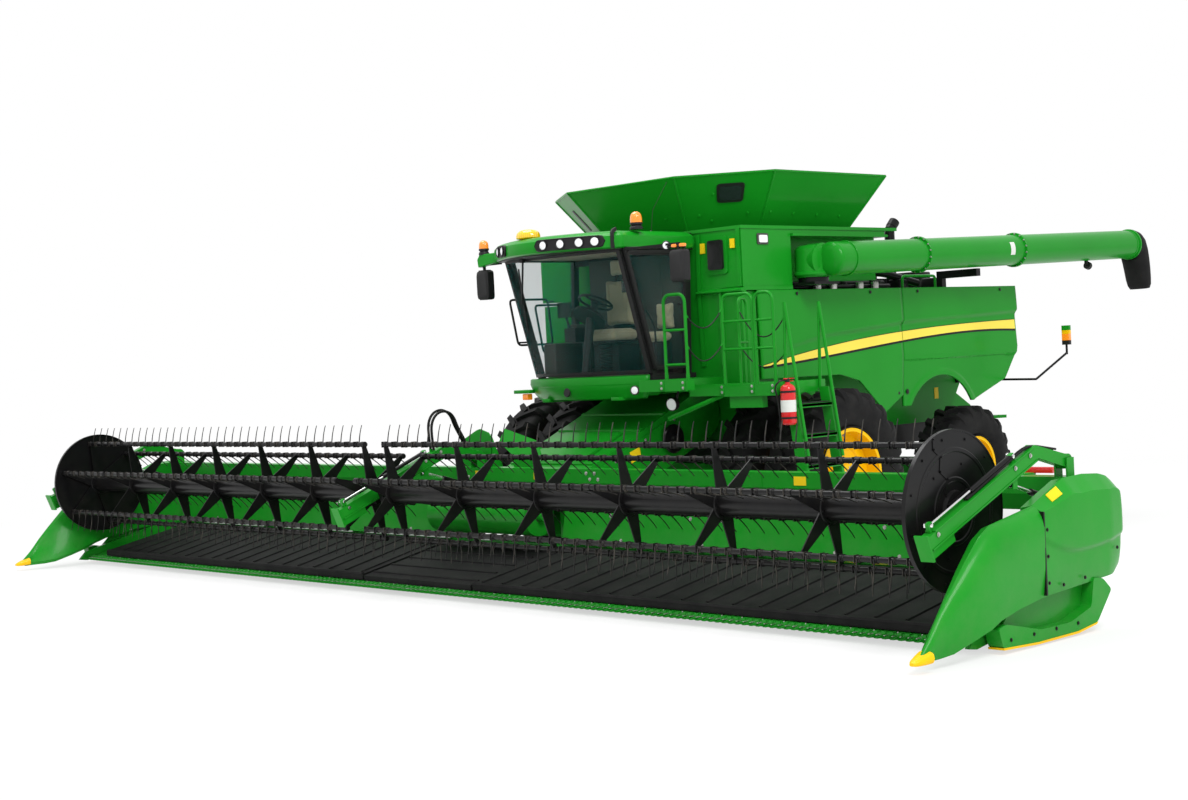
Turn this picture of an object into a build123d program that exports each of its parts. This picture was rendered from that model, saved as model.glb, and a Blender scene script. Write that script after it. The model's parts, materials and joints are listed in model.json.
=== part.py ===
from build123d import *
import math
import os

# Combine harvester with a wide draper header, parked with the header down and the
# unloading auger folded along its left side.
#
# Frame: +X is the machine's left, -Y is forward, +Z is up, all in millimetres.
# A "station" is a distance rearwards from the front axle; a height is above the ground.

# ---------------------------------------------------------------- driving dimensions
front_axle_y = -970
wheelbase = 3350

# Front wheels, in pairs
front_tyre_radius = 930
front_tyre_width = 530
front_rim_radius = 480
inner_wheel_x = 1500
dual_spacing = 735

# Rear steered wheels
rear_tyre_radius = 750
rear_tyre_width = 520
rear_rim_radius = 350
rear_wheel_x = 1500
kingpin_x = 1130
steering_arm_length = 280

# Running gaps between pieces that move
pin_gap = 0.3
moving_gap = 10
panel_gap = 30

# Main frame and body
rail_x = 660
rail_width = 120
rail_bottom = 1050
rail_height = 250
rail_rear_overhang = 550
body_half_width = 900
shoe_half_width = 580
shield_outer_x = 1650
shield_thickness = 30
shield_top = 2955
shield_seam_station = 2100
tank_front_station = -650
tank_rear_station = 2050
tank_top = 3650
tank_inner_half_width = 1260
tank_wall = 40
auger_ledge_station = 160

# Tank extension: half widths and stations of its bottom and top edges
extension_top = 4250
sheet = 12

# Cab
cab_half_width = 930
cab_floor_top = 2100
cab_roof_bottom = 3460
cab_roof_top = 3630
post = 60
glass = 10

# Feeder house
feeder_pivot_station = -380
feeder_pivot_height = 1620
feeder_mouth_station = -2530
feeder_mouth_height = 700
feeder_half_width = 680
feeder_depth = 540
feeder_wall = 30

# Lift cylinders: the base pin on the axle and the rod's eye on the feeder house (station, height)
lift_x = 450
lift_base = (-200, 620)
lift_eye = (-1750, 660)
lift_pin = 22

# Header
header_half_width = 6820
header_back_station = -2620
cutter_station = -4020
belt_end_x = header_half_width - 370
centre_opening_half = 880
beam_top = 1200
divider_clearance = 50
divider_width = 180
divider_inner_x = header_half_width + divider_clearance
divider_outer_x = divider_inner_x + divider_width
divider_round = 18

# Reel
reel_station = -3970
reel_height = 1040
bat_radius_from_axis = 510
bat_tube_radius = 24
bat_count = 6
bat_phase = -12
reel_tube_radius = 106
reel_end_inset = 220
reel_end_x = header_half_width - reel_end_inset
reel_disc_radius = 612
centre_arm_x = -480
centre_arm_gap = 150
end_arm_inset = 60
end_arm_x = header_half_width - end_arm_inset
arm_thickness = 80
arm_pivot_station = -2720
arm_pivot_height = 1320

# Unloading auger
auger_x = 2000
auger_radius = 185
auger_turret_x = 1730
auger_turret_station = 390
auger_start_height = 3265
auger_end_station = 6600
auger_end_height = 3462

os.makedirs("parts", exist_ok=True)


# ---------------------------------------------------------------- helpers
def side_plane(x):
    """Vertical fore-and-aft plane at x: local x is the station, local y the height."""
    return Plane(origin=(x, front_axle_y, 0), x_dir=(0, 1, 0), z_dir=(1, 0, 0))


def plan_plane(z):
    """Level plane at height z: local x is to the left, local y the station."""
    return Plane(origin=(0, front_axle_y, z), x_dir=(1, 0, 0), z_dir=(0, 0, 1))


def cross_plane(station):
    """Plane across the machine: local x is to the left, local y the height, facing forward."""
    return Plane(origin=(0, front_axle_y + station, 0), x_dir=(1, 0, 0), z_dir=(0, -1, 0))


def save(builder, name):
    """Label a finished piece and write it."""
    builder.part.label = name
    export_step(builder.part, f"parts/{name}.step")


def save_set(solids, name):
    """Write a piece that is made of several solids which touch but aren't one."""
    whole = Compound(solids)
    whole.label = name
    export_step(whole, f"parts/{name}.step")


def place(x, station, z):
    """A point in the model from its left offset, station and height."""
    return (x, front_axle_y + station, z)


def box(x, station, z, mode=Mode.ADD):
    """A block between pairs of x, stations and heights, in the open builder."""
    centre = place((x[0] + x[1]) / 2, (station[0] + station[1]) / 2, (z[0] + z[1]) / 2)
    with Locations(centre):
        Box(x[1] - x[0], station[1] - station[0], z[1] - z[0], mode=mode)


def side_slab(points, x, mode=Mode.ADD):
    """A side outline of (station, height) points extruded between two x values."""
    with BuildSketch(side_plane(x[0])) as outline:
        with BuildLine():
            Polyline(*points, close=True)
        make_face()
    extrude(outline.sketch, amount=x[1] - x[0], mode=mode)


def plan_slab(points, z, mode=Mode.ADD):
    """A plan outline of (x, station) points extruded between two heights."""
    with BuildSketch(plan_plane(z[0])) as outline:
        with BuildLine():
            Polyline(*points, close=True)
        make_face()
    extrude(outline.sketch, amount=z[1] - z[0], mode=mode)


def rod(start, end, radius, mode=Mode.ADD):
    """A round bar between two model points."""
    direction = Vector(*end) - Vector(*start)
    with BuildSketch(Plane(origin=start, z_dir=direction)) as section:
        Circle(radius)
    extrude(section.sketch, amount=direction.length, mode=mode)


def cord_tube(name, route, diameter):
    """A hanging cord: straight runs between the route's points, joined by arcs as large as they allow."""
    points = [Vector(*point) for point in route]
    radii = []
    for before, corner, after in zip(points, points[1:], points[2:]):
        turn = math.radians((corner - before).get_angle(after - corner))
        shorter = min((corner - before).length, (after - corner).length)
        radii.append(0.45 * shorter / math.tan(turn / 2))
    print(name, "radii", [round(radius) for radius in radii])
    with BuildPart() as tube:
        with BuildLine() as path:
            FilletPolyline(*points, radius=radii)
        with BuildSketch(Plane(origin=points[0], z_dir=points[1] - points[0])) as section:
            Circle(diameter / 2)
        sweep(section.sketch, path=path.wire())
    print(name, "volume over section times length",
          round(tube.part.volume / (section.sketch.area * path.wire().length), 4))
    save(tube, name)


def stub(start, towards, length):
    """The point at a given length from start on the way to another point."""
    return tuple(Vector(*start) + (Vector(*towards) - Vector(*start)).normalized() * length)


def mirror_of(builder):
    """The same piece on the right-hand side."""
    return mirror(builder.part, about=Plane.YZ, mode=Mode.PRIVATE)


# ---------------------------------------------------------------- front wheels
axle_height = front_tyre_radius
hub_bore = 95
outer_wheel_x = inner_wheel_x + dual_spacing
hub_start_x = inner_wheel_x - front_tyre_width / 2 - 20
rim_sheet = 16


def turned(rows, station, height):
    """Rings round an axle: rows of (x from, x to, inner radius, outer radius)."""
    for x_from, x_to, inner, outer in rows:
        with BuildSketch(cross_plane(station)) as section:
            with Locations(((x_from + x_to) / 2, height + (inner + outer) / 2)):
                Rectangle(x_to - x_from, outer - inner)
        revolve(section.sketch, axis=Axis(place(0, station, height), (1, 0, 0)))


def tyre(x, station, radius, width, rim_radius):
    """One tyre: a rounded section turned about its axle."""
    height = radius
    shoulder = width * 0.16
    with BuildSketch(cross_plane(station)) as section:
        with Locations((x, height + (radius + rim_radius) / 2)):
            RectangleRounded(width, radius - rim_radius, shoulder)
        with Locations((x, height + rim_radius + shoulder / 2)):
            Rectangle(width * 0.86, shoulder)
    revolve(section.sketch, axis=Axis(place(0, station, height), (1, 0, 0)))


with BuildPart() as front_tyres_left:
    for wheel_x in (inner_wheel_x, outer_wheel_x):
        tyre(wheel_x, 0, front_tyre_radius, front_tyre_width, front_rim_radius)
save(front_tyres_left, "front_tyres_left")

with BuildPart() as front_tyres_right:
    add(mirror_of(front_tyres_left))
save(front_tyres_right, "front_tyres_right")

barrel_half = front_tyre_width / 2 - 35
hub_bore_radius = hub_bore + pin_gap
hub_end_x = inner_wheel_x + 100
stub_end_x = hub_end_x - 50
spacer_inner_radius = 230
front_disc_x = 40
front_rim_groups = (
    # each solid's rings: x from, x to, inner radius, outer radius
    [
        (inner_wheel_x - barrel_half, inner_wheel_x + barrel_half, front_rim_radius - rim_sheet,
         front_rim_radius),
        (inner_wheel_x + front_disc_x, inner_wheel_x + front_disc_x + rim_sheet, 150,
         front_rim_radius - 4),
        (hub_start_x, hub_end_x - 30, hub_bore_radius, 170),
        (hub_end_x - 40, hub_end_x, 0, 170),
    ],
    [
        (inner_wheel_x + front_disc_x + rim_sheet, outer_wheel_x + front_disc_x,
         spacer_inner_radius, spacer_inner_radius + 20),
    ],
    [
        (outer_wheel_x - barrel_half, outer_wheel_x + barrel_half, front_rim_radius - rim_sheet,
         front_rim_radius),
        (outer_wheel_x + front_disc_x, outer_wheel_x + front_disc_x + rim_sheet, 0,
         front_rim_radius - 4),
        (outer_wheel_x + front_disc_x + 10, outer_wheel_x + front_disc_x + 70, 0, 120),
    ],
)
front_rim_solids = []
for rows in front_rim_groups:
    with BuildPart() as rim_piece:
        turned(rows, 0, axle_height)
    front_rim_solids.append(rim_piece.part.solid())
save_set(front_rim_solids, "front_rims_left")
save_set([mirror(solid, about=Plane.YZ) for solid in front_rim_solids], "front_rims_right")

# ---------------------------------------------------------------- front axle
housing_face_x = hub_start_x - moving_gap
with BuildPart() as front_axle:
    box((-1010, 1010), (-150, 150), (axle_height - 160, rail_bottom))
    for side in (-1, 1):
        rod(place(side * 960, 0, axle_height), place(side * housing_face_x, 0, axle_height), 250)
        rod(place(side * 1150, 0, axle_height), place(side * stub_end_x, 0, axle_height), hub_bore)
    # lugs under the beam for the two lift cylinders
    for x in (-lift_x, lift_x):
        for ear in (-1, 1):
            box((x + ear * 75 - 12, x + ear * 75 + 12), (lift_base[0] - 60, lift_base[0] + 100),
                (lift_base[1] - 60, axle_height - 130))
        rod(place(x - 80, *lift_base), place(x + 80, *lift_base), lift_pin)
save(front_axle, "front_axle")

# ---------------------------------------------------------------- main frame
rail_top = rail_bottom + rail_height
rail_rear = wheelbase + rail_rear_overhang
with BuildPart() as main_frame:
    for side in (-1, 1):
        box((side * rail_x - rail_width / 2, side * rail_x + rail_width / 2), (-300, rail_rear),
            (rail_bottom, rail_top))
    for station in (-240, wheelbase - 20, rail_rear - 60):
        box((-rail_x, rail_x), (station - 50, station + 50), (rail_bottom + 30, rail_top - 30))
save(main_frame, "main_frame")

# ---------------------------------------------------------------- rear axle and steering
rear_axle_height = rear_tyre_radius
king_pin_radius = 30
knuckle_half_height = 100
yoke_plate = 35
with BuildPart() as rear_axle:
    box((-990, 990), (wheelbase - 100, wheelbase + 100), (rear_axle_height - 110, rear_axle_height + 110))
    box((-200, 200), (wheelbase - 90, wheelbase + 90), (rear_axle_height + 100, rail_bottom + 30))
    for side in (-1, 1):
        near = side * 960
        far = side * (kingpin_x + 70)
        for sign in (-1, 1):
            inner_face = rear_axle_height + sign * (knuckle_half_height + 5)
            outer_face = inner_face + sign * yoke_plate
            box((min(near, far), max(near, far)), (wheelbase - 70, wheelbase + 70),
                (min(inner_face, outer_face), max(inner_face, outer_face)))
        rod(place(side * kingpin_x, wheelbase, rear_axle_height - 145),
            place(side * kingpin_x, wheelbase, rear_axle_height + 145), king_pin_radius)
save(rear_axle, "rear_axle")

steering_arm_station = wheelbase + steering_arm_length
spindle_radius = 55
with BuildPart() as knuckle_left:
    rod(place(kingpin_x, wheelbase, rear_axle_height - knuckle_half_height),
        place(kingpin_x, wheelbase, rear_axle_height + knuckle_half_height), 90)
    rod(place(kingpin_x + 40, wheelbase, rear_axle_height),
        place(rear_wheel_x + 40, wheelbase, rear_axle_height), spindle_radius)
    box((kingpin_x - 35, kingpin_x + 35), (wheelbase + 60, steering_arm_station),
        (rear_axle_height - 60, rear_axle_height - 25))
    rod(place(kingpin_x, steering_arm_station, rear_axle_height - 60),
        place(kingpin_x, steering_arm_station, rear_axle_height - 25), 45)
    rod(place(kingpin_x, steering_arm_station, rear_axle_height - 30),
        place(kingpin_x, steering_arm_station, rear_axle_height + 40), 14)
    rod(place(kingpin_x, wheelbase, rear_axle_height - 150),
        place(kingpin_x, wheelbase, rear_axle_height + 150), king_pin_radius + pin_gap, Mode.SUBTRACT)
save(knuckle_left, "knuckle_left")

with BuildPart() as knuckle_right:
    add(mirror_of(knuckle_left))
save(knuckle_right, "knuckle_right")

tie_rod_height = rear_axle_height + 5
with BuildPart() as tie_rod:
    rod(place(-kingpin_x + 30, steering_arm_station, tie_rod_height),
        place(kingpin_x - 30, steering_arm_station, tie_rod_height), 20)
    for side in (-1, 1):
        rod(place(side * kingpin_x, steering_arm_station, tie_rod_height - 25),
            place(side * kingpin_x, steering_arm_station, tie_rod_height + 25), 38)
        rod(place(side * kingpin_x, steering_arm_station, tie_rod_height - 60),
            place(side * kingpin_x, steering_arm_station, tie_rod_height + 60), 14 + pin_gap,
            Mode.SUBTRACT)
save(tie_rod, "tie_rod")

with BuildPart() as rear_tyre_left:
    tyre(rear_wheel_x, wheelbase, rear_tyre_radius, rear_tyre_width, rear_rim_radius)
save(rear_tyre_left, "rear_tyre_left")

with BuildPart() as rear_tyre_right:
    add(mirror_of(rear_tyre_left))
save(rear_tyre_right, "rear_tyre_right")

rear_barrel_half = rear_tyre_width / 2 - 35
rear_rim_rows = [
    # x from, x to, inner radius, outer radius
    (rear_wheel_x - rear_barrel_half, rear_wheel_x + rear_barrel_half, rear_rim_radius - rim_sheet,
     rear_rim_radius),
    (rear_wheel_x + 40, rear_wheel_x + 40 + rim_sheet, 100, rear_rim_radius - 4),
    (rear_wheel_x - 130, rear_wheel_x + 90, spindle_radius + pin_gap, 120),
    (rear_wheel_x + 80, rear_wheel_x + 110, 0, 120),
]
with BuildPart() as rear_rim_left:
    turned(rear_rim_rows, wheelbase, rear_axle_height)
save(rear_rim_left, "rear_rim_left")

with BuildPart() as rear_rim_right:
    add(mirror_of(rear_rim_left))
save(rear_rim_right, "rear_rim_right")

# ---------------------------------------------------------------- body
body_front_station = feeder_pivot_station + feeder_depth / 2 + 30
body_top = 2250
body_rear_station = rail_rear + 300
with BuildPart() as separator_body:
    side_slab(
        [(body_front_station, rail_top), (body_front_station, body_top), (body_rear_station, body_top),
         (body_rear_station, 1750), (rail_rear, rail_top)],
        (-body_half_width, body_half_width),
    )
    side_slab([(400, 880), (400, rail_top), (2900, rail_top), (2700, 1000), (1500, 840)],
              (-shoe_half_width, shoe_half_width))
save(separator_body, "separator_body")

deck_height = 2930
tank_body_half_width = shield_outer_x - shield_thickness - panel_gap
pod_half_width = shield_outer_x - 30
tank_upper_half_width = tank_inner_half_width + tank_wall
hopper_bottom = 2400
hopper_knee = 2980
with BuildPart() as grain_tank:
    box((-tank_body_half_width, tank_body_half_width), (tank_front_station, tank_rear_station),
        (body_top, shield_top - 5))
    box((-tank_body_half_width, tank_body_half_width), (tank_front_station, body_front_station - 20),
        (1960, body_top))
    box((-tank_upper_half_width, tank_upper_half_width), (tank_front_station, tank_rear_station),
        (shield_top - 5, tank_top))
    for side in (-1, 1):
        inner = side * (tank_upper_half_width - 10)
        outer = side * pod_half_width
        box((min(inner, outer), max(inner, outer)), (tank_front_station, auger_ledge_station),
            (shield_top + 40, tank_top))
        box((min(inner, outer), max(inner, outer)), (auger_ledge_station - 10, 1840),
            (tank_top - 90, tank_top))
    inside_front = tank_front_station + tank_wall
    inside_rear = tank_rear_station - tank_wall
    box((-tank_inner_half_width, tank_inner_half_width), (inside_front, inside_rear),
        (hopper_knee, tank_top + 10), Mode.SUBTRACT)
    for z, half_x, station_from, station_to in (
        (hopper_bottom, 350, 250, 1150),
        (hopper_knee, tank_inner_half_width, inside_front, inside_rear),
    ):
        with BuildSketch(plan_plane(z)):
            with Locations((0, (station_from + station_to) / 2)):
                Rectangle(2 * half_x, station_to - station_from)
    loft(mode=Mode.SUBTRACT)
save(grain_tank, "grain_tank")


def extension_outline(inset, front, front_half, corner, side_half, rear):
    """Plan outline of the flared tank extension at one height, inset by its sheet."""
    return [
        (front_half, front + inset), (side_half - inset, corner), (side_half - inset, rear - inset),
        (inset - side_half, rear - inset), (inset - side_half, corner), (-front_half, front + inset),
    ]


extension_rows = [
    # height, front station, half width of the front edge, corner station, half width, rear station
    (tank_top, -420, 620, 30, 1290, 1560),
    (extension_top, -860, 870, -220, 1780, 1720),
]
with BuildPart() as tank_extension:
    for inset, mode in ((0, Mode.ADD), (sheet * 1.5, Mode.SUBTRACT)):
        for height, front, front_half, corner, half_width, rear in extension_rows:
            with BuildSketch(plan_plane(height)):
                with BuildLine():
                    Polyline(*extension_outline(inset, front, front_half, corner, half_width, rear),
                             close=True)
                make_face()
        loft(mode=mode)
save(tank_extension, "tank_extension")

# ---------------------------------------------------------------- engine bay
hood_wall = 25
hood_front = tank_rear_station + 20
hood_rear = body_rear_station + 200
hood_bottom = body_top
with BuildPart() as rear_hood:
    box((-tank_body_half_width, tank_body_half_width), (hood_front, hood_rear), (hood_bottom, deck_height))
    box((-tank_body_half_width + hood_wall, tank_body_half_width - hood_wall),
        (hood_front + hood_wall, hood_rear - hood_wall), (hood_bottom - 10, deck_height - hood_wall),
        Mode.SUBTRACT)
    # tail skirt under the hood's rear edge
    side_slab([(body_rear_station + 10, 1780), (hood_rear, 2120), (hood_rear, hood_bottom + 20),
               (body_rear_station + 10, hood_bottom + 20)], (-body_half_width, body_half_width))
save(rear_hood, "rear_hood")

with BuildPart() as engine_block:
    box((-600, 600), (2400, 3600), (body_top, 2850))
save(engine_block, "engine_block")

with BuildPart() as engine_deck:
    box((-900, 500), (2300, 3700), (deck_height, 3130))
    box((-tank_body_half_width, -1000), (2300, 3500), (deck_height, 3420))
    rod(place(250, 2500, 3130), place(250, 2500, 3420), 170)
    # exhaust stack with its bent outlet
    rod(place(1000, 2750, deck_height), place(1000, 2750, 3720), 62)
    rod(place(1000, 2750, 3690), place(1000, 2860, 3800), 62)
save(engine_deck, "engine_deck")

# ---------------------------------------------------------------- side shields
shield_inner_x = shield_outer_x - shield_thickness
with BuildPart() as front_shield_left:
    side_slab(
        [(-440, shield_top), (shield_seam_station - 5, shield_top), (shield_seam_station - 5, 1700),
         (1730, 1510), (1250, 1900), (900, 1985), (-440, 1990)],
        (shield_inner_x, shield_outer_x),
    )
save(front_shield_left, "front_shield_left")

arch_centre_station = wheelbase - 500
arch_centre_height = 1180
shield_rear = hood_rear + 70
arch_radius = 720
with BuildPart() as rear_shield_left:
    side_slab(
        [(shield_seam_station + 5, shield_top), (shield_rear, shield_top), (shield_rear, 2670),
         (shield_rear - 40, 2520), (shield_rear - 40, 2130), (body_rear_station, 1800),
         (wheelbase + 150, 1560), (shield_seam_station + 5, 1560)],
        (shield_inner_x, shield_outer_x),
    )
    with BuildSketch(side_plane(shield_inner_x - 5)):
        with Locations((arch_centre_station, arch_centre_height)):
            Circle(arch_radius)
    extrude(amount=shield_thickness + 10, mode=Mode.SUBTRACT)
save(rear_shield_left, "rear_shield_left")

with BuildPart() as front_shield_right:
    add(mirror_of(front_shield_left))
save(front_shield_right, "front_shield_right")

with BuildPart() as rear_shield_right:
    add(mirror_of(rear_shield_left))
save(rear_shield_right, "rear_shield_right")

# ---------------------------------------------------------------- straw chopper
with BuildPart() as straw_chopper:
    side_slab([(rail_rear + 50, 1020), (rail_rear + 50, 1375), (body_rear_station - 10, 1735),
               (rail_rear + 800, 1450), (rail_rear + 880, 1330), (rail_rear + 800, 1290),
               (rail_rear + 550, 1060)], (-700, 700))
    # tailboard
    plan_slab([(-700, rail_rear + 720), (700, rail_rear + 720), (950, rail_rear + 1250),
               (-950, rail_rear + 1250)], (1250, 1290))
save(straw_chopper, "straw_chopper")

# ---------------------------------------------------------------- unloading auger
turret_bottom = auger_start_height - auger_radius
cradle_station = 3050
cradle_gap = 14


def auger_height(station):
    """Height of the auger's axis at a station."""
    share = (station - auger_turret_station) / (auger_end_station - auger_turret_station)
    return auger_start_height + share * (auger_end_height - auger_start_height)


cradle_top = round(auger_height(cradle_station) - auger_radius - cradle_gap)
with BuildPart() as auger_supports:
    # turret plate on the tank's side
    box((tank_upper_half_width, auger_turret_x + 190), (auger_ledge_station + 20, auger_turret_station + 200),
        (shield_top + 40, shield_top + 70))
    rod(place(auger_turret_x, auger_turret_station, shield_top + 70),
        place(auger_turret_x, auger_turret_station, turret_bottom - 5), 170)
    # cradle that the folded tube lies over
    box((1480, 1560), (cradle_station - 40, cradle_station + 40), (deck_height, cradle_top - 90))
    box((1480, auger_x + 60), (cradle_station - 40, cradle_station + 40), (cradle_top - 90, cradle_top))
save(auger_supports, "auger_supports")

auger_start = place(auger_x, auger_turret_station, auger_start_height)
auger_end = place(auger_x, auger_end_station, auger_end_height)
with BuildPart() as unloading_auger:
    rod(auger_start, auger_end, auger_radius)
    rod(place(auger_turret_x, auger_turret_station, turret_bottom),
        place(auger_turret_x, auger_turret_station, 3400), 190)
    for station in (1950, 3900):
        rod(place(auger_x, station - 15, auger_height(station)),
            place(auger_x, station + 15, auger_height(station)), auger_radius + 25)
save(unloading_auger, "unloading_auger")

spout_outline = [(10, auger_radius + 30), (170, auger_radius - 20), (270, 0), (340, -470), (310, -590),
                 (190, -610), (110, -460), (50, -45 - auger_radius), (10, 45 - auger_radius)]
with BuildPart() as auger_spout:
    side_slab([(auger_end_station + rearward, auger_end_height + upward)
               for rearward, upward in spout_outline],
              (auger_x - auger_radius + 5, auger_x + auger_radius - 5))
save(auger_spout, "auger_spout")

# ---------------------------------------------------------------- cab
floor_front_side = -1400
floor_front_mid = -1660
head_front_side = -1790
head_front_mid = -1960
cab_rear = -720
post_top = cab_roof_bottom
glass_bottom = cab_floor_top + 20


def bowed_sheet(rows, half_width, thickness):
    """A bowed pane lofted through rows of (height, side station, middle station)."""
    sections = []
    for height, side_station, mid_station in rows:
        with BuildSketch(plan_plane(height)) as section:
            with BuildLine():
                outer = ThreePointArc((-half_width, side_station), (0, mid_station),
                                      (half_width, side_station))
                inner = ThreePointArc((-half_width, side_station + thickness),
                                      (0, mid_station + thickness),
                                      (half_width, side_station + thickness))
                Line(outer @ 0, inner @ 0)
                Line(outer @ 1, inner @ 1)
            make_face()
        sections.append(section.sketch.face())
    loft(sections)


def slanted_post(bottom, top, width, depth, bottom_height=cab_floor_top, top_height=post_top):
    """A cab post between two (x, station) centres."""
    sections = []
    for height, (x, station) in ((bottom_height, bottom), (top_height, top)):
        with BuildSketch(plan_plane(height)) as section:
            with Locations((x, station)):
                Rectangle(width, depth)
        sections.append(section.sketch.face())
    loft(sections)


with BuildPart() as cab_frame:
    with BuildSketch(plan_plane(cab_floor_top - 80)):
        with BuildLine():
            Polyline((cab_half_width, floor_front_side), (cab_half_width, cab_rear),
                     (-cab_half_width, cab_rear), (-cab_half_width, floor_front_side))
            ThreePointArc((-cab_half_width, floor_front_side), (0, floor_front_mid),
                          (cab_half_width, floor_front_side))
        make_face()
    extrude(amount=80)
    for side in (-1, 1):
        slanted_post((side * (cab_half_width - post / 2), floor_front_side + 45),
                     (side * (cab_half_width - post / 2), head_front_side + 45), post, 70)
        slanted_post((side * (cab_half_width - post / 2), cab_rear - 110),
                     (side * (cab_half_width - post / 2), cab_rear - 40), post, 80)
    for z in ((cab_floor_top, 2700), (3380, post_top)):
        box((-cab_half_width + post, cab_half_width - post), (cab_rear - 60, cab_rear - 20), z)
save(cab_frame, "cab_frame")

with BuildPart() as cab_glass:
    bowed_sheet([(glass_bottom, floor_front_side - 15, floor_front_mid),
                 (post_top - 10, head_front_side - 15, head_front_mid)], cab_half_width, glass)
    # right-hand window
    side_slab([(floor_front_side + 85, glass_bottom), (cab_rear - 160, glass_bottom),
               (cab_rear - 90, post_top - 10), (head_front_side + 90, post_top - 10)],
              (-cab_half_width + 20, -cab_half_width + 20 + glass))
    box((-cab_half_width + post, cab_half_width - post), (cab_rear - 45, cab_rear - 45 + glass), (2700, 3380))
save(cab_glass, "cab_glass")

with BuildPart() as cab_roof:
    with BuildSketch(plan_plane(cab_roof_bottom)):
        with BuildLine():
            Polyline((1040, -1860), (1000, -690), (-1000, -690), (-1040, -1860))
            ThreePointArc((-1040, -1860), (0, -2260), (1040, -1860))
        make_face()
    extrude(amount=cab_roof_top - cab_roof_bottom)
    fillet(cab_roof.edges().group_by(Axis.Z)[-1], radius=60)
save(cab_roof, "cab_roof")

deck_top = 1960
with BuildPart() as cab_base:
    for height, side_station, mid_station, half in ((1880, -1420, -1640, 860), (2015, -1480, -1720, 950)):
        with BuildSketch(plan_plane(height)):
            with BuildLine():
                Polyline((half, side_station), (half, -1250), (-half, -1250), (-half, side_station))
                ThreePointArc((-half, side_station), (0, mid_station), (half, side_station))
            make_face()
    loft()
    for side in (-1, 1):
        box((side * 560 - 50, side * 560 + 50), (-1260, tank_front_station), (1880, 2015))
    # catwalk beside the door, landing deck over the wheel and the beam that carries them
    box((985, 1300), (-1650, tank_front_station - 10), (1930, 2040))
    box((1300, 1680), (-1650, -1540), (1930, 2040))
    box((1300, 2520), (-1200, -460), (1860, deck_top))
    box((560, 985), (-900, -780), (1890, 2010))
save(cab_base, "cab_base")

door_gap = 8
door_thickness = 35
door_x = cab_half_width + door_gap
door_bottom = 2160
door_top = 3430
door_outline = [(floor_front_side + 10, door_bottom), (cab_rear - 175, door_bottom),
                (cab_rear - 105, door_top), (head_front_side + 30, door_top)]
with BuildPart() as cab_door:
    side_slab(door_outline, (door_x, door_x + door_thickness))
    with BuildSketch(side_plane(door_x - 5)):
        with BuildLine():
            Polyline(*door_outline, close=True)
        make_face()
        offset(amount=-45, mode=Mode.REPLACE)
    extrude(amount=door_thickness + 10, mode=Mode.SUBTRACT)
save(cab_door, "cab_door")

with BuildPart() as cab_door_glass:
    with BuildSketch(side_plane(door_x + 12)):
        with BuildLine():
            Polyline(*door_outline, close=True)
        make_face()
        offset(amount=-45, mode=Mode.REPLACE)
    extrude(amount=glass)
save(cab_door_glass, "cab_door_glass")

seat_x = 0
with BuildPart() as operator_seat:
    box((seat_x - 250, seat_x + 250), (-1290, -830), (2480, 2620))
    box((seat_x - 240, seat_x + 240), (-960, -830), (2620, 3160))
    fillet(operator_seat.edges().filter_by(Axis.X), radius=40)
save(operator_seat, "operator_seat")

with BuildPart() as cab_console:
    box((seat_x - 200, seat_x + 200), (-1180, -860), (cab_floor_top, 2480))
    box((-480, -300), (-1360, -900), (2500, 2660))
    box((-420, -360), (-1000, -940), (cab_floor_top, 2500))
    rod(place(0, -1515, cab_floor_top + 20), place(0, -1400, 2760), 45)
    rod(place(0, -1415, 2750), place(0, -1395, 2775), 190)
save(cab_console, "cab_console")

mirror_station = -1800
with BuildPart() as mirrors:
    for side, head_x in ((1, 1800), (-1, 1300)):
        near = side * 1000
        far = side * (head_x + 12)
        middle = side * head_x
        box((middle - 75, middle + 75), (mirror_station - 30, mirror_station + 30), (3040, 3380))
        box((middle - 12, middle + 12), (mirror_station - 12, mirror_station + 12), (3370, 3440))
        box((min(near, far), max(near, far)), (mirror_station - 12, mirror_station + 12), (3425, 3449))
        box((near - 12, near + 12), (mirror_station - 12, mirror_station + 12), (3440, cab_roof_bottom))
save(mirrors, "mirrors")

# ---------------------------------------------------------------- landing deck, rails and ladder
rail_tube = 17


def hoop(foot_a, foot_b, base, top, rungs):
    """An inverted-U guard rail between two (x, station) feet, with level rungs."""
    corner = 90
    start = Vector(*place(*foot_a, base))
    end = Vector(*place(*foot_b, base))
    along = (end - start).normalized()
    up = Vector(0, 0, 1)
    rise = top - base
    with BuildLine() as path:
        FilletPolyline(start, start + up * rise, end + up * rise, end, radius=corner)
    with BuildSketch(Plane(origin=start, z_dir=up)) as section:
        Circle(rail_tube)
    sweep(section.sketch, path=path.wire())
    for rung in rungs:
        rod(start + up * (rung - base), end + up * (rung - base), rail_tube * 0.8)


chain_diameter = 14
chain_eye_length = 52
chain_eye_radius = 9
ladder_rail_low = (2800, 1180)
ladder_rail_high = (2570, 2780)
ladder_post_low = (2540, 1880)
cab_hoop_leg = (1640, -1590)
landing_hoop_legs = ((1780, -1180), (2200, -1180))
inner_rail_legs = ((1950, -1120), (1870, -900))
ladder_front = -1100
ladder_rear = -560


def ladder_post_x(height):
    """Left offset at a height of the ladder's upright posts, on its inner side."""
    share = (height - ladder_post_low[1]) / (ladder_rail_high[1] - ladder_post_low[1])
    return ladder_post_low[0] + share * (ladder_rail_high[0] - ladder_post_low[0])


def drooping(start, end, drops):
    """Points from start to end that sink by the four drops at uneven shares of the way."""
    line = [Vector(*start) + (Vector(*end) - Vector(*start)) * share for share in (0.15, 0.37, 0.61, 0.85)]
    return [start, *[tuple(point - Vector(0, 0, drop)) for point, drop in zip(line, drops)], end]


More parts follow.
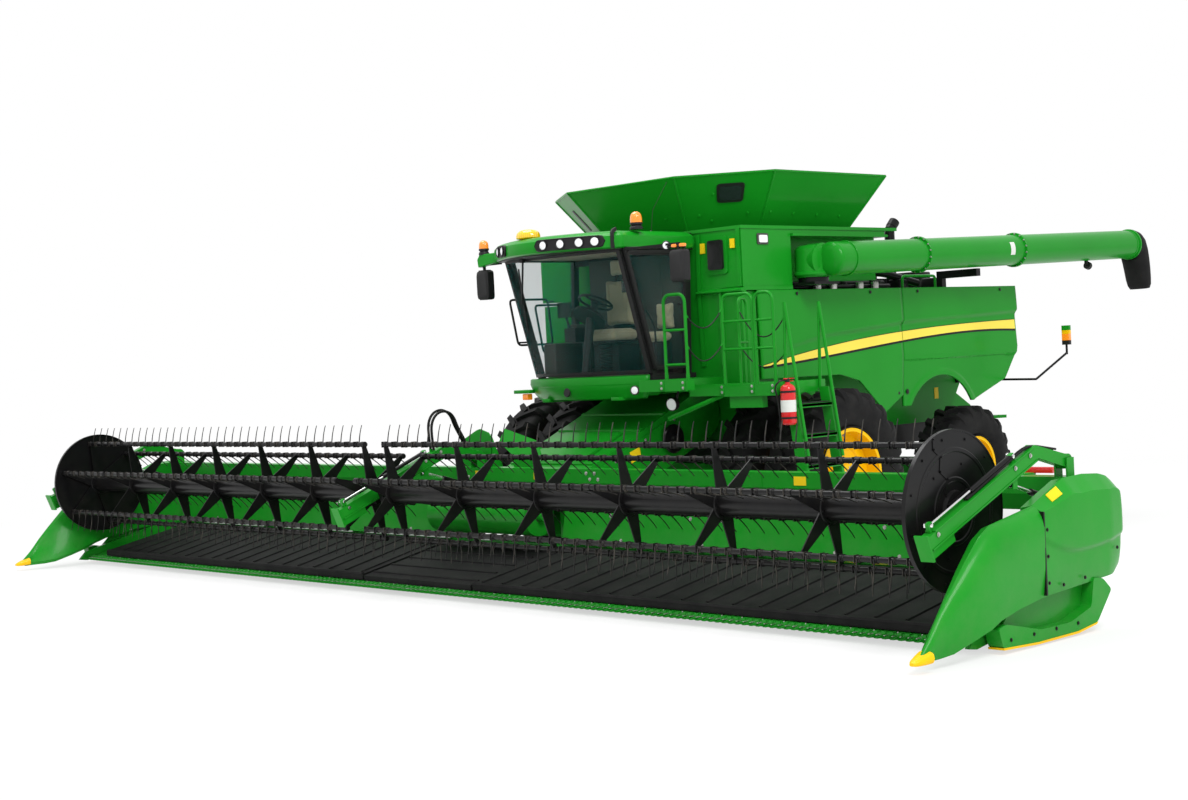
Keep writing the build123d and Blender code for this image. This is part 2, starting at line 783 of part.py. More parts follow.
chain_routes = [
    drooping(place(*cab_hoop_leg, 2723), place(*landing_hoop_legs[0], 2762), (98, 172, 178, 92)),
    drooping(place(*cab_hoop_leg, 2402), place(*landing_hoop_legs[0], 2410), (104, 186, 176, 88)),
    drooping(place(*inner_rail_legs[0], 2755), place(ladder_post_x(2640), ladder_front, 2640),
             (140, 250, 255, 135)),
    drooping(place(*inner_rail_legs[0], 2380), place(ladder_post_x(2270), ladder_front, 2270),
             (108, 190, 196, 104)),
]

with BuildPart() as handrails:
    hoop((1330, -1590), cab_hoop_leg, 2040, 2930, (2200, 2560))
    hoop(*landing_hoop_legs, deck_top, 2900, (2330, 2620))
    hoop((2230, -1180), (2480, -1180), deck_top, 2900, (2330, 2620))
    hoop(*inner_rail_legs, deck_top, 2860, (2400,))
    for chain_route in chain_routes:
        rod(chain_route[0], stub(chain_route[0], chain_route[1], chain_eye_length), chain_eye_radius)
    for chain_route in chain_routes[:2]:
        rod(chain_route[-1], stub(chain_route[-1], chain_route[-2], chain_eye_length), chain_eye_radius)
save(handrails, "handrails")

for number, chain_route in enumerate(chain_routes):
    cord_tube(f"landing_chain_{number + 1}",
              [stub(chain_route[0], chain_route[1], chain_eye_length), *chain_route[1:-1],
               stub(chain_route[-1], chain_route[-2], chain_eye_length)], chain_diameter)

with BuildPart() as ladder:
    for station in (ladder_front, ladder_rear):
        with BuildSketch(cross_plane(station + 15)):
            with BuildLine():
                Polyline((2535, 1900), (2655, 1900), (2890, 420), (2770, 420), close=True)
            make_face()
        extrude(amount=30)
        rod(place(ladder_rail_low[0], station, ladder_rail_low[1]),
            place(ladder_rail_high[0], station, ladder_rail_high[1]), rail_tube)
        rod(place(ladder_rail_high[0], station, ladder_rail_high[1]),
            place(ladder_post_low[0], station, ladder_post_low[1]), rail_tube)
    for step in range(5):
        height = 470 + step * 310
        x = 2770 + (height - 420) * (2535 - 2770) / (1900 - 420)
        box((x - 5, x + 125), (ladder_front, ladder_rear), (height, height + 30))
    for chain_route in chain_routes[2:]:
        rod(chain_route[-1], stub(chain_route[-1], chain_route[-2], chain_eye_length), chain_eye_radius)
    # fire extinguisher strapped beside the left-hand rail
    rod(place(2640, -1190, 1560), place(2640, -1190, 1900), 75)
save(ladder, "ladder")

# ---------------------------------------------------------------- feeder house and lift
feeder_slope = math.atan2(feeder_pivot_height - feeder_mouth_height,
                          feeder_pivot_station - feeder_mouth_station)
feeder_length = math.hypot(feeder_pivot_height - feeder_mouth_height,
                           feeder_pivot_station - feeder_mouth_station)


def feeder_point(forward, lift):
    """(station, height) of a point measured forward from the pivot and square to the feeder."""
    return (feeder_pivot_station - forward * math.cos(feeder_slope) + lift * math.sin(feeder_slope) * -1,
            feeder_pivot_height - forward * math.sin(feeder_slope) + lift * math.cos(feeder_slope))


half_depth = feeder_depth / 2
with BuildPart() as feeder_house:
    with BuildSketch(side_plane(-feeder_half_width)):
        with BuildLine():
            Polyline(feeder_point(0, half_depth), feeder_point(feeder_length, half_depth),
                     feeder_point(feeder_length, -half_depth), feeder_point(0, -half_depth), close=True)
        make_face()
        with Locations((feeder_pivot_station, feeder_pivot_height)):
            Circle(half_depth)
    extrude(amount=2 * feeder_half_width)
    with BuildSketch(side_plane(-feeder_half_width + feeder_wall)):
        with BuildLine():
            Polyline(feeder_point(400, half_depth - feeder_wall),
                     feeder_point(feeder_length + 60, half_depth - feeder_wall),
                     feeder_point(feeder_length + 60, feeder_wall - half_depth),
                     feeder_point(400, feeder_wall - half_depth), close=True)
        make_face()
    extrude(amount=2 * (feeder_half_width - feeder_wall), mode=Mode.SUBTRACT)
    # ears for the two lift cylinders
    for x in (-lift_x, lift_x):
        for ear in (-1, 1):
            box((x + ear * 60 - 10, x + ear * 60 + 10), (lift_eye[0] - 60, lift_eye[0] + 60),
                (lift_eye[1] - 60, feeder_point(1530, -half_depth)[1]))
        rod(place(x - 65, *lift_eye), place(x + 65, *lift_eye), lift_pin)
save(feeder_house, "feeder_house")



def between(start, end, share):
    """The (station, height) point at a share of the way from start to end."""
    return (start[0] + share * (end[0] - start[0]), start[1] + share * (end[1] - start[1]))


# The rod's eye has room round its pin, because the eye only follows its arc closely.
linkage_slack = 7
lift_bore_radius = 30
lift_eye_radius = 50
with BuildPart() as lift_barrels:
    for x in (-lift_x, lift_x):
        rod(place(x, *lift_base), place(x, *between(lift_base, lift_eye, 0.66)), 55)
        rod(place(x - 50, *lift_base), place(x + 50, *lift_base), 60)
        rod(place(x, *between(lift_base, lift_eye, 0.12)), place(x, *lift_eye),
            lift_bore_radius + pin_gap, Mode.SUBTRACT)
        rod(place(x - 60, *lift_base), place(x + 60, *lift_base), lift_pin + pin_gap, Mode.SUBTRACT)
save(lift_barrels, "lift_barrels")

with BuildPart() as lift_rods:
    for x in (-lift_x, lift_x):
        rod(place(x, *between(lift_base, lift_eye, 0.14)), place(x, *lift_eye), lift_bore_radius)
        rod(place(x - 40, *lift_eye), place(x + 40, *lift_eye), lift_eye_radius)
        rod(place(x - 50, *lift_eye), place(x + 50, *lift_eye), lift_pin + linkage_slack, Mode.SUBTRACT)
save(lift_rods, "lift_rods")

# ---------------------------------------------------------------- header frame
beam_bottom = beam_top - 140
arm_bracket_gap = 6
arm_pivot_pin = 20
tube_back = header_back_station
tube_front = header_back_station - 160
post_x_values = (960, 2800, 4700, belt_end_x + 110)
arm_x_values = (-end_arm_x, centre_arm_x, end_arm_x)


def reel_arm_brackets():
    """Ears and a pin for each reel arm, and a clevis for its cylinder, on the upper beam."""
    for x in arm_x_values:
        for side in (-1, 1):
            near = x + side * (arm_thickness / 2 + arm_bracket_gap)
            far = near + side * 14
            side_slab([(arm_pivot_station - 50, beam_top), (arm_pivot_station - 50, arm_pivot_height + 30),
                       (arm_pivot_station + 50, arm_pivot_height + 30),
                       (arm_pivot_station + 50, beam_top)], (min(near, far), max(near, far)))
            near = x + side * 28
            far = near + side * 10
            side_slab([(tube_front, beam_bottom + 20), (tube_front, beam_bottom - 90),
                       (tube_front - 60, beam_bottom - 90), (tube_front - 60, beam_bottom - 30)],
                      (min(near, far), max(near, far)))
        rod(place(x - 60, arm_pivot_station, arm_pivot_height),
            place(x + 60, arm_pivot_station, arm_pivot_height), arm_pivot_pin)


def pan_height(station):
    """Height of the middle of the floor pan at a station."""
    share = (tube_front - station) / (tube_front - cutter_station)
    return 320 + share * (75 - 320)


with BuildPart() as header_frame:
    box((-header_half_width, header_half_width), (tube_front, tube_back), (beam_bottom, beam_top))
    box((-header_half_width, header_half_width), (tube_front, tube_back), (280, 420))
    for side in (-1, 1):
        for x in post_x_values:
            box((side * x - 40, side * x + 40), (tube_front + 40, tube_back), (400, beam_bottom + 20))
        # outer end sheet that carries the divider
        near = side * (header_half_width - 20)
        far = side * (header_half_width + 20)
        with BuildSketch(side_plane(min(near, far))):
            with BuildLine():
                Polyline((tube_back, 420), (tube_back, 280), (-4100, 45), (-4200, 60), (-4100, 160),
                         (tube_front, 470), close=True)
            make_face()
        extrude(amount=abs(far - near))
    # floor pan from the lower tube down to the cutterbar
    side_slab([(tube_front + 10, 300), (tube_front + 10, 340), (cutter_station, 95), (cutter_station, 55)],
              (-header_half_width + 20, header_half_width - 20))
    # adapter frame round the crop opening, which hangs on the feeder house
    box((-960, 960), (tube_back, tube_back + 60), (330, 420))
    box((-960, 960), (tube_back, tube_back + 60), (1030, 1180))
    for side in (-1, 1):
        near = side * 700
        far = side * 960
        box((min(near, far), max(near, far)), (tube_back, tube_back + 60), (420, 1030))
    # skid shoes under the floor pan
    for x in (-5600, -2800, 2800, 5600):
        side_slab([(-3850, pan_height(-3850)), (-3850, 30), (-3780, 12), (-3300, 12), (-3200, 60),
                   (-3200, pan_height(-3200))], (x - 130, x + 130))
    # back sheets behind the belts, leaning against the posts
    for side in (-1, 1):
        near = side * (centre_opening_half + 40)
        far = side * (belt_end_x + 150)
        side_slab([(tube_front - 5, 440), (tube_front - 35, 440), (tube_front + 35, 790),
                   (tube_front + 65, 790)], (min(near, far), max(near, far)))
    reel_arm_brackets()
save(header_frame, "header_frame")

belt_thickness = 60
belt_front = cutter_station + 15
belt_rear = tube_front - 60
belt_front_height = 110
belt_rear_height = 345


def belt_outline(drop):
    """Side outline of a belt deck, lowered by drop."""
    return [(belt_rear, belt_rear_height - drop), (belt_front, belt_front_height - drop),
            (belt_front, belt_front_height + belt_thickness - drop),
            (belt_rear, belt_rear_height + belt_thickness - drop)]


with BuildPart() as draper_belts:
    for side in (-1, 1):
        near = side * (centre_opening_half + 30)
        far = side * belt_end_x
        side_slab(belt_outline(0), (min(near, far), max(near, far)))
    side_slab(belt_outline(12), (-centre_opening_half, centre_opening_half))
save(draper_belts, "draper_belts")

with BuildPart() as cutterbar:
    side_slab([(cutter_station, 50), (cutter_station, 100), (cutter_station - 60, 95),
               (cutter_station - 110, 60), (cutter_station - 60, 45)],
              (-header_half_width + 20, header_half_width - 20))
save(cutterbar, "cutterbar")

drum_station = -3000
drum_height = 730
with BuildPart() as feed_drum:
    rod(place(-800, drum_station, drum_height), place(800, drum_station, drum_height), 200)
    rod(place(-870, drum_station, drum_height), place(870, drum_station, drum_height), 40)
save(feed_drum, "feed_drum")

divider_points = [(-4900, 110), (-4580, 480), (-4050, 960), (-3460, 1050), (-2680, 1250), (-2320, 1160),
                  (-2250, 820), (-2470, 430), (-3410, 360), (-4300, 160), (-4730, 75), (-4900, 70)]
toe_x = (divider_inner_x + divider_outer_x) / 2
with BuildPart() as divider_left:
    side_slab(divider_points, (divider_inner_x, divider_outer_x))
    fillet(divider_left.faces().sort_by(Axis.X)[-1].edges(), radius=divider_round)
    # yellow toe cap
    toe_sections = []
    for station, width, z_from, z_to in ((-4900, 120, 55, 130), (-5010, 60, 60, 95)):
        with BuildSketch(cross_plane(station)) as toe_section:
            with Locations((toe_x, (z_from + z_to) / 2)):
                RectangleRounded(width, z_to - z_from, 15)
        toe_sections.append(toe_section.sketch.face())
    loft(toe_sections)

with BuildPart() as dividers:
    add(divider_left.part)
    add(mirror_of(divider_left))
save(dividers, "dividers")

# ---------------------------------------------------------------- reel arms and cylinders
arm_hump = (-3150, 1420)
arm_tip = (-4570, 860)
arm_slope = math.atan2(arm_hump[1] - arm_tip[1], arm_hump[0] - arm_tip[0])
arm_half_depth = 48
reel_cylinder_base = (tube_front - 30, beam_bottom - 60)
reel_cylinder_eye = (-3450, 1195)


def arm_point(forward, lift):
    """(station, height) along the straight front part of a reel arm, from its hump."""
    return (arm_hump[0] - forward * math.cos(arm_slope) + lift * -math.sin(arm_slope),
            arm_hump[1] - forward * math.sin(arm_slope) + lift * math.cos(arm_slope))


arm_front_length = math.hypot(arm_hump[0] - arm_tip[0], arm_hump[1] - arm_tip[1])
hose_diameter = 28
hose_fitting_radius = 17
hose_fitting_length = 62
hose_loop = [(-3335, 1440), (-3352, 1580), (-3350, 1725), (-3276, 1825), (-3157, 1850), (-3050, 1794),
             (-2997, 1660), (-2925, 1545), (-2880, 1450)]
hose_routes = [
    [place(centre_arm_x - 21, station, height) for station, height in hose_loop],
    [place(centre_arm_x + 21, station + 9, height - 14) for station, height in hose_loop],
]
arm_boss = 60
with BuildPart() as reel_arms:
    for x in arm_x_values:
        with BuildSketch(side_plane(x - arm_thickness / 2)):
            with BuildLine():
                Polyline((arm_pivot_station, arm_pivot_height + arm_boss - 8),
                         arm_point(0, arm_half_depth + 15),
                         arm_point(arm_front_length, arm_half_depth),
                         arm_point(arm_front_length, -arm_half_depth), arm_point(0, -arm_half_depth),
                         (arm_pivot_station, arm_pivot_height - arm_boss + 8), close=True)
            make_face()
            with Locations((arm_pivot_station, arm_pivot_height)):
                Circle(arm_boss)
                Circle(arm_pivot_pin + pin_gap, mode=Mode.SUBTRACT)
        extrude(amount=arm_thickness)
        for ear in (-1, 1):
            box((x + ear * 30 - 5, x + ear * 30 + 5), (reel_cylinder_eye[0] - 30, reel_cylinder_eye[0] + 30),
                (reel_cylinder_eye[1] - 30, reel_cylinder_eye[1] + 80))
    for hose_route in hose_routes:
        rod(stub(hose_route[0], hose_route[1], -hose_fitting_length), hose_route[0], hose_fitting_radius)
        rod(stub(hose_route[-1], hose_route[-2], -hose_fitting_length), hose_route[-1], hose_fitting_radius)
save(reel_arms, "reel_arms")

for number, hose_route in enumerate(hose_routes):
    cord_tube(f"reel_hose_{number + 1}", hose_route, hose_diameter)

carriage_width = 70
carriage_rows = [
    # x of the carriage's middle
    end_arm_x - arm_thickness / 2 - 5 - carriage_width / 2,
    centre_arm_x + arm_thickness / 2 + 5 + carriage_width / 2,
    centre_arm_x - arm_thickness / 2 - 5 - carriage_width / 2,
    -end_arm_x + arm_thickness / 2 + 5 + carriage_width / 2,
]
reel_forward = (arm_hump[0] - reel_station) / math.cos(arm_slope)
shaft_radius = 35
with BuildPart() as reel_carriages:
    for x in carriage_rows:
        side_slab([arm_point(reel_forward - 140, 60), arm_point(reel_forward + 140, 60),
                   arm_point(reel_forward + 140, -130), arm_point(reel_forward - 140, -130)],
                  (x - carriage_width / 2, x + carriage_width / 2))
        rod(place(x - carriage_width, reel_station, reel_height),
            place(x + carriage_width, reel_station, reel_height), shaft_radius + pin_gap, Mode.SUBTRACT)
save(reel_carriages, "reel_carriages")

reel_bore_radius = 13
with BuildPart() as reel_barrels:
    for x in arm_x_values:
        rod(place(x, *reel_cylinder_base), place(x, *between(reel_cylinder_base, reel_cylinder_eye, 0.62)),
            26)
        rod(place(x - 22, *reel_cylinder_base), place(x + 22, *reel_cylinder_base), 28)
        rod(place(x, *between(reel_cylinder_base, reel_cylinder_eye, 0.1)), place(x, *reel_cylinder_eye),
            reel_bore_radius + pin_gap, Mode.SUBTRACT)
save(reel_barrels, "reel_barrels")

with BuildPart() as reel_rods:
    for x in arm_x_values:
        rod(place(x, *between(reel_cylinder_base, reel_cylinder_eye, 0.17)), place(x, *reel_cylinder_eye),
            reel_bore_radius)
        rod(place(x - 20, *reel_cylinder_eye), place(x + 20, *reel_cylinder_eye), 22)
save(reel_rods, "reel_rods")

# ---------------------------------------------------------------- reel sections
left_inner_x = centre_arm_x + centre_arm_gap
right_inner_x = centre_arm_x - centre_arm_gap
sections = (
    # name, inner end, outer end, direction of the outer end
    ("left", left_inner_x, reel_end_x, 1),
    ("right", right_inner_x, -reel_end_x, -1),
)
spider_thickness = 12
disc_thickness = 8
spiders_per_section = 7
spider_inset = 40
spoke_root_lap = 20
spoke_root_half = 70
spoke_tip_half = 22
inner_shaft_reach = 70
outer_shaft_reach = 100


def bat_centre(index):
    """(station, height) of one bat tube."""
    angle = math.radians(bat_phase + index * 360 / bat_count)
    return (reel_station + bat_radius_from_axis * math.sin(angle),
            reel_height + bat_radius_from_axis * math.cos(angle))


def spoke_corners(index):
    """Corners of one tapered arm, from the hub to its bat."""
    angle = math.radians(bat_phase + index * 360 / bat_count)
    root = reel_tube_radius + spoke_root_lap
    corners = ((root, -spoke_root_half), (bat_radius_from_axis, -spoke_tip_half),
               (bat_radius_from_axis, spoke_tip_half), (root, spoke_root_half))
    return [(reel_station + outward * math.sin(angle) + across * math.cos(angle),
             reel_height + outward * math.cos(angle) - across * math.sin(angle))
            for outward, across in corners]


def spider(x):
    """A star of tapered arms round the reel tube that reaches the bats."""
    with BuildPart() as star:
        with BuildSketch(side_plane(x - spider_thickness / 2)) as outline:
            with Locations((reel_station, reel_height)):
                Circle(reel_tube_radius + 2 * spoke_root_lap)
            for index in range(bat_count):
                with BuildLine():
                    Polyline(*spoke_corners(index), close=True)
                make_face()
            with Locations((reel_station, reel_height)):
                Circle(reel_tube_radius, mode=Mode.SUBTRACT)
            for index in range(bat_count):
                with Locations(bat_centre(index)):
                    Circle(bat_tube_radius, mode=Mode.SUBTRACT)
        extrude(outline.sketch, amount=spider_thickness)
    return star.part.solid()


def bar(start, end, radius):
    """A round bar as a solid of its own."""
    with BuildPart() as piece:
        rod(start, end, radius)
    return piece.part.solid()


for name, inner_x, outer_x, outward in sections:
    with BuildPart() as axle:
        rod(place(inner_x, reel_station, reel_height), place(outer_x, reel_station, reel_height),
            reel_tube_radius)
        rod(place(inner_x - outward * inner_shaft_reach, reel_station, reel_height),
            place(outer_x + outward * outer_shaft_reach, reel_station, reel_height), shaft_radius)
        rod(place(outer_x, reel_station, reel_height),
            place(outer_x + outward * disc_thickness, reel_station, reel_height), reel_disc_radius)
    solids = [axle.part.solid()]
    span = abs(outer_x - inner_x) - 2 * spider_inset
    for number in range(spiders_per_section):
        share = number / (spiders_per_section - 1)
        solids.append(spider(inner_x + outward * (spider_inset + span * share)))
    for index in range(bat_count):
        bat_station, bat_height = bat_centre(index)
        solids.append(bar(place(inner_x, bat_station, bat_height), place(outer_x, bat_station, bat_height),
                          bat_tube_radius))
    save_set(solids, f"reel_{name}")

# ---------------------------------------------------------------- rear lamps
lamp_station = body_rear_station + 360
with BuildPart() as rear_lamps:
    for side in (-1, 1):
        near = side * body_half_width
        far = side * (body_half_width + 40)
        box((min(near, far), max(near, far)), (body_rear_station - 90, body_rear_station - 10),
            (1760, 1840))
        rod(place(side * (body_half_width + 20), body_rear_station - 50, 1795),
            place(side * 1980, body_rear_station + 100, 1770), 14)
        rod(place(side * 1980, body_rear_station + 100, 1770), place(side * 2270, lamp_station, 2080), 14)
        rod(place(side * 2270, lamp_station, 2060), place(side * 2270, lamp_station, 2180), 14)
        box((side * 2270 - 50, side * 2270 + 50), (lamp_station - 20, lamp_station + 30), (2180, 2420))
save(rear_lamps, "rear_lamps")
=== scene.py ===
"""Looks of the combine harvester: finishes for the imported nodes, and the detail that rides on them.

The machine's own frame is used throughout: +X is its left, -Y is forward, +Z is up, in metres.
A station is a distance rearwards from the front axle, as in the part's source.
"""
import sys
import json
import logging
import math
from dataclasses import dataclass
from enum import Enum
from typing import Iterable, Sequence

import bmesh
import bpy
import numpy as np
from mathutils import Matrix, Vector

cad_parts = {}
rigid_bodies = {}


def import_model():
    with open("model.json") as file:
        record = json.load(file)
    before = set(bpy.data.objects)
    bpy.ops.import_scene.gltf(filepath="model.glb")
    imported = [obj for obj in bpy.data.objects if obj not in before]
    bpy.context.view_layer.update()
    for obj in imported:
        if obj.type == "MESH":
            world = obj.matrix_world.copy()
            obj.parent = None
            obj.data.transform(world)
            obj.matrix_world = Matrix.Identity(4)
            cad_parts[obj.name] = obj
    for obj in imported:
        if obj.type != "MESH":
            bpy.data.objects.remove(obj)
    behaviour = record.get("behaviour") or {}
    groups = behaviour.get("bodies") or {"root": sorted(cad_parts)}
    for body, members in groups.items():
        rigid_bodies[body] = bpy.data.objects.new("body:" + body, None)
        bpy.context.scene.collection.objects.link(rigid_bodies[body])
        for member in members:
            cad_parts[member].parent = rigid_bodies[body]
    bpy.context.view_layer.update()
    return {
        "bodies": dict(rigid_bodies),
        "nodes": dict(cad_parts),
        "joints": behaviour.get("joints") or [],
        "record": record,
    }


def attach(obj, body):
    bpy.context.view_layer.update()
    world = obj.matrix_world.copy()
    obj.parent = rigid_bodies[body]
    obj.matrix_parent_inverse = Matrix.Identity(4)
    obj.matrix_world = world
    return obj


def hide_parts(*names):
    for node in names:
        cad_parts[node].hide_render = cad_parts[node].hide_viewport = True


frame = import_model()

LOG = logging.getLogger("combine")
Array = np.ndarray
JOINTS = {joint["name"]: joint for joint in frame["joints"]}
AXLE_Y = JOINTS["front_wheels_left_spin"]["pos_m"][1]
TAU = 2 * math.pi
UP = (0, 0, 1)


def at(x: float, station: float, z: float) -> Array:
    """A point of the machine from its left offset, station and height."""
    return np.array([x, station + AXLE_Y, z])


def route(*places: Sequence[float]) -> Array:
    """Points of the machine, each given as (left offset, station, height)."""
    return np.array([at(*place) for place in places])


def unit(vector: Array) -> Array:
    """The vector at length 1."""
    return vector / np.linalg.norm(vector)


def sideways(places: Array) -> Array:
    """Shifts along the machine's width, one for each place."""
    return np.column_stack([places, np.zeros((len(places), 2))])


def level(plan: Array, z: float) -> Array:
    """(left, station) points laid at one height."""
    return np.column_stack([plan[:, 0], plan[:, 1] + AXLE_Y, np.full(len(plan), z)])


def standing(outline: Array, station: float) -> Array:
    """(left, height) points stood at one station."""
    return np.column_stack([outline[:, 0], np.full(len(outline), station + AXLE_Y), outline[:, 1]])


def shrunk(outline: Array, share: float) -> Array:
    """An outline at a share of its size, about its middle."""
    middle = outline.mean(0)
    return middle + (outline - middle) * share


def rectangle(low_a: float, low_b: float, high_a: float, high_b: float) -> list[tuple[float, float]]:
    """A four-cornered outline from its lower and its upper corner."""
    return [(low_a, low_b), (high_a, low_b), (high_a, high_b), (low_a, high_b)]


# ------------------------------------------------------------------ surfaces
@dataclass
class Skin:
    """A surface as whole arrays: points, and faces grouped by how many corners they have."""

    points: Array
    faces: list[Array]

    def __add__(self, other: "Skin") -> "Skin":
        """Both surfaces in one."""
        return join([self, other])

    def moved(self, shift: Sequence[float]) -> "Skin":
        """The surface moved by a vector."""
        return Skin(self.points + np.asarray(shift, float), self.faces)

    def turned(self, matrix: Array, about: Sequence[float] = (0, 0, 0)) -> "Skin":
        """The surface turned by a 3 by 3 matrix about a point."""
        centre = np.asarray(about, float)
        return Skin((self.points - centre) @ np.asarray(matrix).T + centre, self.faces)

    def mirrored(self) -> "Skin":
        """The surface on the other side of the machine, its faces still outwards."""
        return Skin(self.points * np.array([-1, 1, 1]), [face[:, ::-1] for face in self.faces])

    def both_sides(self) -> "Skin":
        """The surface and its mirror image."""
        return join([self, self.mirrored()])

    def repeated(self, shifts: Array) -> "Skin":
        """Copies of the surface, one at each shift (rows of x, y, z)."""
        shifts = np.atleast_2d(shifts)
        count, size = len(shifts), len(self.points)
        points = (self.points[None, :, :] + shifts[:, None, :]).reshape(-1, 3)
        start = (np.arange(count) * size)[:, None, None]
        faces = [(face[None, :, :] + start).reshape(-1, face.shape[1]) for face in self.faces]
        return Skin(points, faces)

    def spun(self, angles: Array, axis: Sequence[float], about: Sequence[float]) -> "Skin":
        """Copies of the surface turned by each angle about an axis through a point."""
        return join([self.turned(turn(axis, angle), about) for angle in angles])


def join(skins: Iterable[Skin]) -> Skin:
    """One surface from several."""
    points: list[Array] = []
    faces: list[Array] = []
    start = 0
    for skin in skins:
        points.append(skin.points)
        faces.extend(face + start for face in skin.faces)
        start += len(skin.points)
    return Skin(np.concatenate(points), faces)


def turn(axis: Sequence[float], angle: float) -> Array:
    """The matrix of a turn by an angle in radians about an axis through the origin."""
    return np.array(Matrix.Rotation(angle, 3, Vector(axis)))


def grid_faces(rows: int, columns: int, wrap_rows: bool, wrap_columns: bool) -> Array:
    """Four-cornered faces of a grid of points, numbered row by row."""
    row = np.arange(rows if wrap_rows else rows - 1)
    column = np.arange(columns if wrap_columns else columns - 1)
    row, column = np.meshgrid(row, column, indexing="ij")
    next_row, next_column = (row + 1) % rows, (column + 1) % columns
    corners = [row * columns + column, row * columns + next_column,
               next_row * columns + next_column, next_row * columns + column]
    return np.stack(corners, -1).reshape(-1, 4)


def surface(points: Array, wrap_rows: bool = False, wrap_columns: bool = False, capped: bool = False) -> Skin:
    """A surface from a (rows, columns, 3) array of points.

    Args:
        points: the grid of points.
        wrap_rows: whether the last row joins the first.
        wrap_columns: whether the last column joins the first.
        capped: whether the first and last rows are closed by one flat face each.

    Returns:
        The surface.
    """
    rows, columns = points.shape[:2]
    faces = [grid_faces(rows, columns, wrap_rows, wrap_columns)]
    if capped:
        first = np.arange(columns)[None, :]
        last = (rows - 1) * columns + np.arange(columns)[None, ::-1]
        faces += [first, last]
    return Skin(points.reshape(-1, 3), faces)


def loft(rings: Sequence[Array]) -> Skin:
    """A body lofted through rings of points, with a flat face at both ends."""
    return surface(np.asarray(rings, float), wrap_columns=True, capped=True)


def along(path: Array, section: Array, scale: Array | float = 1.0, closed: bool = False) -> Skin:
    """A closed section carried along a path.

    Point (i, j) is path[i] + scale[i] * (section[j].a * side[i] + section[j].b * lift[i]), where side and
    lift are square to the path's tangent and side is also square to the path's least used direction.

    Args:
        path: (n, 3) points.
        section: (m, 2) closed outline, in order.
        scale: one size, or one for each path point.
        closed: whether the path joins its start.

    Returns:
        The surface, with flat ends unless the path is closed.
    """
    path = np.asarray(path, float)
    if closed:
        tangent = np.roll(path, -1, 0) - np.roll(path, 1, 0)
    else:
        tangent = np.gradient(path, axis=0)
    tangent /= np.linalg.norm(tangent, axis=1, keepdims=True)
    least = np.eye(3)[np.argmin(np.abs(tangent).max(axis=0))]
    side = np.cross(tangent, least)
    side /= np.linalg.norm(side, axis=1, keepdims=True)
    lift = np.cross(side, tangent)
    size = np.broadcast_to(scale, len(path))[:, None, None]
    section = np.asarray(section, float)
    offset = section[None, :, :1] * side[:, None, :] + section[None, :, 1:] * lift[:, None, :]
    return surface(path[:, None, :] + size * offset, wrap_rows=closed, wrap_columns=True, capped=not closed)


def ring(radius: float, sides: int) -> Array:
    """A circle as a closed outline."""
    angle = np.arange(sides) * TAU / sides
    return radius * np.stack([np.cos(angle), np.sin(angle)], 1)


def tube(path: Sequence[Sequence[float]], radius: float, sides: int = 10, closed: bool = False) -> Skin:
    """A round bar along a path."""
    return along(np.asarray(path, float), ring(radius, sides), closed=closed)


def rounded(corners: Sequence[Sequence[float]], radius: float, steps: int = 5) -> Array:
    """A path through corners with each inner corner rounded.

    Each corner c is replaced by the curve (1-t)^2 a + 2 t (1-t) c + t^2 b, where a and b lie a radius
    (or less, on a short run) before and after it.
    """
    corners = np.asarray(corners, float)
    before = corners[:-2] - corners[1:-1]
    after = corners[2:] - corners[1:-1]
    reach_before = np.linalg.norm(before, axis=1, keepdims=True)
    reach_after = np.linalg.norm(after, axis=1, keepdims=True)
    reach = np.minimum(radius, np.minimum(reach_before, reach_after) * 0.48)
    a = corners[1:-1] + before / reach_before * reach
    b = corners[1:-1] + after / reach_after * reach
    t = np.linspace(0, 1, steps)[None, :, None]
    bends = (1 - t) ** 2 * a[:, None] + 2 * t * (1 - t) * corners[1:-1][:, None] + t ** 2 * b[:, None]
    return np.concatenate([corners[:1], bends.reshape(-1, corners.shape[1]), corners[-1:]])


def rounded_outline(corners: Sequence[Sequence[float]], radius: float, steps: int = 4) -> Array:
    """A closed outline with every corner rounded, by the formula of rounded()."""
    corners = np.asarray(corners, float)
    wrapped = np.concatenate([corners[-1:], corners, corners[:1]])
    return rounded(wrapped, radius, steps)[1:-1]


def lathe(profile: Sequence[Sequence[float]], centre: Sequence[float], segments: int = 48,
          axis: Sequence[float] = (1, 0, 0), closed: bool = False) -> Skin:
    """A profile of (along, radius) turned about an axis through a centre.

    Args:
        profile: rows of distance along the axis and radius.
        centre: a point on the axis, where along is 0.
        segments: steps round the axis.
        axis: the axis's direction.
        closed: whether the profile joins its own start, as a ring's does.

    Returns:
        The turned surface, closed by flat ends unless the profile is closed.
    """
    profile = np.asarray(profile, float)
    direction = np.asarray(axis, float) / np.linalg.norm(axis)
    least = np.eye(3)[np.argmin(np.abs(direction))]
    side = np.cross(direction, least)
    side /= np.linalg.norm(side)
    lift = np.cross(direction, side)
    angle = np.arange(segments) * TAU / segments
    spokes = np.cos(angle)[:, None] * side + np.sin(angle)[:, None] * lift
    points = (np.asarray(centre, float) + profile[:, None, :1] * direction
              + profile[:, None, 1:] * spokes[None])
    return surface(points, wrap_rows=closed, wrap_columns=True, capped=not closed)


class Axis3(Enum):
    """The direction that an outline is extruded in, with its two in-plane directions."""

    X = (1, 2, 0)
    Y = (0, 2, 1)
    Z = (0, 1, 2)


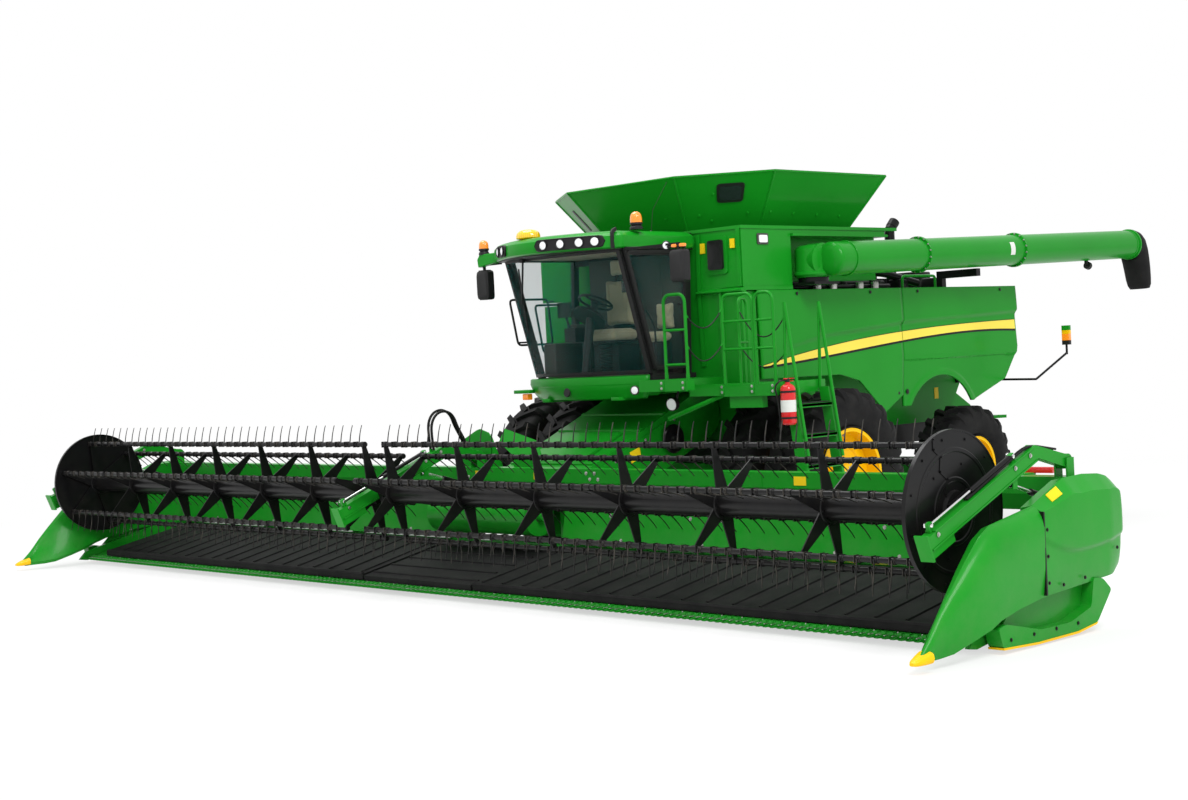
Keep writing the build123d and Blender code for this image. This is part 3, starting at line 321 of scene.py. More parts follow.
def slab(outline: Sequence[Sequence[float]], low: float, high: float, axis: Axis3 = Axis3.X) -> Skin:
    """A flat outline given two thickness limits.

    For X the outline is (station, height), for Y (left, height) and for Z (left, station); the limits of
    Y are stations.
    """
    outline = np.asarray(outline, float)
    first, second, third = axis.value
    points = np.zeros((2, len(outline), 3))
    points[..., first] = outline[:, 0]
    points[..., second] = outline[:, 1]
    points[0, :, third], points[1, :, third] = low, high
    points[..., 1] += AXLE_Y
    return loft(points)


def block(low: Sequence[float], high: Sequence[float], radius: float = 0.006, steps: int = 2) -> Skin:
    """A box with rounded edges and corners.

    A point is centre + sign(n) * (half - radius) + radius * n for each direction n of a sphere, with the
    four sides of the sphere drawn apart.
    """
    low, high = np.asarray(low, float), np.asarray(high, float)
    half = (high - low) / 2
    radius = min(radius, half.min() * 0.95)
    quarter = np.linspace(0, math.pi / 2, steps + 1)
    longitude = np.concatenate([quarter + k * math.pi / 2 for k in range(4)])
    sign_x = np.repeat([1, -1, -1, 1], steps + 1)
    sign_y = np.repeat([1, 1, -1, -1], steps + 1)
    latitude = np.concatenate([quarter - math.pi / 2, quarter])
    sign_z = np.repeat([-1, 1], steps + 1)
    normal = np.stack([np.cos(latitude)[:, None] * np.cos(longitude)[None, :],
                       np.cos(latitude)[:, None] * np.sin(longitude)[None, :],
                       np.repeat(np.sin(latitude)[:, None], len(longitude), 1)], -1)
    sign = np.stack(np.broadcast_arrays(sign_x[None, :], sign_y[None, :], sign_z[:, None]), -1)
    points = (low + high) / 2 + sign * (half - radius) + radius * normal
    return loft(points)


def bolts(centres: Sequence[Sequence[float]], direction: Sequence[float], radius: float = 0.012,
          height: float = 0.01) -> Skin:
    """Six-sided bolt heads with a washer, standing on points along a direction."""
    head = [(0, radius * 1.5), (height * 0.25, radius * 1.5), (height * 0.25, radius),
            (height, radius * 0.92), (height * 1.05, radius * 0.6)]
    return lathe(head, (0, 0, 0), 6, direction).repeated(np.asarray(centres, float))


def circle_points(centre: Sequence[float], radius: float, count: int, phase: float = 0.0) -> Array:
    """Points on a circle in a plane of stations and heights."""
    angle = phase + np.arange(count) * TAU / count
    zero = np.zeros(count)
    return np.asarray(centre, float) + radius * np.stack([zero, np.sin(angle), np.cos(angle)], 1)


# ------------------------------------------------------------------ shader graphs
class Graph:
    """A material's node tree, written as expressions."""

    def __init__(self, name: str) -> None:
        """Opens an empty material of that name."""
        self.material = bpy.data.materials.new(name)
        self.material.use_nodes = True
        self.tree = self.material.node_tree
        self.tree.nodes.clear()

    def node(self, kind: str, settings: dict | None = None, inputs: dict | None = None) -> bpy.types.Node:
        """Adds any node.

        Args:
            kind: the node's type name.
            settings: attributes that are set first; a ramp's stops are given as "stops".
            inputs: values or Value links by socket name or number.

        Returns:
            The node.
        """
        made = self.tree.nodes.new(kind)
        for name, value in (settings or {}).items():
            if name == "stops":
                ramp = made.color_ramp
                while len(ramp.elements) > 1:
                    ramp.elements.remove(ramp.elements[-1])
                for index, (position, colour) in enumerate(value):
                    stop = ramp.elements[0] if index == 0 else ramp.elements.new(position)
                    stop.position = position
                    stop.color = (*colour, 1.0)
            else:
                setattr(made, name, value)
        for name, value in (inputs or {}).items():
            socket = made.inputs[name]
            if isinstance(value, Value):
                self.tree.links.new(value.socket, socket)
            elif hasattr(value, "__len__") and len(value) == 3 and socket.type == "RGBA":
                socket.default_value = (*value, 1.0)
            else:
                socket.default_value = value
        return made

    def value(self, kind: str, settings: dict | None = None, inputs: dict | None = None,
              output: str | int = 0) -> "Value":
        """Adds any node and wraps one of its outputs."""
        return Value(self, self.node(kind, settings, inputs).outputs[output])

    def position(self) -> tuple["Value", "Value", "Value"]:
        """The three object coordinates, which are the machine's own."""
        point = self.value("ShaderNodeTexCoord", output="Object")
        split = self.node("ShaderNodeSeparateXYZ", inputs={0: point})
        return tuple(Value(self, split.outputs[index]) for index in range(3))

    def noise(self, scale: float, detail: float = 3.0, roughness: float = 0.5,
              vector: "Value | None" = None) -> "Value":
        """Noise of about 0 to 1 on object coordinates, or on a given vector."""
        vector = vector or self.value("ShaderNodeTexCoord", output="Object")
        return self.value("ShaderNodeTexNoise", inputs={
            "Vector": vector, "Scale": scale, "Detail": detail, "Roughness": roughness})

    def stretched(self, scale: Sequence[float]) -> "Value":
        """Object coordinates stretched along each direction."""
        point = self.value("ShaderNodeTexCoord", output="Object")
        return self.value("ShaderNodeMapping", inputs={"Vector": point, "Scale": tuple(scale)})

    def mix(self, share: "Value | float", first: "Value | Sequence[float]",
            second: "Value | Sequence[float]") -> "Value":
        """A colour between two colours."""
        made = self.node("ShaderNodeMix", {"data_type": "RGBA"})
        for socket, value in ((made.inputs[0], share), (made.inputs[6], first), (made.inputs[7], second)):
            if isinstance(value, Value):
                self.tree.links.new(value.socket, socket)
            elif hasattr(value, "__len__"):
                socket.default_value = (*value, 1.0)
            else:
                socket.default_value = value
        return Value(self, made.outputs[2])

    def bump(self, height: "Value", distance: float, strength: float = 1.0) -> "Value":
        """A normal bent by a height field."""
        return self.value("ShaderNodeBump", inputs={
            "Height": height, "Distance": distance, "Strength": strength}, output="Normal")

    def finish(self, settings: dict, shader: str = "ShaderNodeBsdfPrincipled") -> bpy.types.Material:
        """Ends the material with a surface shader whose sockets are given."""
        made = self.node(shader, inputs=settings)
        output = self.node("ShaderNodeOutputMaterial")
        self.tree.links.new(made.outputs[0], output.inputs["Surface"])
        return self.material


@dataclass
class Value:
    """A number or colour on its way through a graph; expressions on it add Math nodes."""

    graph: Graph
    socket: bpy.types.NodeSocket

    def _math(self, operation: str, first: "Value | float", second: "Value | float" = 0.0) -> "Value":
        """One Math node on two terms."""
        return self.graph.value("ShaderNodeMath", {"operation": operation}, {0: first, 1: second})

    def __add__(self, other: "Value | float") -> "Value":
        """The sum."""
        return self._math("ADD", self, other)

    def __radd__(self, other: float) -> "Value":
        """The sum."""
        return self._math("ADD", other, self)

    def __sub__(self, other: "Value | float") -> "Value":
        """The difference."""
        return self._math("SUBTRACT", self, other)

    def __rsub__(self, other: float) -> "Value":
        """The difference, reflected."""
        return self._math("SUBTRACT", other, self)

    def __mul__(self, other: "Value | float") -> "Value":
        """The product."""
        return self._math("MULTIPLY", self, other)

    def __rmul__(self, other: float) -> "Value":
        """The product."""
        return self._math("MULTIPLY", other, self)

    def __truediv__(self, other: "Value | float") -> "Value":
        """The quotient."""
        return self._math("DIVIDE", self, other)

    def __pow__(self, other: float) -> "Value":
        """The power."""
        return self._math("POWER", self, other)

    def above(self, limit: "Value | float", soft: float = 0.001) -> "Value":
        """1 above a limit and 0 below it, over a soft edge."""
        return self.graph.value("ShaderNodeClamp", inputs={0: (self - limit) / soft + 0.5})

    def sine(self) -> "Value":
        """The sine of an angle in radians."""
        return self._math("SINE", self)


# ------------------------------------------------------------------ finishes
@dataclass(frozen=True)
class Finish:
    """A finish by name, made once and shared by the pieces that wear it."""

    name: str

    def draw(self, graph: Graph) -> bpy.types.Material:
        """Draws the finish's nodes; each kind of finish has its own."""
        raise NotImplementedError

    def material(self) -> bpy.types.Material:
        """The finish's material, made at its first use."""
        found = bpy.data.materials.get(self.name)
        return found or self.draw(Graph(self.name))


@dataclass(frozen=True)
class Paint(Finish):
    """Enamel over sheet metal: a faint mottle, a thin coat and a fine orange peel."""

    colour: tuple[float, float, float]
    roughness: float = 0.3
    coat: float = 0.07
    dust: float = 0.05
    gloss: float = 0.14

    def draw(self, graph: Graph) -> bpy.types.Material:
        """Mottles the colour, adds a little dust low down and bends the normal by fine noise."""
        height = graph.position()[2]
        broad = graph.noise(1.3, 2.0)
        fine = graph.noise(260.0, 1.0)
        darker = tuple(c * 0.86 for c in self.colour)
        lighter = tuple(min(1.0, c * 1.1 + 0.002) for c in self.colour)
        colour = graph.mix(broad, darker, lighter)
        grime = graph.noise(7.0, 4.0, 0.65).above(0.52, 0.3) * (1.0 - height.above(0.9, 1.4)) * self.dust
        colour = graph.mix(grime, colour, (0.3, 0.26, 0.19))
        return graph.finish({
            "Base Color": colour, "Roughness": self.roughness + 0.1 * (broad - 0.5) + 0.35 * grime,
            "Coat Weight": self.coat, "Coat Roughness": 0.08, "Specular IOR Level": self.gloss,
            "Normal": graph.bump(fine, 0.0006, 0.25)})


@dataclass(frozen=True)
class Plastic(Finish):
    """Moulded plastic with a fine leathery grain."""

    colour: tuple[float, float, float]
    roughness: float = 0.5
    grain: float = 320.0

    def draw(self, graph: Graph) -> bpy.types.Material:
        """Varies the shade slightly and bends the normal by the grain."""
        cells = graph.value("ShaderNodeTexVoronoi", {"feature": "DISTANCE_TO_EDGE"}, {
            "Vector": graph.value("ShaderNodeTexCoord", output="Object"), "Scale": self.grain})
        broad = graph.noise(3.0)
        lighter = tuple(min(1.0, c * 1.25 + 0.006) for c in self.colour)
        return graph.finish({
            "Base Color": graph.mix(broad, self.colour, lighter),
            "Roughness": self.roughness + 0.12 * (broad - 0.5), "Specular IOR Level": 0.25,
            "Normal": graph.bump(cells, 0.0008, 0.35)})


@dataclass(frozen=True)
class Rubber(Finish):
    """Black rubber, with dust in its hollows and a soft sheen."""

    colour: tuple[float, float, float] = (0.012, 0.012, 0.013)
    roughness: float = 0.6
    dust: float = 0.12

    def draw(self, graph: Graph) -> bpy.types.Material:
        """Mixes dust into the black in patches and roughens it there."""
        patches = graph.noise(5.0, 5.0, 0.6)
        grit = graph.noise(160.0, 2.0)
        dusty = patches.above(0.5, 0.35) * self.dust
        return graph.finish({
            "Base Color": graph.mix(dusty, self.colour, (0.12, 0.115, 0.105)),
            "Roughness": self.roughness + 0.2 * dusty + 0.15 * (grit - 0.5), "Specular IOR Level": 0.1,
            "Normal": graph.bump(grit * 0.6 + patches, 0.0018, 0.35)})


@dataclass(frozen=True)
class Steel(Finish):
    """Bare or plated metal, drawn out along one direction."""

    colour: tuple[float, float, float] = (0.6, 0.6, 0.58)
    roughness: float = 0.3
    drawn: tuple[float, float, float] = (4.0, 220.0, 220.0)

    def draw(self, graph: Graph) -> bpy.types.Material:
        """Streaks the shade and the roughness along the drawing direction."""
        streaks = graph.noise(1.0, 3.0, 0.6, graph.stretched(self.drawn))
        stain = graph.noise(9.0, 4.0).above(0.55, 0.25)
        colour = graph.mix(streaks, tuple(c * 0.75 for c in self.colour), self.colour)
        colour = graph.mix(stain * 0.25, colour, (0.2, 0.17, 0.13))
        return graph.finish({
            "Base Color": colour, "Metallic": 1.0 - 0.3 * stain,
            "Roughness": self.roughness + 0.2 * (streaks - 0.5) + 0.15 * stain,
            "Normal": graph.bump(streaks, 0.0004, 0.3)})


@dataclass(frozen=True)
class Glazing(Finish):
    """Clear sheet with a faint tint, a trace of dust and, on the far side window, a painted pale sheen."""

    colour: tuple[float, float, float] = (0.015, 0.12, 0.11)
    alpha: float = 0.08
    roughness: float = 0.02
    gloss: float = 0.2
    far_x: float = 0.875
    far_sheen_colour: tuple[float, float, float] = (0.02, 0.4, 0.38)
    far_sheen_alpha: float = 0.0

    def draw(self, graph: Graph) -> bpy.types.Material:
        """Thickens the tint where dust lies, and paints a pale sheen onto the far side window."""
        film = graph.noise(2.2, 4.0, 0.6)
        x, _, _ = graph.position()
        # painted pale sheen on the far side window, past x = -far_x: a paler colour and less clear glass
        far = (x * -1.0).above(self.far_x, 0.02) * float(self.far_sheen_alpha > 0)
        return graph.finish({
            "Base Color": graph.mix(far, self.colour, self.far_sheen_colour),
            "Alpha": self.alpha + 0.02 * (film - 0.5) + far * self.far_sheen_alpha,
            "Roughness": self.roughness + 0.03 * film, "Specular IOR Level": self.gloss})


@dataclass(frozen=True)
class LampGlass(Finish):
    """A lamp's lens: ribbed, glossy, and with a faint painted glow that stands in for the room's light caught
    in it.
    """

    colour: tuple[float, float, float]
    painted_glow: float = 0.15
    ribs: float = 180.0

    def draw(self, graph: Graph) -> bpy.types.Material:
        """Draws the ribs as a wave of height and shade across the lens."""
        x, y, _ = graph.position()
        ribs = ((x + y) * self.ribs * 6.283).sine() * 0.5 + 0.5
        # painted glow: the emission stands in for light caught in the lens, as no lamp is lit
        return graph.finish({
            "Base Color": graph.mix(ribs, tuple(c * 0.7 for c in self.colour), self.colour),
            "Roughness": 0.08 + 0.06 * ribs, "Coat Weight": 0.8, "Emission Color": self.colour,
            "Emission Strength": self.painted_glow, "Normal": graph.bump(ribs, 0.001, 0.4)})


@dataclass(frozen=True)
class Cloth(Finish):
    """Woven seat cloth: two sets of threads that pass over and under each other."""

    colour: tuple[float, float, float] = (0.2, 0.17, 0.13)
    threads: float = 520.0

    def draw(self, graph: Graph) -> bpy.types.Material:
        """Weaves the shade and the height from the two thread waves."""
        x, y, z = graph.position()
        warp = ((x + 0.4 * y) * self.threads * 3.1416).sine()
        weft = ((z - 0.4 * y) * self.threads * 3.1416).sine()
        weave = (warp * weft) * 0.5 + 0.5
        worn = graph.noise(9.0, 3.0)
        shade = graph.mix(weave, tuple(c * 0.72 for c in self.colour), tuple(c * 1.15 for c in self.colour))
        shade = graph.mix(worn * 0.35, shade, tuple(c * 1.4 for c in self.colour))
        return graph.finish({
            "Base Color": shade, "Roughness": 0.86 + 0.08 * (worn - 0.5), "Sheen Weight": 0.35,
            "Normal": graph.bump(weave, 0.0009, 0.5)})


GREEN = Paint("green_enamel", (0.006, 0.25, 0.012))
DARK_GREEN = Paint("green_enamel_shaded", (0.004, 0.16, 0.01), 0.4, 0.1)
YELLOW = Paint("yellow_enamel", (0.92, 0.52, 0.0), 0.34)
STRIPE = Paint("pale_yellow_film", (0.96, 0.74, 0.09), 0.3)
STRIPE_EDGE = Paint("black_film", (0.006, 0.006, 0.006), 0.3)
LABEL = Paint("plain_yellow_label", (0.85, 0.6, 0.01), 0.35)
WHITE_LABEL = Paint("plain_white_label", (0.72, 0.73, 0.7), 0.35)
BLACK = Paint("black_enamel", (0.0035, 0.0035, 0.004), 0.32, 0.06, 0.03, 0.16)
RED = Paint("red_enamel", (0.62, 0.012, 0.014), 0.25, 0.7)
BLACK_PLASTIC = Plastic("black_moulding", (0.008, 0.008, 0.0085), 0.45)
GREY_PLASTIC = Plastic("grey_moulding", (0.045, 0.043, 0.04), 0.55)
PALE_PLASTIC = Plastic("beige_moulding", (0.3, 0.27, 0.21), 0.6)
LINING = Plastic("dark_lining", (0.05, 0.048, 0.042), 0.65)
TYRE = Rubber("tyre_black", (0.006, 0.006, 0.0065), 0.6, 0.08)
BELT = Rubber("belt_black", (0.008, 0.008, 0.0085), 0.62, 0.08)
SPOUT = Rubber("boot_rubber", (0.008, 0.008, 0.0085), 0.62, 0.05)
HOSE = Rubber("hose_rubber", (0.008, 0.008, 0.008), 0.4, 0.05)
BRIGHT = Steel("bright_steel", (0.62, 0.62, 0.6), 0.28)
TINE_STEEL = Steel("tine_steel", (0.035, 0.035, 0.035), 0.45)
CHROME = Steel("chromed_rod", (0.86, 0.86, 0.87), 0.08, (200.0, 4.0, 4.0))
MIRROR = Steel("mirror_glass", (0.8, 0.82, 0.84), 0.02)
# The cab glass gets a painted pale sheen on its far side window.
CAB_GLASS = Glazing("clear_sheet", far_sheen_alpha=0.13)
DARK_GLASS = Glazing("tinted_window", (0.02, 0.03, 0.03), 0.8, 0.05)
# Each lens below has a painted glow; the receiver dome and the red reflectors get it too, though they are no
# lamps.
CLEAR_LENS = LampGlass("clear_lens", (0.85, 0.87, 0.88), 0.25, 90.0)
AMBER = LampGlass("amber_lens", (0.95, 0.26, 0.01), 0.3)
RED_LENS = LampGlass("red_lens", (0.7, 0.01, 0.01), 0.15)
DOME = LampGlass("yellow_dome", (0.95, 0.55, 0.0), 0.12, 30.0)
SEAT_CLOTH = Cloth("seat_cloth", (0.3, 0.29, 0.18))

NODE_FINISHES: dict[Finish, tuple[str, ...]] = {
    GREEN: ("separator_body", "rear_hood", "grain_tank", "tank_extension", "front_shield_left",
            "front_shield_right", "rear_shield_left", "rear_shield_right", "feeder_house", "header_frame",
            "reel_arms", "unloading_auger", "cab_base", "cab_roof", "feed_drum", "handrails", "ladder",
            "front_axle", "straw_chopper", "dividers"),
    YELLOW: ("front_rims_left", "front_rims_right", "rear_rim_left", "rear_rim_right"),
    TYRE: ("front_tyres_left", "front_tyres_right", "rear_tyre_left", "rear_tyre_right"),
    BLACK: ("auger_supports", "main_frame", "engine_block", "engine_deck", "rear_lamps", "reel_carriages",
            "reel_left", "reel_right", "lift_barrels", "reel_barrels", "mirrors"),
    DARK_GREEN: ("rear_axle", "knuckle_left", "knuckle_right", "tie_rod"),
    BLACK_PLASTIC: ("cab_frame", "cab_door", "cab_console"),
    CAB_GLASS: ("cab_glass", "cab_door_glass"),
    BELT: ("draper_belts",),
    SPOUT: ("auger_spout",),
    BRIGHT: ("cutterbar",),
    CHROME: ("lift_rods", "reel_rods"),
    SEAT_CLOTH: ("operator_seat",),
}


def dress(thing: bpy.types.Object, finish: Finish) -> None:
    """Puts one finish on every slot of an object."""
    material = finish.material()
    if not thing.material_slots:
        thing.data.materials.append(material)
    for slot in thing.material_slots:
        slot.material = material


@dataclass
class Piece:
    """What a finished surface is called, wears and rides on."""

    name: str
    finish: Finish
    body: str = "chassis"
    sharp: float = 32.0
    bevel: float = 0.0
    shell: float = 0.0
    replaces: tuple[str, ...] = ()
    slot: str = ""

    def make(self, skin: Skin) -> bpy.types.Object:
        """Puts the surface into a mesh object, cleans it, dresses it and lets it ride.

        Args:
            skin: the surface, in the machine's frame.

        Returns:
            The new object.
        """
        mesh = bpy.data.meshes.new(self.name)
        corners = np.concatenate([face.ravel() for face in skin.faces])
        sizes = np.concatenate([np.full(len(face), face.shape[1]) for face in skin.faces])
        mesh.vertices.add(len(skin.points))
        mesh.vertices.foreach_set("co", skin.points.astype(np.float32).ravel())
        mesh.loops.add(len(corners))
        mesh.loops.foreach_set("vertex_index", corners.astype(np.int32))
        mesh.polygons.add(len(sizes))
        mesh.polygons.foreach_set("loop_start", np.concatenate([[0], np.cumsum(sizes)[:-1]]).astype(np.int32))
        mesh.polygons.foreach_set("loop_total", sizes.astype(np.int32))
        mesh.update(calc_edges=True)
        mesh.validate()
        self._clean(mesh)
        thing = bpy.data.objects.new(self.name, mesh)
        bpy.context.scene.collection.objects.link(thing)
        if self.shell:
            solid = thing.modifiers.new("thickness", "SOLIDIFY")
            solid.thickness, solid.offset = self.shell, -1.0
        if self.bevel:
            edge = thing.modifiers.new("edges", "BEVEL")
            edge.width, edge.segments, edge.limit_method = self.bevel, 2, "ANGLE"
        dress(thing, self.finish)
        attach(thing, self.body)
        if self.replaces:
            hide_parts(*self.replaces)
        LOG.info("%s: %d faces, rides on %s", self.name, len(mesh.polygons), self.body)
        return thing

    def _clean(self, mesh: bpy.types.Mesh) -> None:
        """Merges doubled points, drops faces without area, and turns the normals outwards."""
        work = bmesh.new()
        work.from_mesh(mesh)
        bmesh.ops.remove_doubles(work, verts=work.verts, dist=2e-5)
        bmesh.ops.dissolve_degenerate(work, edges=work.edges, dist=1e-6)
        bmesh.ops.recalc_face_normals(work, faces=work.faces)
        work.to_mesh(mesh)
        work.free()
        mesh.polygons.foreach_set("use_smooth", np.ones(len(mesh.polygons), bool))
        mesh.set_sharp_from_angle(angle=math.radians(self.sharp))


# ------------------------------------------------------------------ the studio
@dataclass(frozen=True)
class Studio:
    """Camera, floor, world and lamps."""

    place: tuple[float, float, float] = (14.517, -14.987, 2.318)
    yaw: float = 46.906
    pitch: float = -1.358
    roll: float = -2.897
    lens: float = 54.298
    floor_size: float = 400.0
    sky: float = 0.85

    def camera(self) -> None:
        """Sets the camera's place, direction and lens."""
        yaw, pitch, roll = (math.radians(angle) for angle in (self.yaw, self.pitch, self.roll))
        forward = Vector((-math.sin(yaw) * math.cos(pitch), math.cos(yaw) * math.cos(pitch), math.sin(pitch)))
        right = Vector((math.cos(yaw), math.sin(yaw), 0.0))
        up = right.cross(forward)
        across = right * math.cos(roll) + up * math.sin(roll)
        upright = up * math.cos(roll) - right * math.sin(roll)
        data = bpy.data.cameras.new("camera")
        data.lens, data.sensor_width = self.lens, 36.0
        data.clip_end = 1000.0
        thing = bpy.data.objects.new("camera", data)
        columns = Matrix((across, upright, -forward)).transposed()
        thing.matrix_world = Matrix.Translation(Vector(at(*self.place))) @ columns.to_4x4()
        bpy.context.scene.collection.objects.link(thing)
        bpy.context.scene.camera = thing

    def floor(self) -> None:
        """Lays a plain pale floor that keeps the shadow and goes over into the white behind."""
        half = self.floor_size / 2
        corners = np.array([[[-half, -half, 0], [half, -half, 0]], [[-half, half, 0], [half, half, 0]]])
        mesh = bpy.data.meshes.new("floor")
        mesh.from_pydata(corners.reshape(-1, 3).tolist(), [], [(0, 1, 3, 2)])
        thing = bpy.data.objects.new("floor", mesh)
        graph = Graph("floor_pale")
        pale = graph.node("ShaderNodeBsdfDiffuse", inputs={"Color": (0.86, 0.86, 0.86)})
        white = graph.node("ShaderNodeEmission", inputs={"Color": (1.0, 1.0, 1.0), "Strength": 1.0})
        x, y, _ = graph.position()
        away = ((x * x + (y - 0.5) * (y - 0.5)) ** 0.5).above(11.0, 7.0)
        seen = graph.value("ShaderNodeLightPath", output="Is Camera Ray")
        both = graph.node("ShaderNodeMixShader", inputs={0: seen * (away * 0.4 + 0.6)})
        graph.tree.links.new(pale.outputs[0], both.inputs[1])
        graph.tree.links.new(white.outputs[0], both.inputs[2])
        output = graph.node("ShaderNodeOutputMaterial")
        graph.tree.links.new(both.outputs[0], output.inputs["Surface"])
        mesh.materials.append(graph.material)
        bpy.context.scene.collection.objects.link(thing)

    def world(self) -> None:
        """Lights all round with plain white, and shows white behind the machine."""
        world = bpy.data.worlds.new("sky")
        bpy.context.scene.world = world
        world.use_nodes = True
        tree = world.node_tree
        tree.nodes.clear()
        paths = tree.nodes.new("ShaderNodeLightPath")
        direct, seen = tree.nodes.new("ShaderNodeMath"), tree.nodes.new("ShaderNodeMath")
        direct.operation = seen.operation = "MAXIMUM"
        strength = tree.nodes.new("ShaderNodeMix")
        strength.data_type = "FLOAT"
        background = tree.nodes.new("ShaderNodeBackground")
        output = tree.nodes.new("ShaderNodeOutputWorld")
        tree.links.new(paths.outputs["Is Camera Ray"], direct.inputs[0])
        tree.links.new(paths.outputs["Is Glossy Ray"], direct.inputs[1])
        tree.links.new(direct.outputs[0], seen.inputs[0])
        tree.links.new(paths.outputs["Is Transmission Ray"], seen.inputs[1])
        tree.links.new(seen.outputs[0], strength.inputs[0])
        strength.inputs[2].default_value = self.sky
        strength.inputs[3].default_value = 1.0
        tree.links.new(strength.outputs[0], background.inputs["Strength"])
        background.inputs["Color"].default_value = (1.0, 1.0, 1.0, 1.0)
        tree.links.new(background.outputs[0], output.inputs["Surface"])

    def lamp(self, name: str, place: Sequence[float], target: Sequence[float], size: float,
             power: float) -> None:
        """Hangs one large soft lamp that faces a target."""
        data = bpy.data.lights.new(name, "AREA")
        data.shape, data.size, data.energy = "DISK", size, power
        thing = bpy.data.objects.new(name, data)
        direction = Vector(target) - Vector(place)
        facing = direction.to_track_quat("-Z", "Y").to_matrix().to_4x4()
        thing.matrix_world = Matrix.Translation(Vector(place)) @ facing
        thing.visible_camera = False
        bpy.context.scene.collection.objects.link(thing)

    def build(self) -> None:
        """Sets up the whole studio."""
        bpy.context.scene.view_settings.view_transform = "Standard"
        self.camera()
        self.floor()
        self.world()
        self.lamp("key", (16.0, -10.0, 16.0), (0.0, 0.0, 1.5), 9.0, 2600.0)
        self.lamp("top", (-4.0, -4.0, 17.0), (0.0, 0.0, 1.5), 12.0, 1800.0)


# ------------------------------------------------------------------ wheels
@dataclass(frozen=True)
class TractorTyre:
    """A cleated farm tyre on the machine's left: one carcass and two rows of slanting lugs."""

    x: float
    station: float
    radius: float
    width: float
    rim_radius: float
    lugs: int
    lug_height: float = 0.045
    shoulder_drop: float = 0.075
    sweep: float = 0.2

    def centre(self) -> Array:
        """The middle of the tyre on its axle."""
        return at(self.x, self.station, self.radius)

    def carcass(self) -> Skin:
        """The smooth body.

        Its section is a closed curve: half width times |cos t|^0.42 across, and from the rim outwards a
        height times |sin t|^0.55, so that the walls bulge and the tread is almost flat.
        """
        half = self.width / 2
        crown = self.radius - self.lug_height
        bulge = self.rim_radius + 0.42 * (crown - self.rim_radius)
        t = np.linspace(0, TAU, 41)[:-1]
        across = half * np.sign(np.cos(t)) * np.abs(np.cos(t)) ** 0.42
        outward = np.where(np.sin(t) > 0, crown - bulge, bulge - self.rim_radius)
        height = bulge + outward * np.sign(np.sin(t)) * np.abs(np.sin(t)) ** 0.55
        squeeze = np.where(height < bulge, 1 - 0.16 * (bulge - height) / (bulge - self.rim_radius), 1.0)
        return lathe(np.stack([across * squeeze, height], 1), self.centre(), 72, closed=True)

    def tread(self) -> Skin:
        """The lugs of both rows, each a bar that runs from the middle over the shoulder.

        Along a lug, with u from 0 to 1: across = u * half width, turn = sweep * u^0.8, and its top is the
        radius less shoulder drop * (u above 0.8)^1.5, while its foot stays inside the carcass.
        """
        half = self.width / 2
        u = np.array([0.0, 0.2, 0.4, 0.6, 0.78, 0.9, 1.0])
        over = np.clip((u - 0.78) / 0.22, 0, 1) ** 1.5
        top = self.radius - 0.002 - over * self.shoulder_drop * 1.5
        foot = self.radius - self.lug_height - 0.03 - over * self.shoulder_drop * 1.6
        across = -0.02 + u * (half - 0.004 + 0.02)
        turned = self.sweep * u ** 0.8
        wide = 0.042 + 0.012 * u
        edge = np.stack([-wide, -wide * 0.72, wide * 0.72, wide], 1)
        height = np.stack([foot, top, top, foot], 1)
        angle = turned[:, None] + edge / self.radius
        points = np.stack([np.broadcast_to(across[:, None], angle.shape), height * np.sin(angle),
                           height * np.cos(angle)], -1)
        lug = loft(points).moved(self.centre())
        step = TAU / self.lugs
        row = lug.spun(np.arange(self.lugs) * step, (1, 0, 0), self.centre())
        other = row.moved(-self.centre()).turned(np.diag([-1, 1, 1])).moved(self.centre())
        other = Skin(other.points, [face[:, ::-1] for face in other.faces])
        return row + other.turned(turn((1, 0, 0), step / 2), self.centre())

    def rings(self) -> Skin:
        """The moulded lines round the outer wall."""
        half = self.width / 2
        bead = [(half * 0.83, self.rim_radius + 0.03), (half * 0.86, self.rim_radius + 0.024),
                (half * 0.9, self.rim_radius + 0.03), (half * 0.89, self.rim_radius + 0.04)]
        return lathe(bead, self.centre(), 72, closed=True)

    def skin(self) -> Skin:
        """The whole tyre."""
        return join([self.carcass(), self.tread(), self.rings()])


@dataclass(frozen=True)
class RimTrim:
    """What shows on a wheel's outer face: flange, bolt circle and hub."""

    x: float
    station: float
    height: float
    radius: float
    disc_x: float
    half_width: float

    def skin(self) -> Skin:
        """Rolled flanges at both edges of the barrel, ribs of the dish and its hub."""
        centre = at(self.x, self.station, self.height)
        flange = []
        for side in (-1, 1):
            edge = side * self.half_width
            flange.append(lathe([(edge - side * 0.03, self.radius - 0.006),
                                 (edge - side * 0.028, self.radius + 0.004), (edge, self.radius + 0.022),
                                 (edge + side * 0.004, self.radius + 0.012),
                                 (edge - side * 0.004, self.radius - 0.012)], centre, 72, closed=True))
        dish = at(self.x + self.disc_x, self.station, self.height)
        rib = lathe([(0.0, self.radius * 0.8), (0.02, self.radius * 0.78), (0.024, self.radius * 0.7),
                     (0.0, self.radius * 0.66)], dish, 72, closed=True)
        hub = lathe([(0.0, 0.19), (0.05, 0.185), (0.06, 0.16), (0.06, 0.12), (0.115, 0.115), (0.13, 0.1),
                     (0.13, 0.0)], dish, 40)
        return join([*flange, rib, hub])

    def fixings(self) -> Skin:
        """Wheel bolts in two rings, and the hub's own."""
        dish = at(self.x + self.disc_x + 0.05, self.station, self.height)
        inner = bolts(circle_points(dish, 0.15, 10), (1, 0, 0), 0.014, 0.02)
        face = at(self.x + self.disc_x, self.station, self.height)
        outer = bolts(circle_points(face, self.radius * 0.9, 12, 0.2), (1, 0, 0), 0.014, 0.018)
        hub = bolts(circle_points(face + np.array([0.115, 0, 0]), 0.085, 6), (1, 0, 0), 0.009, 0.02)
        return join([inner, outer, hub])


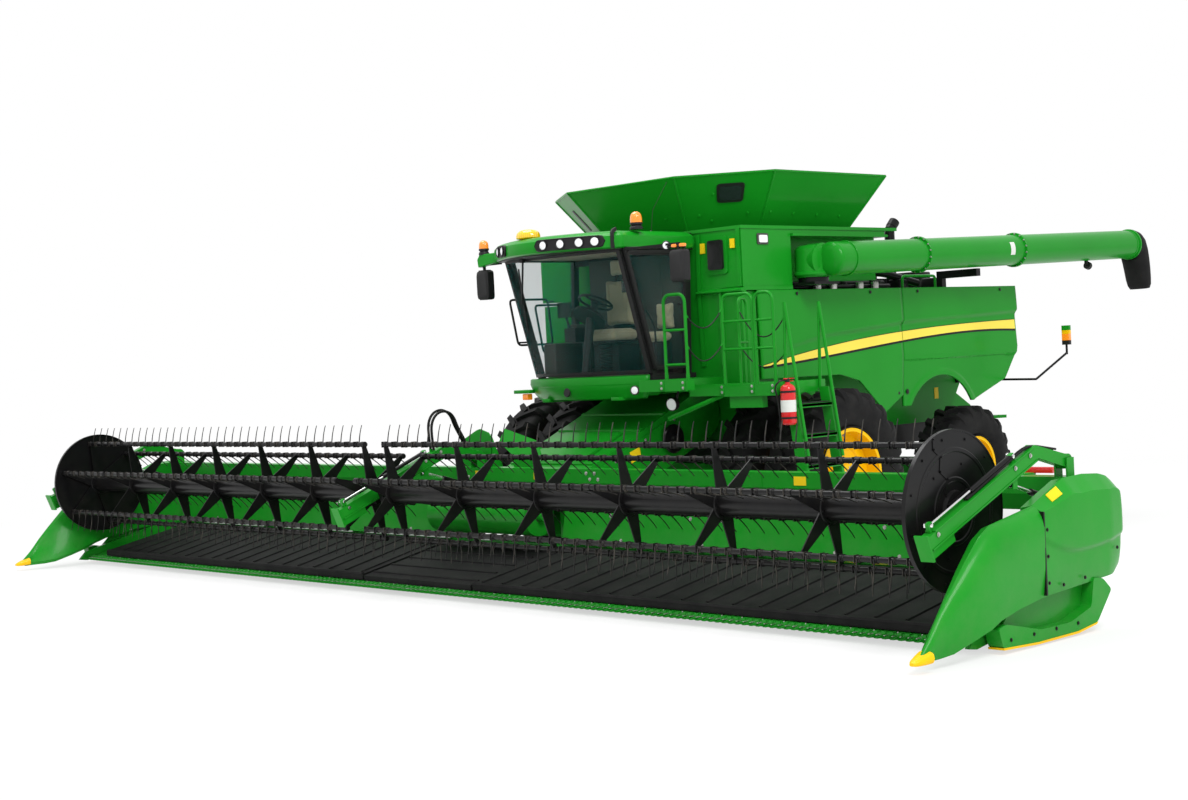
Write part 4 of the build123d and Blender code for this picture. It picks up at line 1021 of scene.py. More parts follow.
@dataclass(frozen=True)
class Wheels:
    """All eight wheels; the right-hand ones are mirror images."""

    inner_x: float = 1.5
    dual_spacing: float = 0.735
    front_radius: float = 0.93
    front_width: float = 0.53
    front_rim: float = 0.48
    rear_x: float = 1.5
    rear_station: float = 3.35
    rear_radius: float = 0.75
    rear_width: float = 0.52
    rear_rim: float = 0.35

    def build(self) -> None:
        """Makes tyres, rim trim and bolts for each side."""
        outer_x = self.inner_x + self.dual_spacing
        front = [TractorTyre(x, 0.0, self.front_radius, self.front_width, self.front_rim, 22)
                 for x in (self.inner_x, outer_x)]
        rear = TractorTyre(self.rear_x, self.rear_station, self.rear_radius, self.rear_width,
                           self.rear_rim, 20)
        trims = [RimTrim(x, 0.0, self.front_radius, self.front_rim, 0.056, self.front_width / 2 - 0.035)
                 for x in (self.inner_x, outer_x)]
        rear_trim = RimTrim(self.rear_x, self.rear_station, self.rear_radius, self.rear_rim, 0.056,
                            self.rear_width / 2 - 0.035)
        front_tyres = join([tyre.skin() for tyre in front])
        front_trim = join([trims[0].skin(), trims[1].skin()])
        front_bolts = trims[1].fixings()
        for side, flip in (("left", False), ("right", True)):
            for name, skin, body, finish, replaces in (
                    ("front_tyre_treads", front_tyres, "front_wheels", TYRE, "front_tyres"),
                    ("front_rim_trim", front_trim, "front_wheels", YELLOW, ""),
                    ("front_wheel_bolts", front_bolts, "front_wheels", BRIGHT, ""),
                    ("rear_tyre_tread", rear.skin(), "rear_wheel", TYRE, "rear_tyre"),
                    ("rear_rim_trim", rear_trim.skin(), "rear_wheel", YELLOW, ""),
                    ("rear_wheel_bolts", rear_trim.fixings(), "rear_wheel", BRIGHT, "")):
                covered = (f"{replaces}_{side}",) if replaces else ()
                piece = Piece(f"{name}_{side}", finish, f"{body}_{side}", replaces=covered)
                piece.make(skin.mirrored() if flip else skin)


# ------------------------------------------------------------------ reel
@dataclass(frozen=True)
class Reel:
    """Tines, clips, hub plates and end discs of the two reel sections."""

    station: float = -3.97
    height: float = 1.04
    bat_radius: float = 0.51
    bat_tube: float = 0.024
    phase: float = -12.0
    tube_radius: float = 0.106
    outer_x: float = 6.6
    inner_left: float = -0.33
    inner_right: float = -0.63
    spacing: float = 0.165
    disc_radius: float = 0.612
    spiders: int = 7
    tine_lean: tuple[float, ...] = (8.0, 125.0, 130.0, 175.0, 185.0, 100.0)
    tine_length: tuple[float, ...] = (0.205, 0.23, 0.2, 0.2, 0.23, 0.23)

    def bat(self, index: int) -> Array:
        """(station, height) of a bat's middle."""
        angle = math.radians(self.phase + 60 * index)
        return np.array([self.station + self.bat_radius * math.sin(angle),
                         self.height + self.bat_radius * math.cos(angle)])

    def tine(self, index: int) -> Skin:
        """One spring tine at x = 0: a short coil on the bat and a gently bent finger."""
        station, height = self.bat(index)
        lean = math.radians(self.tine_lean[index])
        ahead = np.array([0.0, math.sin(lean), math.cos(lean)])
        across = np.array([0.0, math.cos(lean), -math.sin(lean)])
        root = at(0.0, station, height)
        length = self.tine_length[index]
        t = np.linspace(0, 1, 6)[:, None]
        bend = 0.03 * (t ** 2)
        path = root + across * (self.bat_tube + 0.004) * (1 - t * 0.5) + ahead * length * t + across * bend
        finger = along(path, ring(0.0062, 6), np.linspace(1.1, 0.7, 6))
        turn_angle = np.linspace(0, 2 * TAU, 25)[:, None]
        coil = root + (across * np.cos(turn_angle) + ahead * np.sin(turn_angle)) * (self.bat_tube + 0.003)
        coil = coil + np.array([1.0, 0, 0]) * turn_angle / (2 * TAU) * 0.03
        clip = slab(rectangle(station - 0.03, height - 0.03, station + 0.03, height + 0.03), -0.03, -0.022)
        return finger + along(coil, ring(0.0042, 5)) + clip

    def tines(self, low: float, high: float) -> Skin:
        """All tines between two x values, on all six bats, every second row half a pitch along."""
        rows = []
        for index in range(6):
            offset = self.spacing * (0.25 + 0.5 * (index % 2))
            places = np.arange(low + offset, high - 0.04, self.spacing)
            shifts = sideways(places)
            rows.append(self.tine(index).repeated(shifts))
        return join(rows)

    def spider_places(self, inner: float, outer: float) -> Array:
        """The x values of a section's spiders."""
        sign = math.copysign(1.0, outer - inner)
        return inner + sign * (0.04 + (abs(outer - inner) - 0.08) * np.arange(self.spiders)
                               / (self.spiders - 1))

    def hubs(self, inner: float, outer: float) -> Skin:
        """Hub plates, bat saddles and stiffening ribs of every spider."""
        shapes = []
        for x in self.spider_places(inner, outer):
            hub = at(float(x), self.station, self.height)
            for side in (-1, 1):
                plate = lathe([(side * 0.006, self.tube_radius + 0.036),
                               (side * 0.016, self.tube_radius + 0.03),
                               (side * 0.016, self.tube_radius + 0.001),
                               (side * 0.006, self.tube_radius + 0.001)], hub, 32, closed=True)
                shapes.append(plate)
                face = hub + np.array([side * 0.012, 0, 0])
                places = circle_points(face, self.tube_radius + 0.02, 6, math.radians(self.phase + 30))
                shapes.append(bolts(places, (side, 0, 0), 0.009, 0.012))
            for index in range(6):
                station, height = self.bat(index)
                saddle = lathe([(-0.03, self.bat_tube + 0.001), (-0.028, self.bat_tube + 0.006),
                                (0.028, self.bat_tube + 0.006), (0.03, self.bat_tube + 0.001)],
                               at(float(x), station, height), 16, closed=True)
                shapes.append(saddle)
        return join(shapes)

    def disc(self, outer: float) -> Skin:
        """The dished end disc: rolled rim, pressed steps, seam strip and bolts."""
        sign = math.copysign(1.0, outer)
        face = outer + sign * 0.008
        centre = at(face, self.station, self.height)
        rim = lathe([(-sign * 0.03, self.disc_radius - 0.004), (-sign * 0.03, self.disc_radius + 0.002),
                     (sign * 0.004, self.disc_radius + 0.002), (sign * 0.004, self.disc_radius - 0.012),
                     (-sign * 0.004, self.disc_radius - 0.012)], centre, 96, closed=True)
        steps = [lathe([(0.0, radius + 0.02), (sign * 0.005, radius + 0.012), (sign * 0.005, radius - 0.012),
                        (0.0, radius - 0.02)], centre, 72, closed=True) for radius in (0.24, 0.46)]
        hub = lathe([(0.0, 0.16), (sign * 0.03, 0.15), (sign * 0.034, 0.09), (sign * 0.05, 0.085),
                     (sign * 0.05, 0.036)], centre, 40, closed=True)
        fixings = [bolts(circle_points(centre, radius, count, 0.3), (sign, 0, 0), 0.009, 0.01)
                   for radius, count in ((0.55, 12), (0.36, 6), (0.125, 8))]
        seam = np.array([[0.17, -0.045], [0.26, 0.03], [0.35, -0.02], [0.44, 0.04], [0.53, -0.01],
                         [0.6, 0.02]])
        lean = math.radians(-25)
        ahead = np.array([math.sin(lean), math.cos(lean)])
        across = np.array([math.cos(lean), -math.sin(lean)])
        line = seam[:, :1] * ahead + seam[:, 1:] * across + np.array([self.station + AXLE_Y, self.height])
        path = np.column_stack([np.full(len(line), face + sign * 0.003), line])
        strip = along(path, rectangle(-0.012, -0.002, 0.012, 0.003))
        path[:, 0] += sign * 0.003
        return join([rim, *steps, hub, *fixings, strip, bolts(path, (sign, 0, 0), 0.007, 0.008)])

    def build(self) -> None:
        """Makes both sections' pieces."""
        for side, inner, outer in (("left", self.inner_left, self.outer_x),
                                   ("right", self.inner_right, -self.outer_x)):
            low, high = min(inner, outer), max(inner, outer)
            Piece(f"reel_tines_{side}", TINE_STEEL, f"{side}_reel").make(self.tines(low, high))
            Piece(f"reel_hubs_{side}", BLACK, f"{side}_reel").make(self.hubs(inner, outer))
            Piece(f"reel_disc_{side}", BLACK, f"{side}_reel").make(self.disc(outer))


# ------------------------------------------------------------------ belts and cutterbar
@dataclass(frozen=True)
class Belts:
    """Cleats and joints of the three draper belts, which slope down to the cutterbar."""

    front: tuple[float, float] = (-4.005, 0.17)
    rear: tuple[float, float] = (-2.84, 0.405)
    side_from: float = 0.91
    side_to: float = 6.45
    centre_half: float = 0.88
    centre_drop: float = 0.012
    pitch: float = 0.3

    def on_belt(self, share: Array, lift: float) -> tuple[Array, Array]:
        """Station and height at a share of the way back from the front edge, raised by lift."""
        slope = math.atan2(self.rear[1] - self.front[1], self.rear[0] - self.front[0])
        station = self.front[0] + share * (self.rear[0] - self.front[0]) - lift * math.sin(slope)
        height = self.front[1] + share * (self.rear[1] - self.front[1]) + lift * math.cos(slope)
        return station, height

    def cleat(self, x: float, slant: float) -> Skin:
        """A moulded bar across a side belt, from near its front edge to near its rear one."""
        share = np.linspace(0.05, 0.97, 8)
        low_station, low_height = self.on_belt(share, -0.002)
        top_station, top_height = self.on_belt(share, 0.013)
        middle = x + slant * (share - 0.5)
        edge = np.array([-0.016, -0.009, 0.009, 0.016])
        points = np.zeros((len(share), 4, 3))
        points[..., 0] = middle[:, None] + edge
        points[:, [0, 3], 1] = low_station[:, None] + AXLE_Y
        points[:, [1, 2], 1] = top_station[:, None] + AXLE_Y
        points[:, [0, 3], 2] = low_height[:, None]
        points[:, [1, 2], 2] = top_height[:, None]
        return loft(points)

    def cross_cleats(self) -> Skin:
        """Bars across the short middle belt, which runs rearwards."""
        bars = []
        for share in np.linspace(0.1, 0.92, 5):
            station, height = self.on_belt(np.array([share]), -self.centre_drop)
            slope = math.atan2(self.rear[1] - self.front[1], self.rear[0] - self.front[0])
            section = np.array([[-0.016, -0.002], [-0.009, 0.012], [0.009, 0.012], [0.016, -0.002]])
            turned = section @ np.array([[math.cos(slope), math.sin(slope)],
                                         [-math.sin(slope), math.cos(slope)]])
            bars.append(slab(turned + [station[0], height[0]], -self.centre_half + 0.02,
                             self.centre_half - 0.02))
        return join(bars)

    def guides(self) -> Skin:
        """The raised edges that run along the belts, front and rear."""
        bars = []
        for share, width in ((0.012, 0.02), (0.985, 0.02)):
            station, height = self.on_belt(np.array([share]), 0.0)
            outline = [(station[0] - width, height[0] - 0.006), (station[0] - width * 0.6, height[0] + 0.012),
                       (station[0] + width * 0.6, height[0] + 0.016), (station[0] + width, height[0])]
            bars.append(slab(outline, self.side_from + 0.01, self.side_to - 0.01))
        return join(bars).both_sides()

    def build(self) -> None:
        """Makes cleats and guides."""
        places = np.arange(self.side_from + 0.12, self.side_to - 0.05, self.pitch)
        shifts = sideways(places)
        side = self.cleat(0.0, 0.07).repeated(shifts)
        Piece("belt_cleats", BELT, "header").make(
            join([side.both_sides(), self.cross_cleats(), self.guides()]))


@dataclass(frozen=True)
class Cutterbar:
    """Knife back, triangular knife sections and pointed guards along the front edge."""

    half_width: float = 6.8
    station: float = -4.02
    pitch: float = 0.0762
    guard_length: float = 0.115

    def guard(self) -> Skin:
        """One guard at x = 0, lofted from a broad foot to a point: half width and height fall with t^1.6."""
        t = np.linspace(0, 1, 7)
        half = 0.013 * (1 - 0.86 * t ** 1.6)
        middle = 0.078 - 0.012 * t
        thick = 0.017 * (1 - 0.8 * t ** 1.4)
        station = self.station - 0.02 - self.guard_length * t
        corner = np.array([[-1, -1], [-1, 0.4], [-0.4, 1], [0.4, 1], [1, 0.4], [1, -1]])
        points = np.zeros((7, 6, 3))
        points[..., 0] = half[:, None] * corner[:, 0]
        points[..., 1] = station[:, None] + AXLE_Y
        points[..., 2] = middle[:, None] + thick[:, None] * corner[:, 1]
        return loft(points)

    def section(self) -> Skin:
        """One knife section at x = 0: a thin three-cornered blade."""
        outline = [(-0.034, self.station - 0.02), (0.034, self.station - 0.02), (0.006, self.station - 0.095),
                   (-0.006, self.station - 0.095)]
        return slab(outline, 0.082, 0.0855, Axis3.Z)

    def build(self) -> None:
        """Makes the rail, the guards and the knife."""
        places = np.arange(-self.half_width + 0.04, self.half_width - 0.03, self.pitch)
        shifts = sideways(places)
        rail = slab([(self.station, 0.05), (self.station, 0.1), (self.station - 0.012, 0.104),
                     (self.station - 0.045, 0.096), (self.station - 0.05, 0.06),
                     (self.station - 0.03, 0.046)], -self.half_width, self.half_width)
        foot = block((-0.02, self.station - 0.055 + AXLE_Y, 0.045), (0.02, self.station + AXLE_Y, 0.107),
                     0.006)
        Piece("cutterbar_guards", GREEN, "header", replaces=("cutterbar",)).make(
            join([rail, self.guard().repeated(shifts), foot.repeated(shifts)]))
        half_step = shifts + np.array([self.pitch / 2, 0, 0])
        clips = bolts(half_step[::3] + at(0, self.station - 0.02, 0.1), UP, 0.007, 0.008)
        Piece("cutterbar_knife", BRIGHT, "header").make(self.section().repeated(half_step) + clips)


# ------------------------------------------------------------------ dividers
@dataclass(frozen=True)
class Divider:
    """The end of the header: a long pointed nose, a panelled rear end, a yellow toe and a skid."""

    outer_x: float = 7.04
    inner_x: float = 6.83
    ridge_x: float = 6.93
    nose_end: float = -3.46
    panel_end: float = -2.22

    def nose(self) -> Skin:
        """The nose, lofted through cross sections from the toe to the seam.

        Each row is (station, bottom, knee, top, inner foot x); a section is round over the ridge.
        """
        rows = np.array([(-4.905, 0.060, 0.085, 0.135, 6.900), (-4.80, 0.062, 0.14, 0.235, 6.840),
                         (-4.68, 0.066, 0.22, 0.375, 6.790), (-4.55, 0.080, 0.30, 0.510, 6.745),
                         (-4.35, 0.140, 0.42, 0.705, 6.705), (-4.15, 0.200, 0.53, 0.880, 6.700),
                         (-4.02, 0.250, 0.60, 0.95, 6.72), (-3.80, 0.300, 0.66, 0.985, 6.80),
                         (self.nose_end, 0.350, 0.72, 1.04, self.inner_x)])
        station, bottom, knee, top, foot = rows.T
        width = np.clip((station + 4.95) / 0.75, 0.28, 1.0)
        outer = self.ridge_x + (self.outer_x - self.ridge_x) * width
        inner = np.minimum(self.ridge_x - (self.ridge_x - self.inner_x) * width, self.ridge_x - 0.03)
        depth = np.minimum(0.17, 0.6 * (top - knee))
        shoulder = [(self.ridge_x + (outer - self.ridge_x) * np.sin(bend) ** 1.1,
                     top - depth * (1 - np.cos(bend))) for bend in np.linspace(0.0, 1.5, 7)]
        columns = [
            (inner, top - 0.07), (inner + 0.35 * (self.ridge_x - inner), top - 0.025), *shoulder,
            (outer, top - 0.8 * (top - knee)), (outer - 0.004, knee - 0.4 * (knee - bottom)),
            (outer - 0.03, bottom + 0.008), (outer - 0.08, bottom), (np.minimum(foot + 0.03, inner), bottom),
            (np.minimum(foot, inner), bottom + 0.04), (np.minimum(inner, foot + 0.35 * (inner - foot)), knee)]
        points = np.stack([np.stack([x + 0 * top, station + AXLE_Y, z + 0 * top], -1) for x, z in columns], 1)
        return loft(points)

    def rear(self) -> Skin:
        """The rear panel: a bowed outer face, a level fold across it and a top that slopes up inwards.

        The face is a grid over station and a share s of height; it stands out by 0.01 * (4 s (1 - s))^0.7 in
        its middle, steps in by 22 mm below the fold and falls back towards the rear end.
        """
        start, end = self.nose_end, self.panel_end
        station = np.linspace(-3.455, end, 41)
        top = np.interp(station, [start, -3.25, -3.02, -2.75, -2.52, -2.41, -2.33, -2.27, -2.235, end],
                        [1.04, 1.125, 1.215, 1.225, 1.21, 1.185, 1.14, 1.07, 0.98, 0.86])
        bottom = np.interp(station, [start, -3.3, -2.42, -2.28, end], [0.35, 0.36, 0.41, 0.5, 0.7])
        drop = np.interp(station, [start, -3.3, -2.9, -2.5, -2.3, end], [0.05, 0.08, 0.13, 0.12, 0.06, 0.02])
        share = np.linspace(0, 1, 81)
        z = bottom[:, None] + share * (top - drop - bottom)[:, None]
        crown = 0.01 * (4 * share * (1 - share)) ** 0.7
        crease_z = 0.66 + 0.5 * (station + 2.94) ** 2 * np.where(station < -2.94, 1.0, 0.3)
        below = crease_z[:, None] - z
        crease = 0.022 / (1 + np.exp(-below / 0.007)) * np.exp(-np.maximum(below, 0) / 0.25)
        close = np.interp(station, [start, -2.5, -2.3, end], [0.0, 0.005, 0.03, 0.09])
        x = self.outer_x - 0.012 + crown - crease - close[:, None] - 0.035 * (1 - share) ** 4
        face = np.stack([x, np.broadcast_to(station[:, None], z.shape) + AXLE_Y, z], -1)
        inner = np.interp(station, [start, -2.6, end], [self.inner_x, self.inner_x, 6.87])
        lip = np.stack([np.stack([x[:, -1] - 0.012, station + AXLE_Y, top - 0.88 * drop], -1),
                        np.stack([x[:, -1] - 0.5 * (x[:, -1] - inner), station + AXLE_Y, top], -1),
                        np.stack([inner, station + AXLE_Y, top - 0.02], -1),
                        np.stack([inner, station + AXLE_Y, bottom + 0.02], -1)], 1)
        return loft(np.concatenate([face, lip], 1))

    def toe(self) -> Skin:
        """The yellow cap over the tip."""
        t = np.linspace(0, 1, 8)[:, None]
        angle = np.arange(16)[None, :] * TAU / 16
        half = 0.022 + 0.052 * t ** 0.6
        thick = 0.012 + 0.034 * t ** 0.7
        x = self.ridge_x + half * np.sign(np.cos(angle)) * np.abs(np.cos(angle)) ** 0.7
        z = 0.068 + 0.028 * t + 0.012 + thick * np.sign(np.sin(angle)) * np.abs(np.sin(angle)) ** 0.7
        station = -5.005 + 0.165 * t + 0 * angle
        points = np.stack(np.broadcast_arrays(x, station + AXLE_Y, z), -1)
        return loft(points)

    def skid(self) -> Skin:
        """The green runner under the rear panel."""
        outline = rounded_outline([(-4.0, 0.05), (-3.55, 0.03), (-3.0, 0.035), (-2.72, 0.07), (-2.5, 0.3),
                                   (-2.62, 0.4), (-2.75, 0.42), (-2.8, 0.2), (-3.1, 0.12), (-3.5, 0.12),
                                   (-3.95, 0.22), (-4.05, 0.2)], 0.03)
        web = slab([(-3.95, 0.1), (-3.5, 0.08), (-3.0, 0.08), (-2.78, 0.12), (-2.6, 0.32), (-2.68, 0.4),
                    (-3.2, 0.38), (-3.7, 0.34)], 6.88, 6.9)
        return slab(outline, 6.87, 7.0) + web

    def skid_edge(self) -> Skin:
        """The yellow wear strip along the runner's foot."""
        return slab([(-4.0, 0.036), (-3.55, 0.016), (-3.0, 0.021), (-2.74, 0.056), (-2.72, 0.072),
                     (-3.0, 0.038), (-3.55, 0.033), (-4.0, 0.052)], 6.865, 7.005)

    def fixings(self) -> Skin:
        """Bolts along the seam, the skid and the toe."""
        seam = [at(self.outer_x - 0.006, -3.42, z) for z in (0.46, 0.66, 0.86)]
        rear = [at(self.outer_x - 0.024, station, z)
                for station, z in ((-2.42, 0.62), (-2.9, 0.44), (-3.2, 0.42))]
        runner = [at(7.0, station, 0.1) for station in (-3.9, -3.6, -3.3, -3.0)]
        return bolts([*seam, *rear, *runner], (1, 0, 0), 0.011, 0.009)

    def label_plate(self) -> Skin:
        """A plain plate on the panel's sloping top."""
        corners = route((6.942, -3.28, 1.104), (6.942, -3.14, 1.157), (6.999, -3.14, 1.1),
                        (6.999, -3.28, 1.054))
        return loft([corners, corners + np.array([0.003, 0, 0.006])])

    def seam(self) -> Skin:
        """The dark joint between nose and rear panel."""
        return slab(rectangle(-3.465, 0.37, -3.45, 1.0), self.outer_x - 0.06, self.outer_x - 0.001)

    def build(self) -> None:
        """Makes both ends of the header."""
        green = join([self.nose(), self.rear(), self.skid()]).both_sides()
        Piece("divider_shells", GREEN, "header", sharp=26.0, replaces=("dividers",)).make(green)
        Piece("divider_toes", YELLOW, "header", sharp=40.0).make(
            join([self.toe(), self.skid_edge()]).both_sides())
        Piece("divider_bolts", BLACK, "header").make(join([self.fixings(), self.seam()]).both_sides())
        Piece("divider_plates", LABEL, "header").make(self.label_plate().both_sides())


# ------------------------------------------------------------------ body
@dataclass(frozen=True)
class SideShields:
    """The large hinged side panels: pressed creases, an arch lip and a swept stripe."""

    outer_x: float = 1.65
    top: float = 2.955
    seam: float = 2.1
    front: float = -0.44
    rear: float = 4.45
    arch_station: float = 2.85
    arch_height: float = 1.18
    arch_radius: float = 0.72
    thickness: float = 0.028

    def bottom(self, station: Array) -> Array:
        """Height of the lower edge: a front sweep, the wheel arch and a rising tail."""
        line = np.interp(station, [-0.44, 0.9, 1.25, 1.73, 2.095, 2.105, 3.5, 4.2, 4.43, 4.45],
                         [1.99, 1.985, 1.9, 1.51, 1.7, 1.56, 1.56, 1.8, 2.13, 2.2])
        inside = self.arch_radius ** 2 - (station - self.arch_station) ** 2
        arch = np.where((inside > 0) & (station > self.seam),
                        self.arch_height + np.sqrt(np.maximum(inside, 0)), 0)
        return np.maximum(line, arch)

    def upper_crease(self, station: Array) -> Array:
        """Height of the fold above the stripe."""
        return np.interp(station, [-0.44, 0.67, 1.38, 2.14, 4.45], [2.24, 2.43, 2.48, 2.545, 2.63])

    def outer(self, station: Array, z: Array) -> Array:
        """How far out the surface lies.

        From the outer limit it takes away: a lean above the fold, a soft step of 45 mm below it that fades
        towards the front, a tuck below the lower fold, and a dip round the arch's lip.
        """
        fold = self.upper_crease(station)
        above = np.clip((z - fold) / (self.top - fold), 0, 1)
        fade = np.clip((station + 0.3) / 1.6, 0, 1)
        step = 0.045 * fade / (1 + np.exp((z - fold) / 0.012)) * np.clip(1 - (fold - z) / 0.75, 0.35, 1)
        tail_fold = np.interp(station, [1.2, 2.14, 4.45], [2.0, 2.17, 2.115])
        tuck = 0.034 * np.clip((tail_fold - z) / 0.5, 0, 1) ** 0.8 * np.clip((station - 0.9) / 1.2, 0, 1)
        reach = np.hypot(station - self.arch_station, z - self.arch_height) - self.arch_radius
        lip = 0.012 / (1 + np.exp(-(reach - 0.07) / 0.008)) * (station > self.seam) * (z < 2.1)
        return self.outer_x - 0.016 * above ** 1.5 - step - tuck - lip

    def sheet(self, low: float, high: float, columns: int) -> Skin:
        """A panel between two stations, as a grid of stations and shares of its height."""
        station = np.linspace(low, high, columns)
        share = np.linspace(0, 1, 121)
        bottom = self.bottom(station)
        z = bottom[:, None] + share * (self.top - bottom)[:, None]
        across = np.broadcast_to(station[:, None], z.shape)
        return surface(np.stack([self.outer(across, z), across + AXLE_Y, z], -1))

    def band(self, low: float, high: float, top: Sequence[float], bottom: Sequence[float],
             lift: float) -> Skin:
        """A strip of film that follows the panel, between two curves given at five stations."""
        knots = np.array([self.front + 0.02, 0.662, 1.307, 2.117, 4.43])
        station = np.linspace(low, high, 48)
        smooth = [np.polynomial.polynomial.polyval(station, np.polynomial.polynomial.polyfit(knots, row, 3))
                  for row in (top, bottom)]
        share = np.linspace(0, 1, 5)
        z = smooth[1][:, None] + share * (smooth[0] - smooth[1])[:, None]
        across = np.broadcast_to(station[:, None], z.shape)
        outer = np.stack([self.outer(across, z) + lift, across + AXLE_Y, z], -1)
        inner = outer - np.array([lift + 0.004, 0, 0])
        return loft(np.concatenate([outer, inner[:, ::-1]], 1))

    def build(self) -> None:
        """Makes the panels, their stripes and fixings on both sides."""
        top = [2.137, 2.298, 2.379, 2.439, 2.531]
        bottom = [2.128, 2.2, 2.275, 2.335, 2.414]
        ends = (("front", self.front, self.seam - 0.006, 64), ("rear", self.seam + 0.006, self.rear, 110))
        for end, low, high, columns in ends:
            sheet = self.sheet(low, high, columns)
            start, stop = max(low, self.front + 0.02), min(high, 4.43)
            stripe = self.band(start, stop, top, bottom, 0.0022)
            dark = join([self.band(start, stop, bottom, [z - 0.026 for z in bottom], 0.0022),
                         self.band(start, stop, [z + 0.007 for z in top], top, 0.0022)])
            latch_stations = (0.2, 1.5) if end == "front" else (2.4, 4.1)
            latches = bolts([at(self.outer_x - 0.006, station, 2.91) for station in latch_stations],
                            (1, 0, 0), 0.014, 0.006)
            plug_place = (2.0, 1.72) if end == "front" else (2.17, 1.73)
            plugs = bolts([at(self.outer_x - 0.05, *plug_place)], (1, 0, 0), 0.022, 0.008)
            for side in ("left", "right"):
                body = f"{end}_shield_{side}_panel"
                flip = side == "right"
                for name, skin, finish, shell, covered in (
                        ("shield", sheet, GREEN, self.thickness, (f"{end}_shield_{side}",)),
                        ("stripe", stripe, STRIPE, 0.0, ()),
                        ("stripe_edge", dark, STRIPE_EDGE, 0.0, ()),
                        ("latches", latches + plugs, BLACK_PLASTIC, 0.0, ())):
                    Piece(f"{end}_{name}_{side}", finish, body, sharp=24.0, shell=shell,
                          replaces=covered).make(skin.mirrored() if flip else skin)


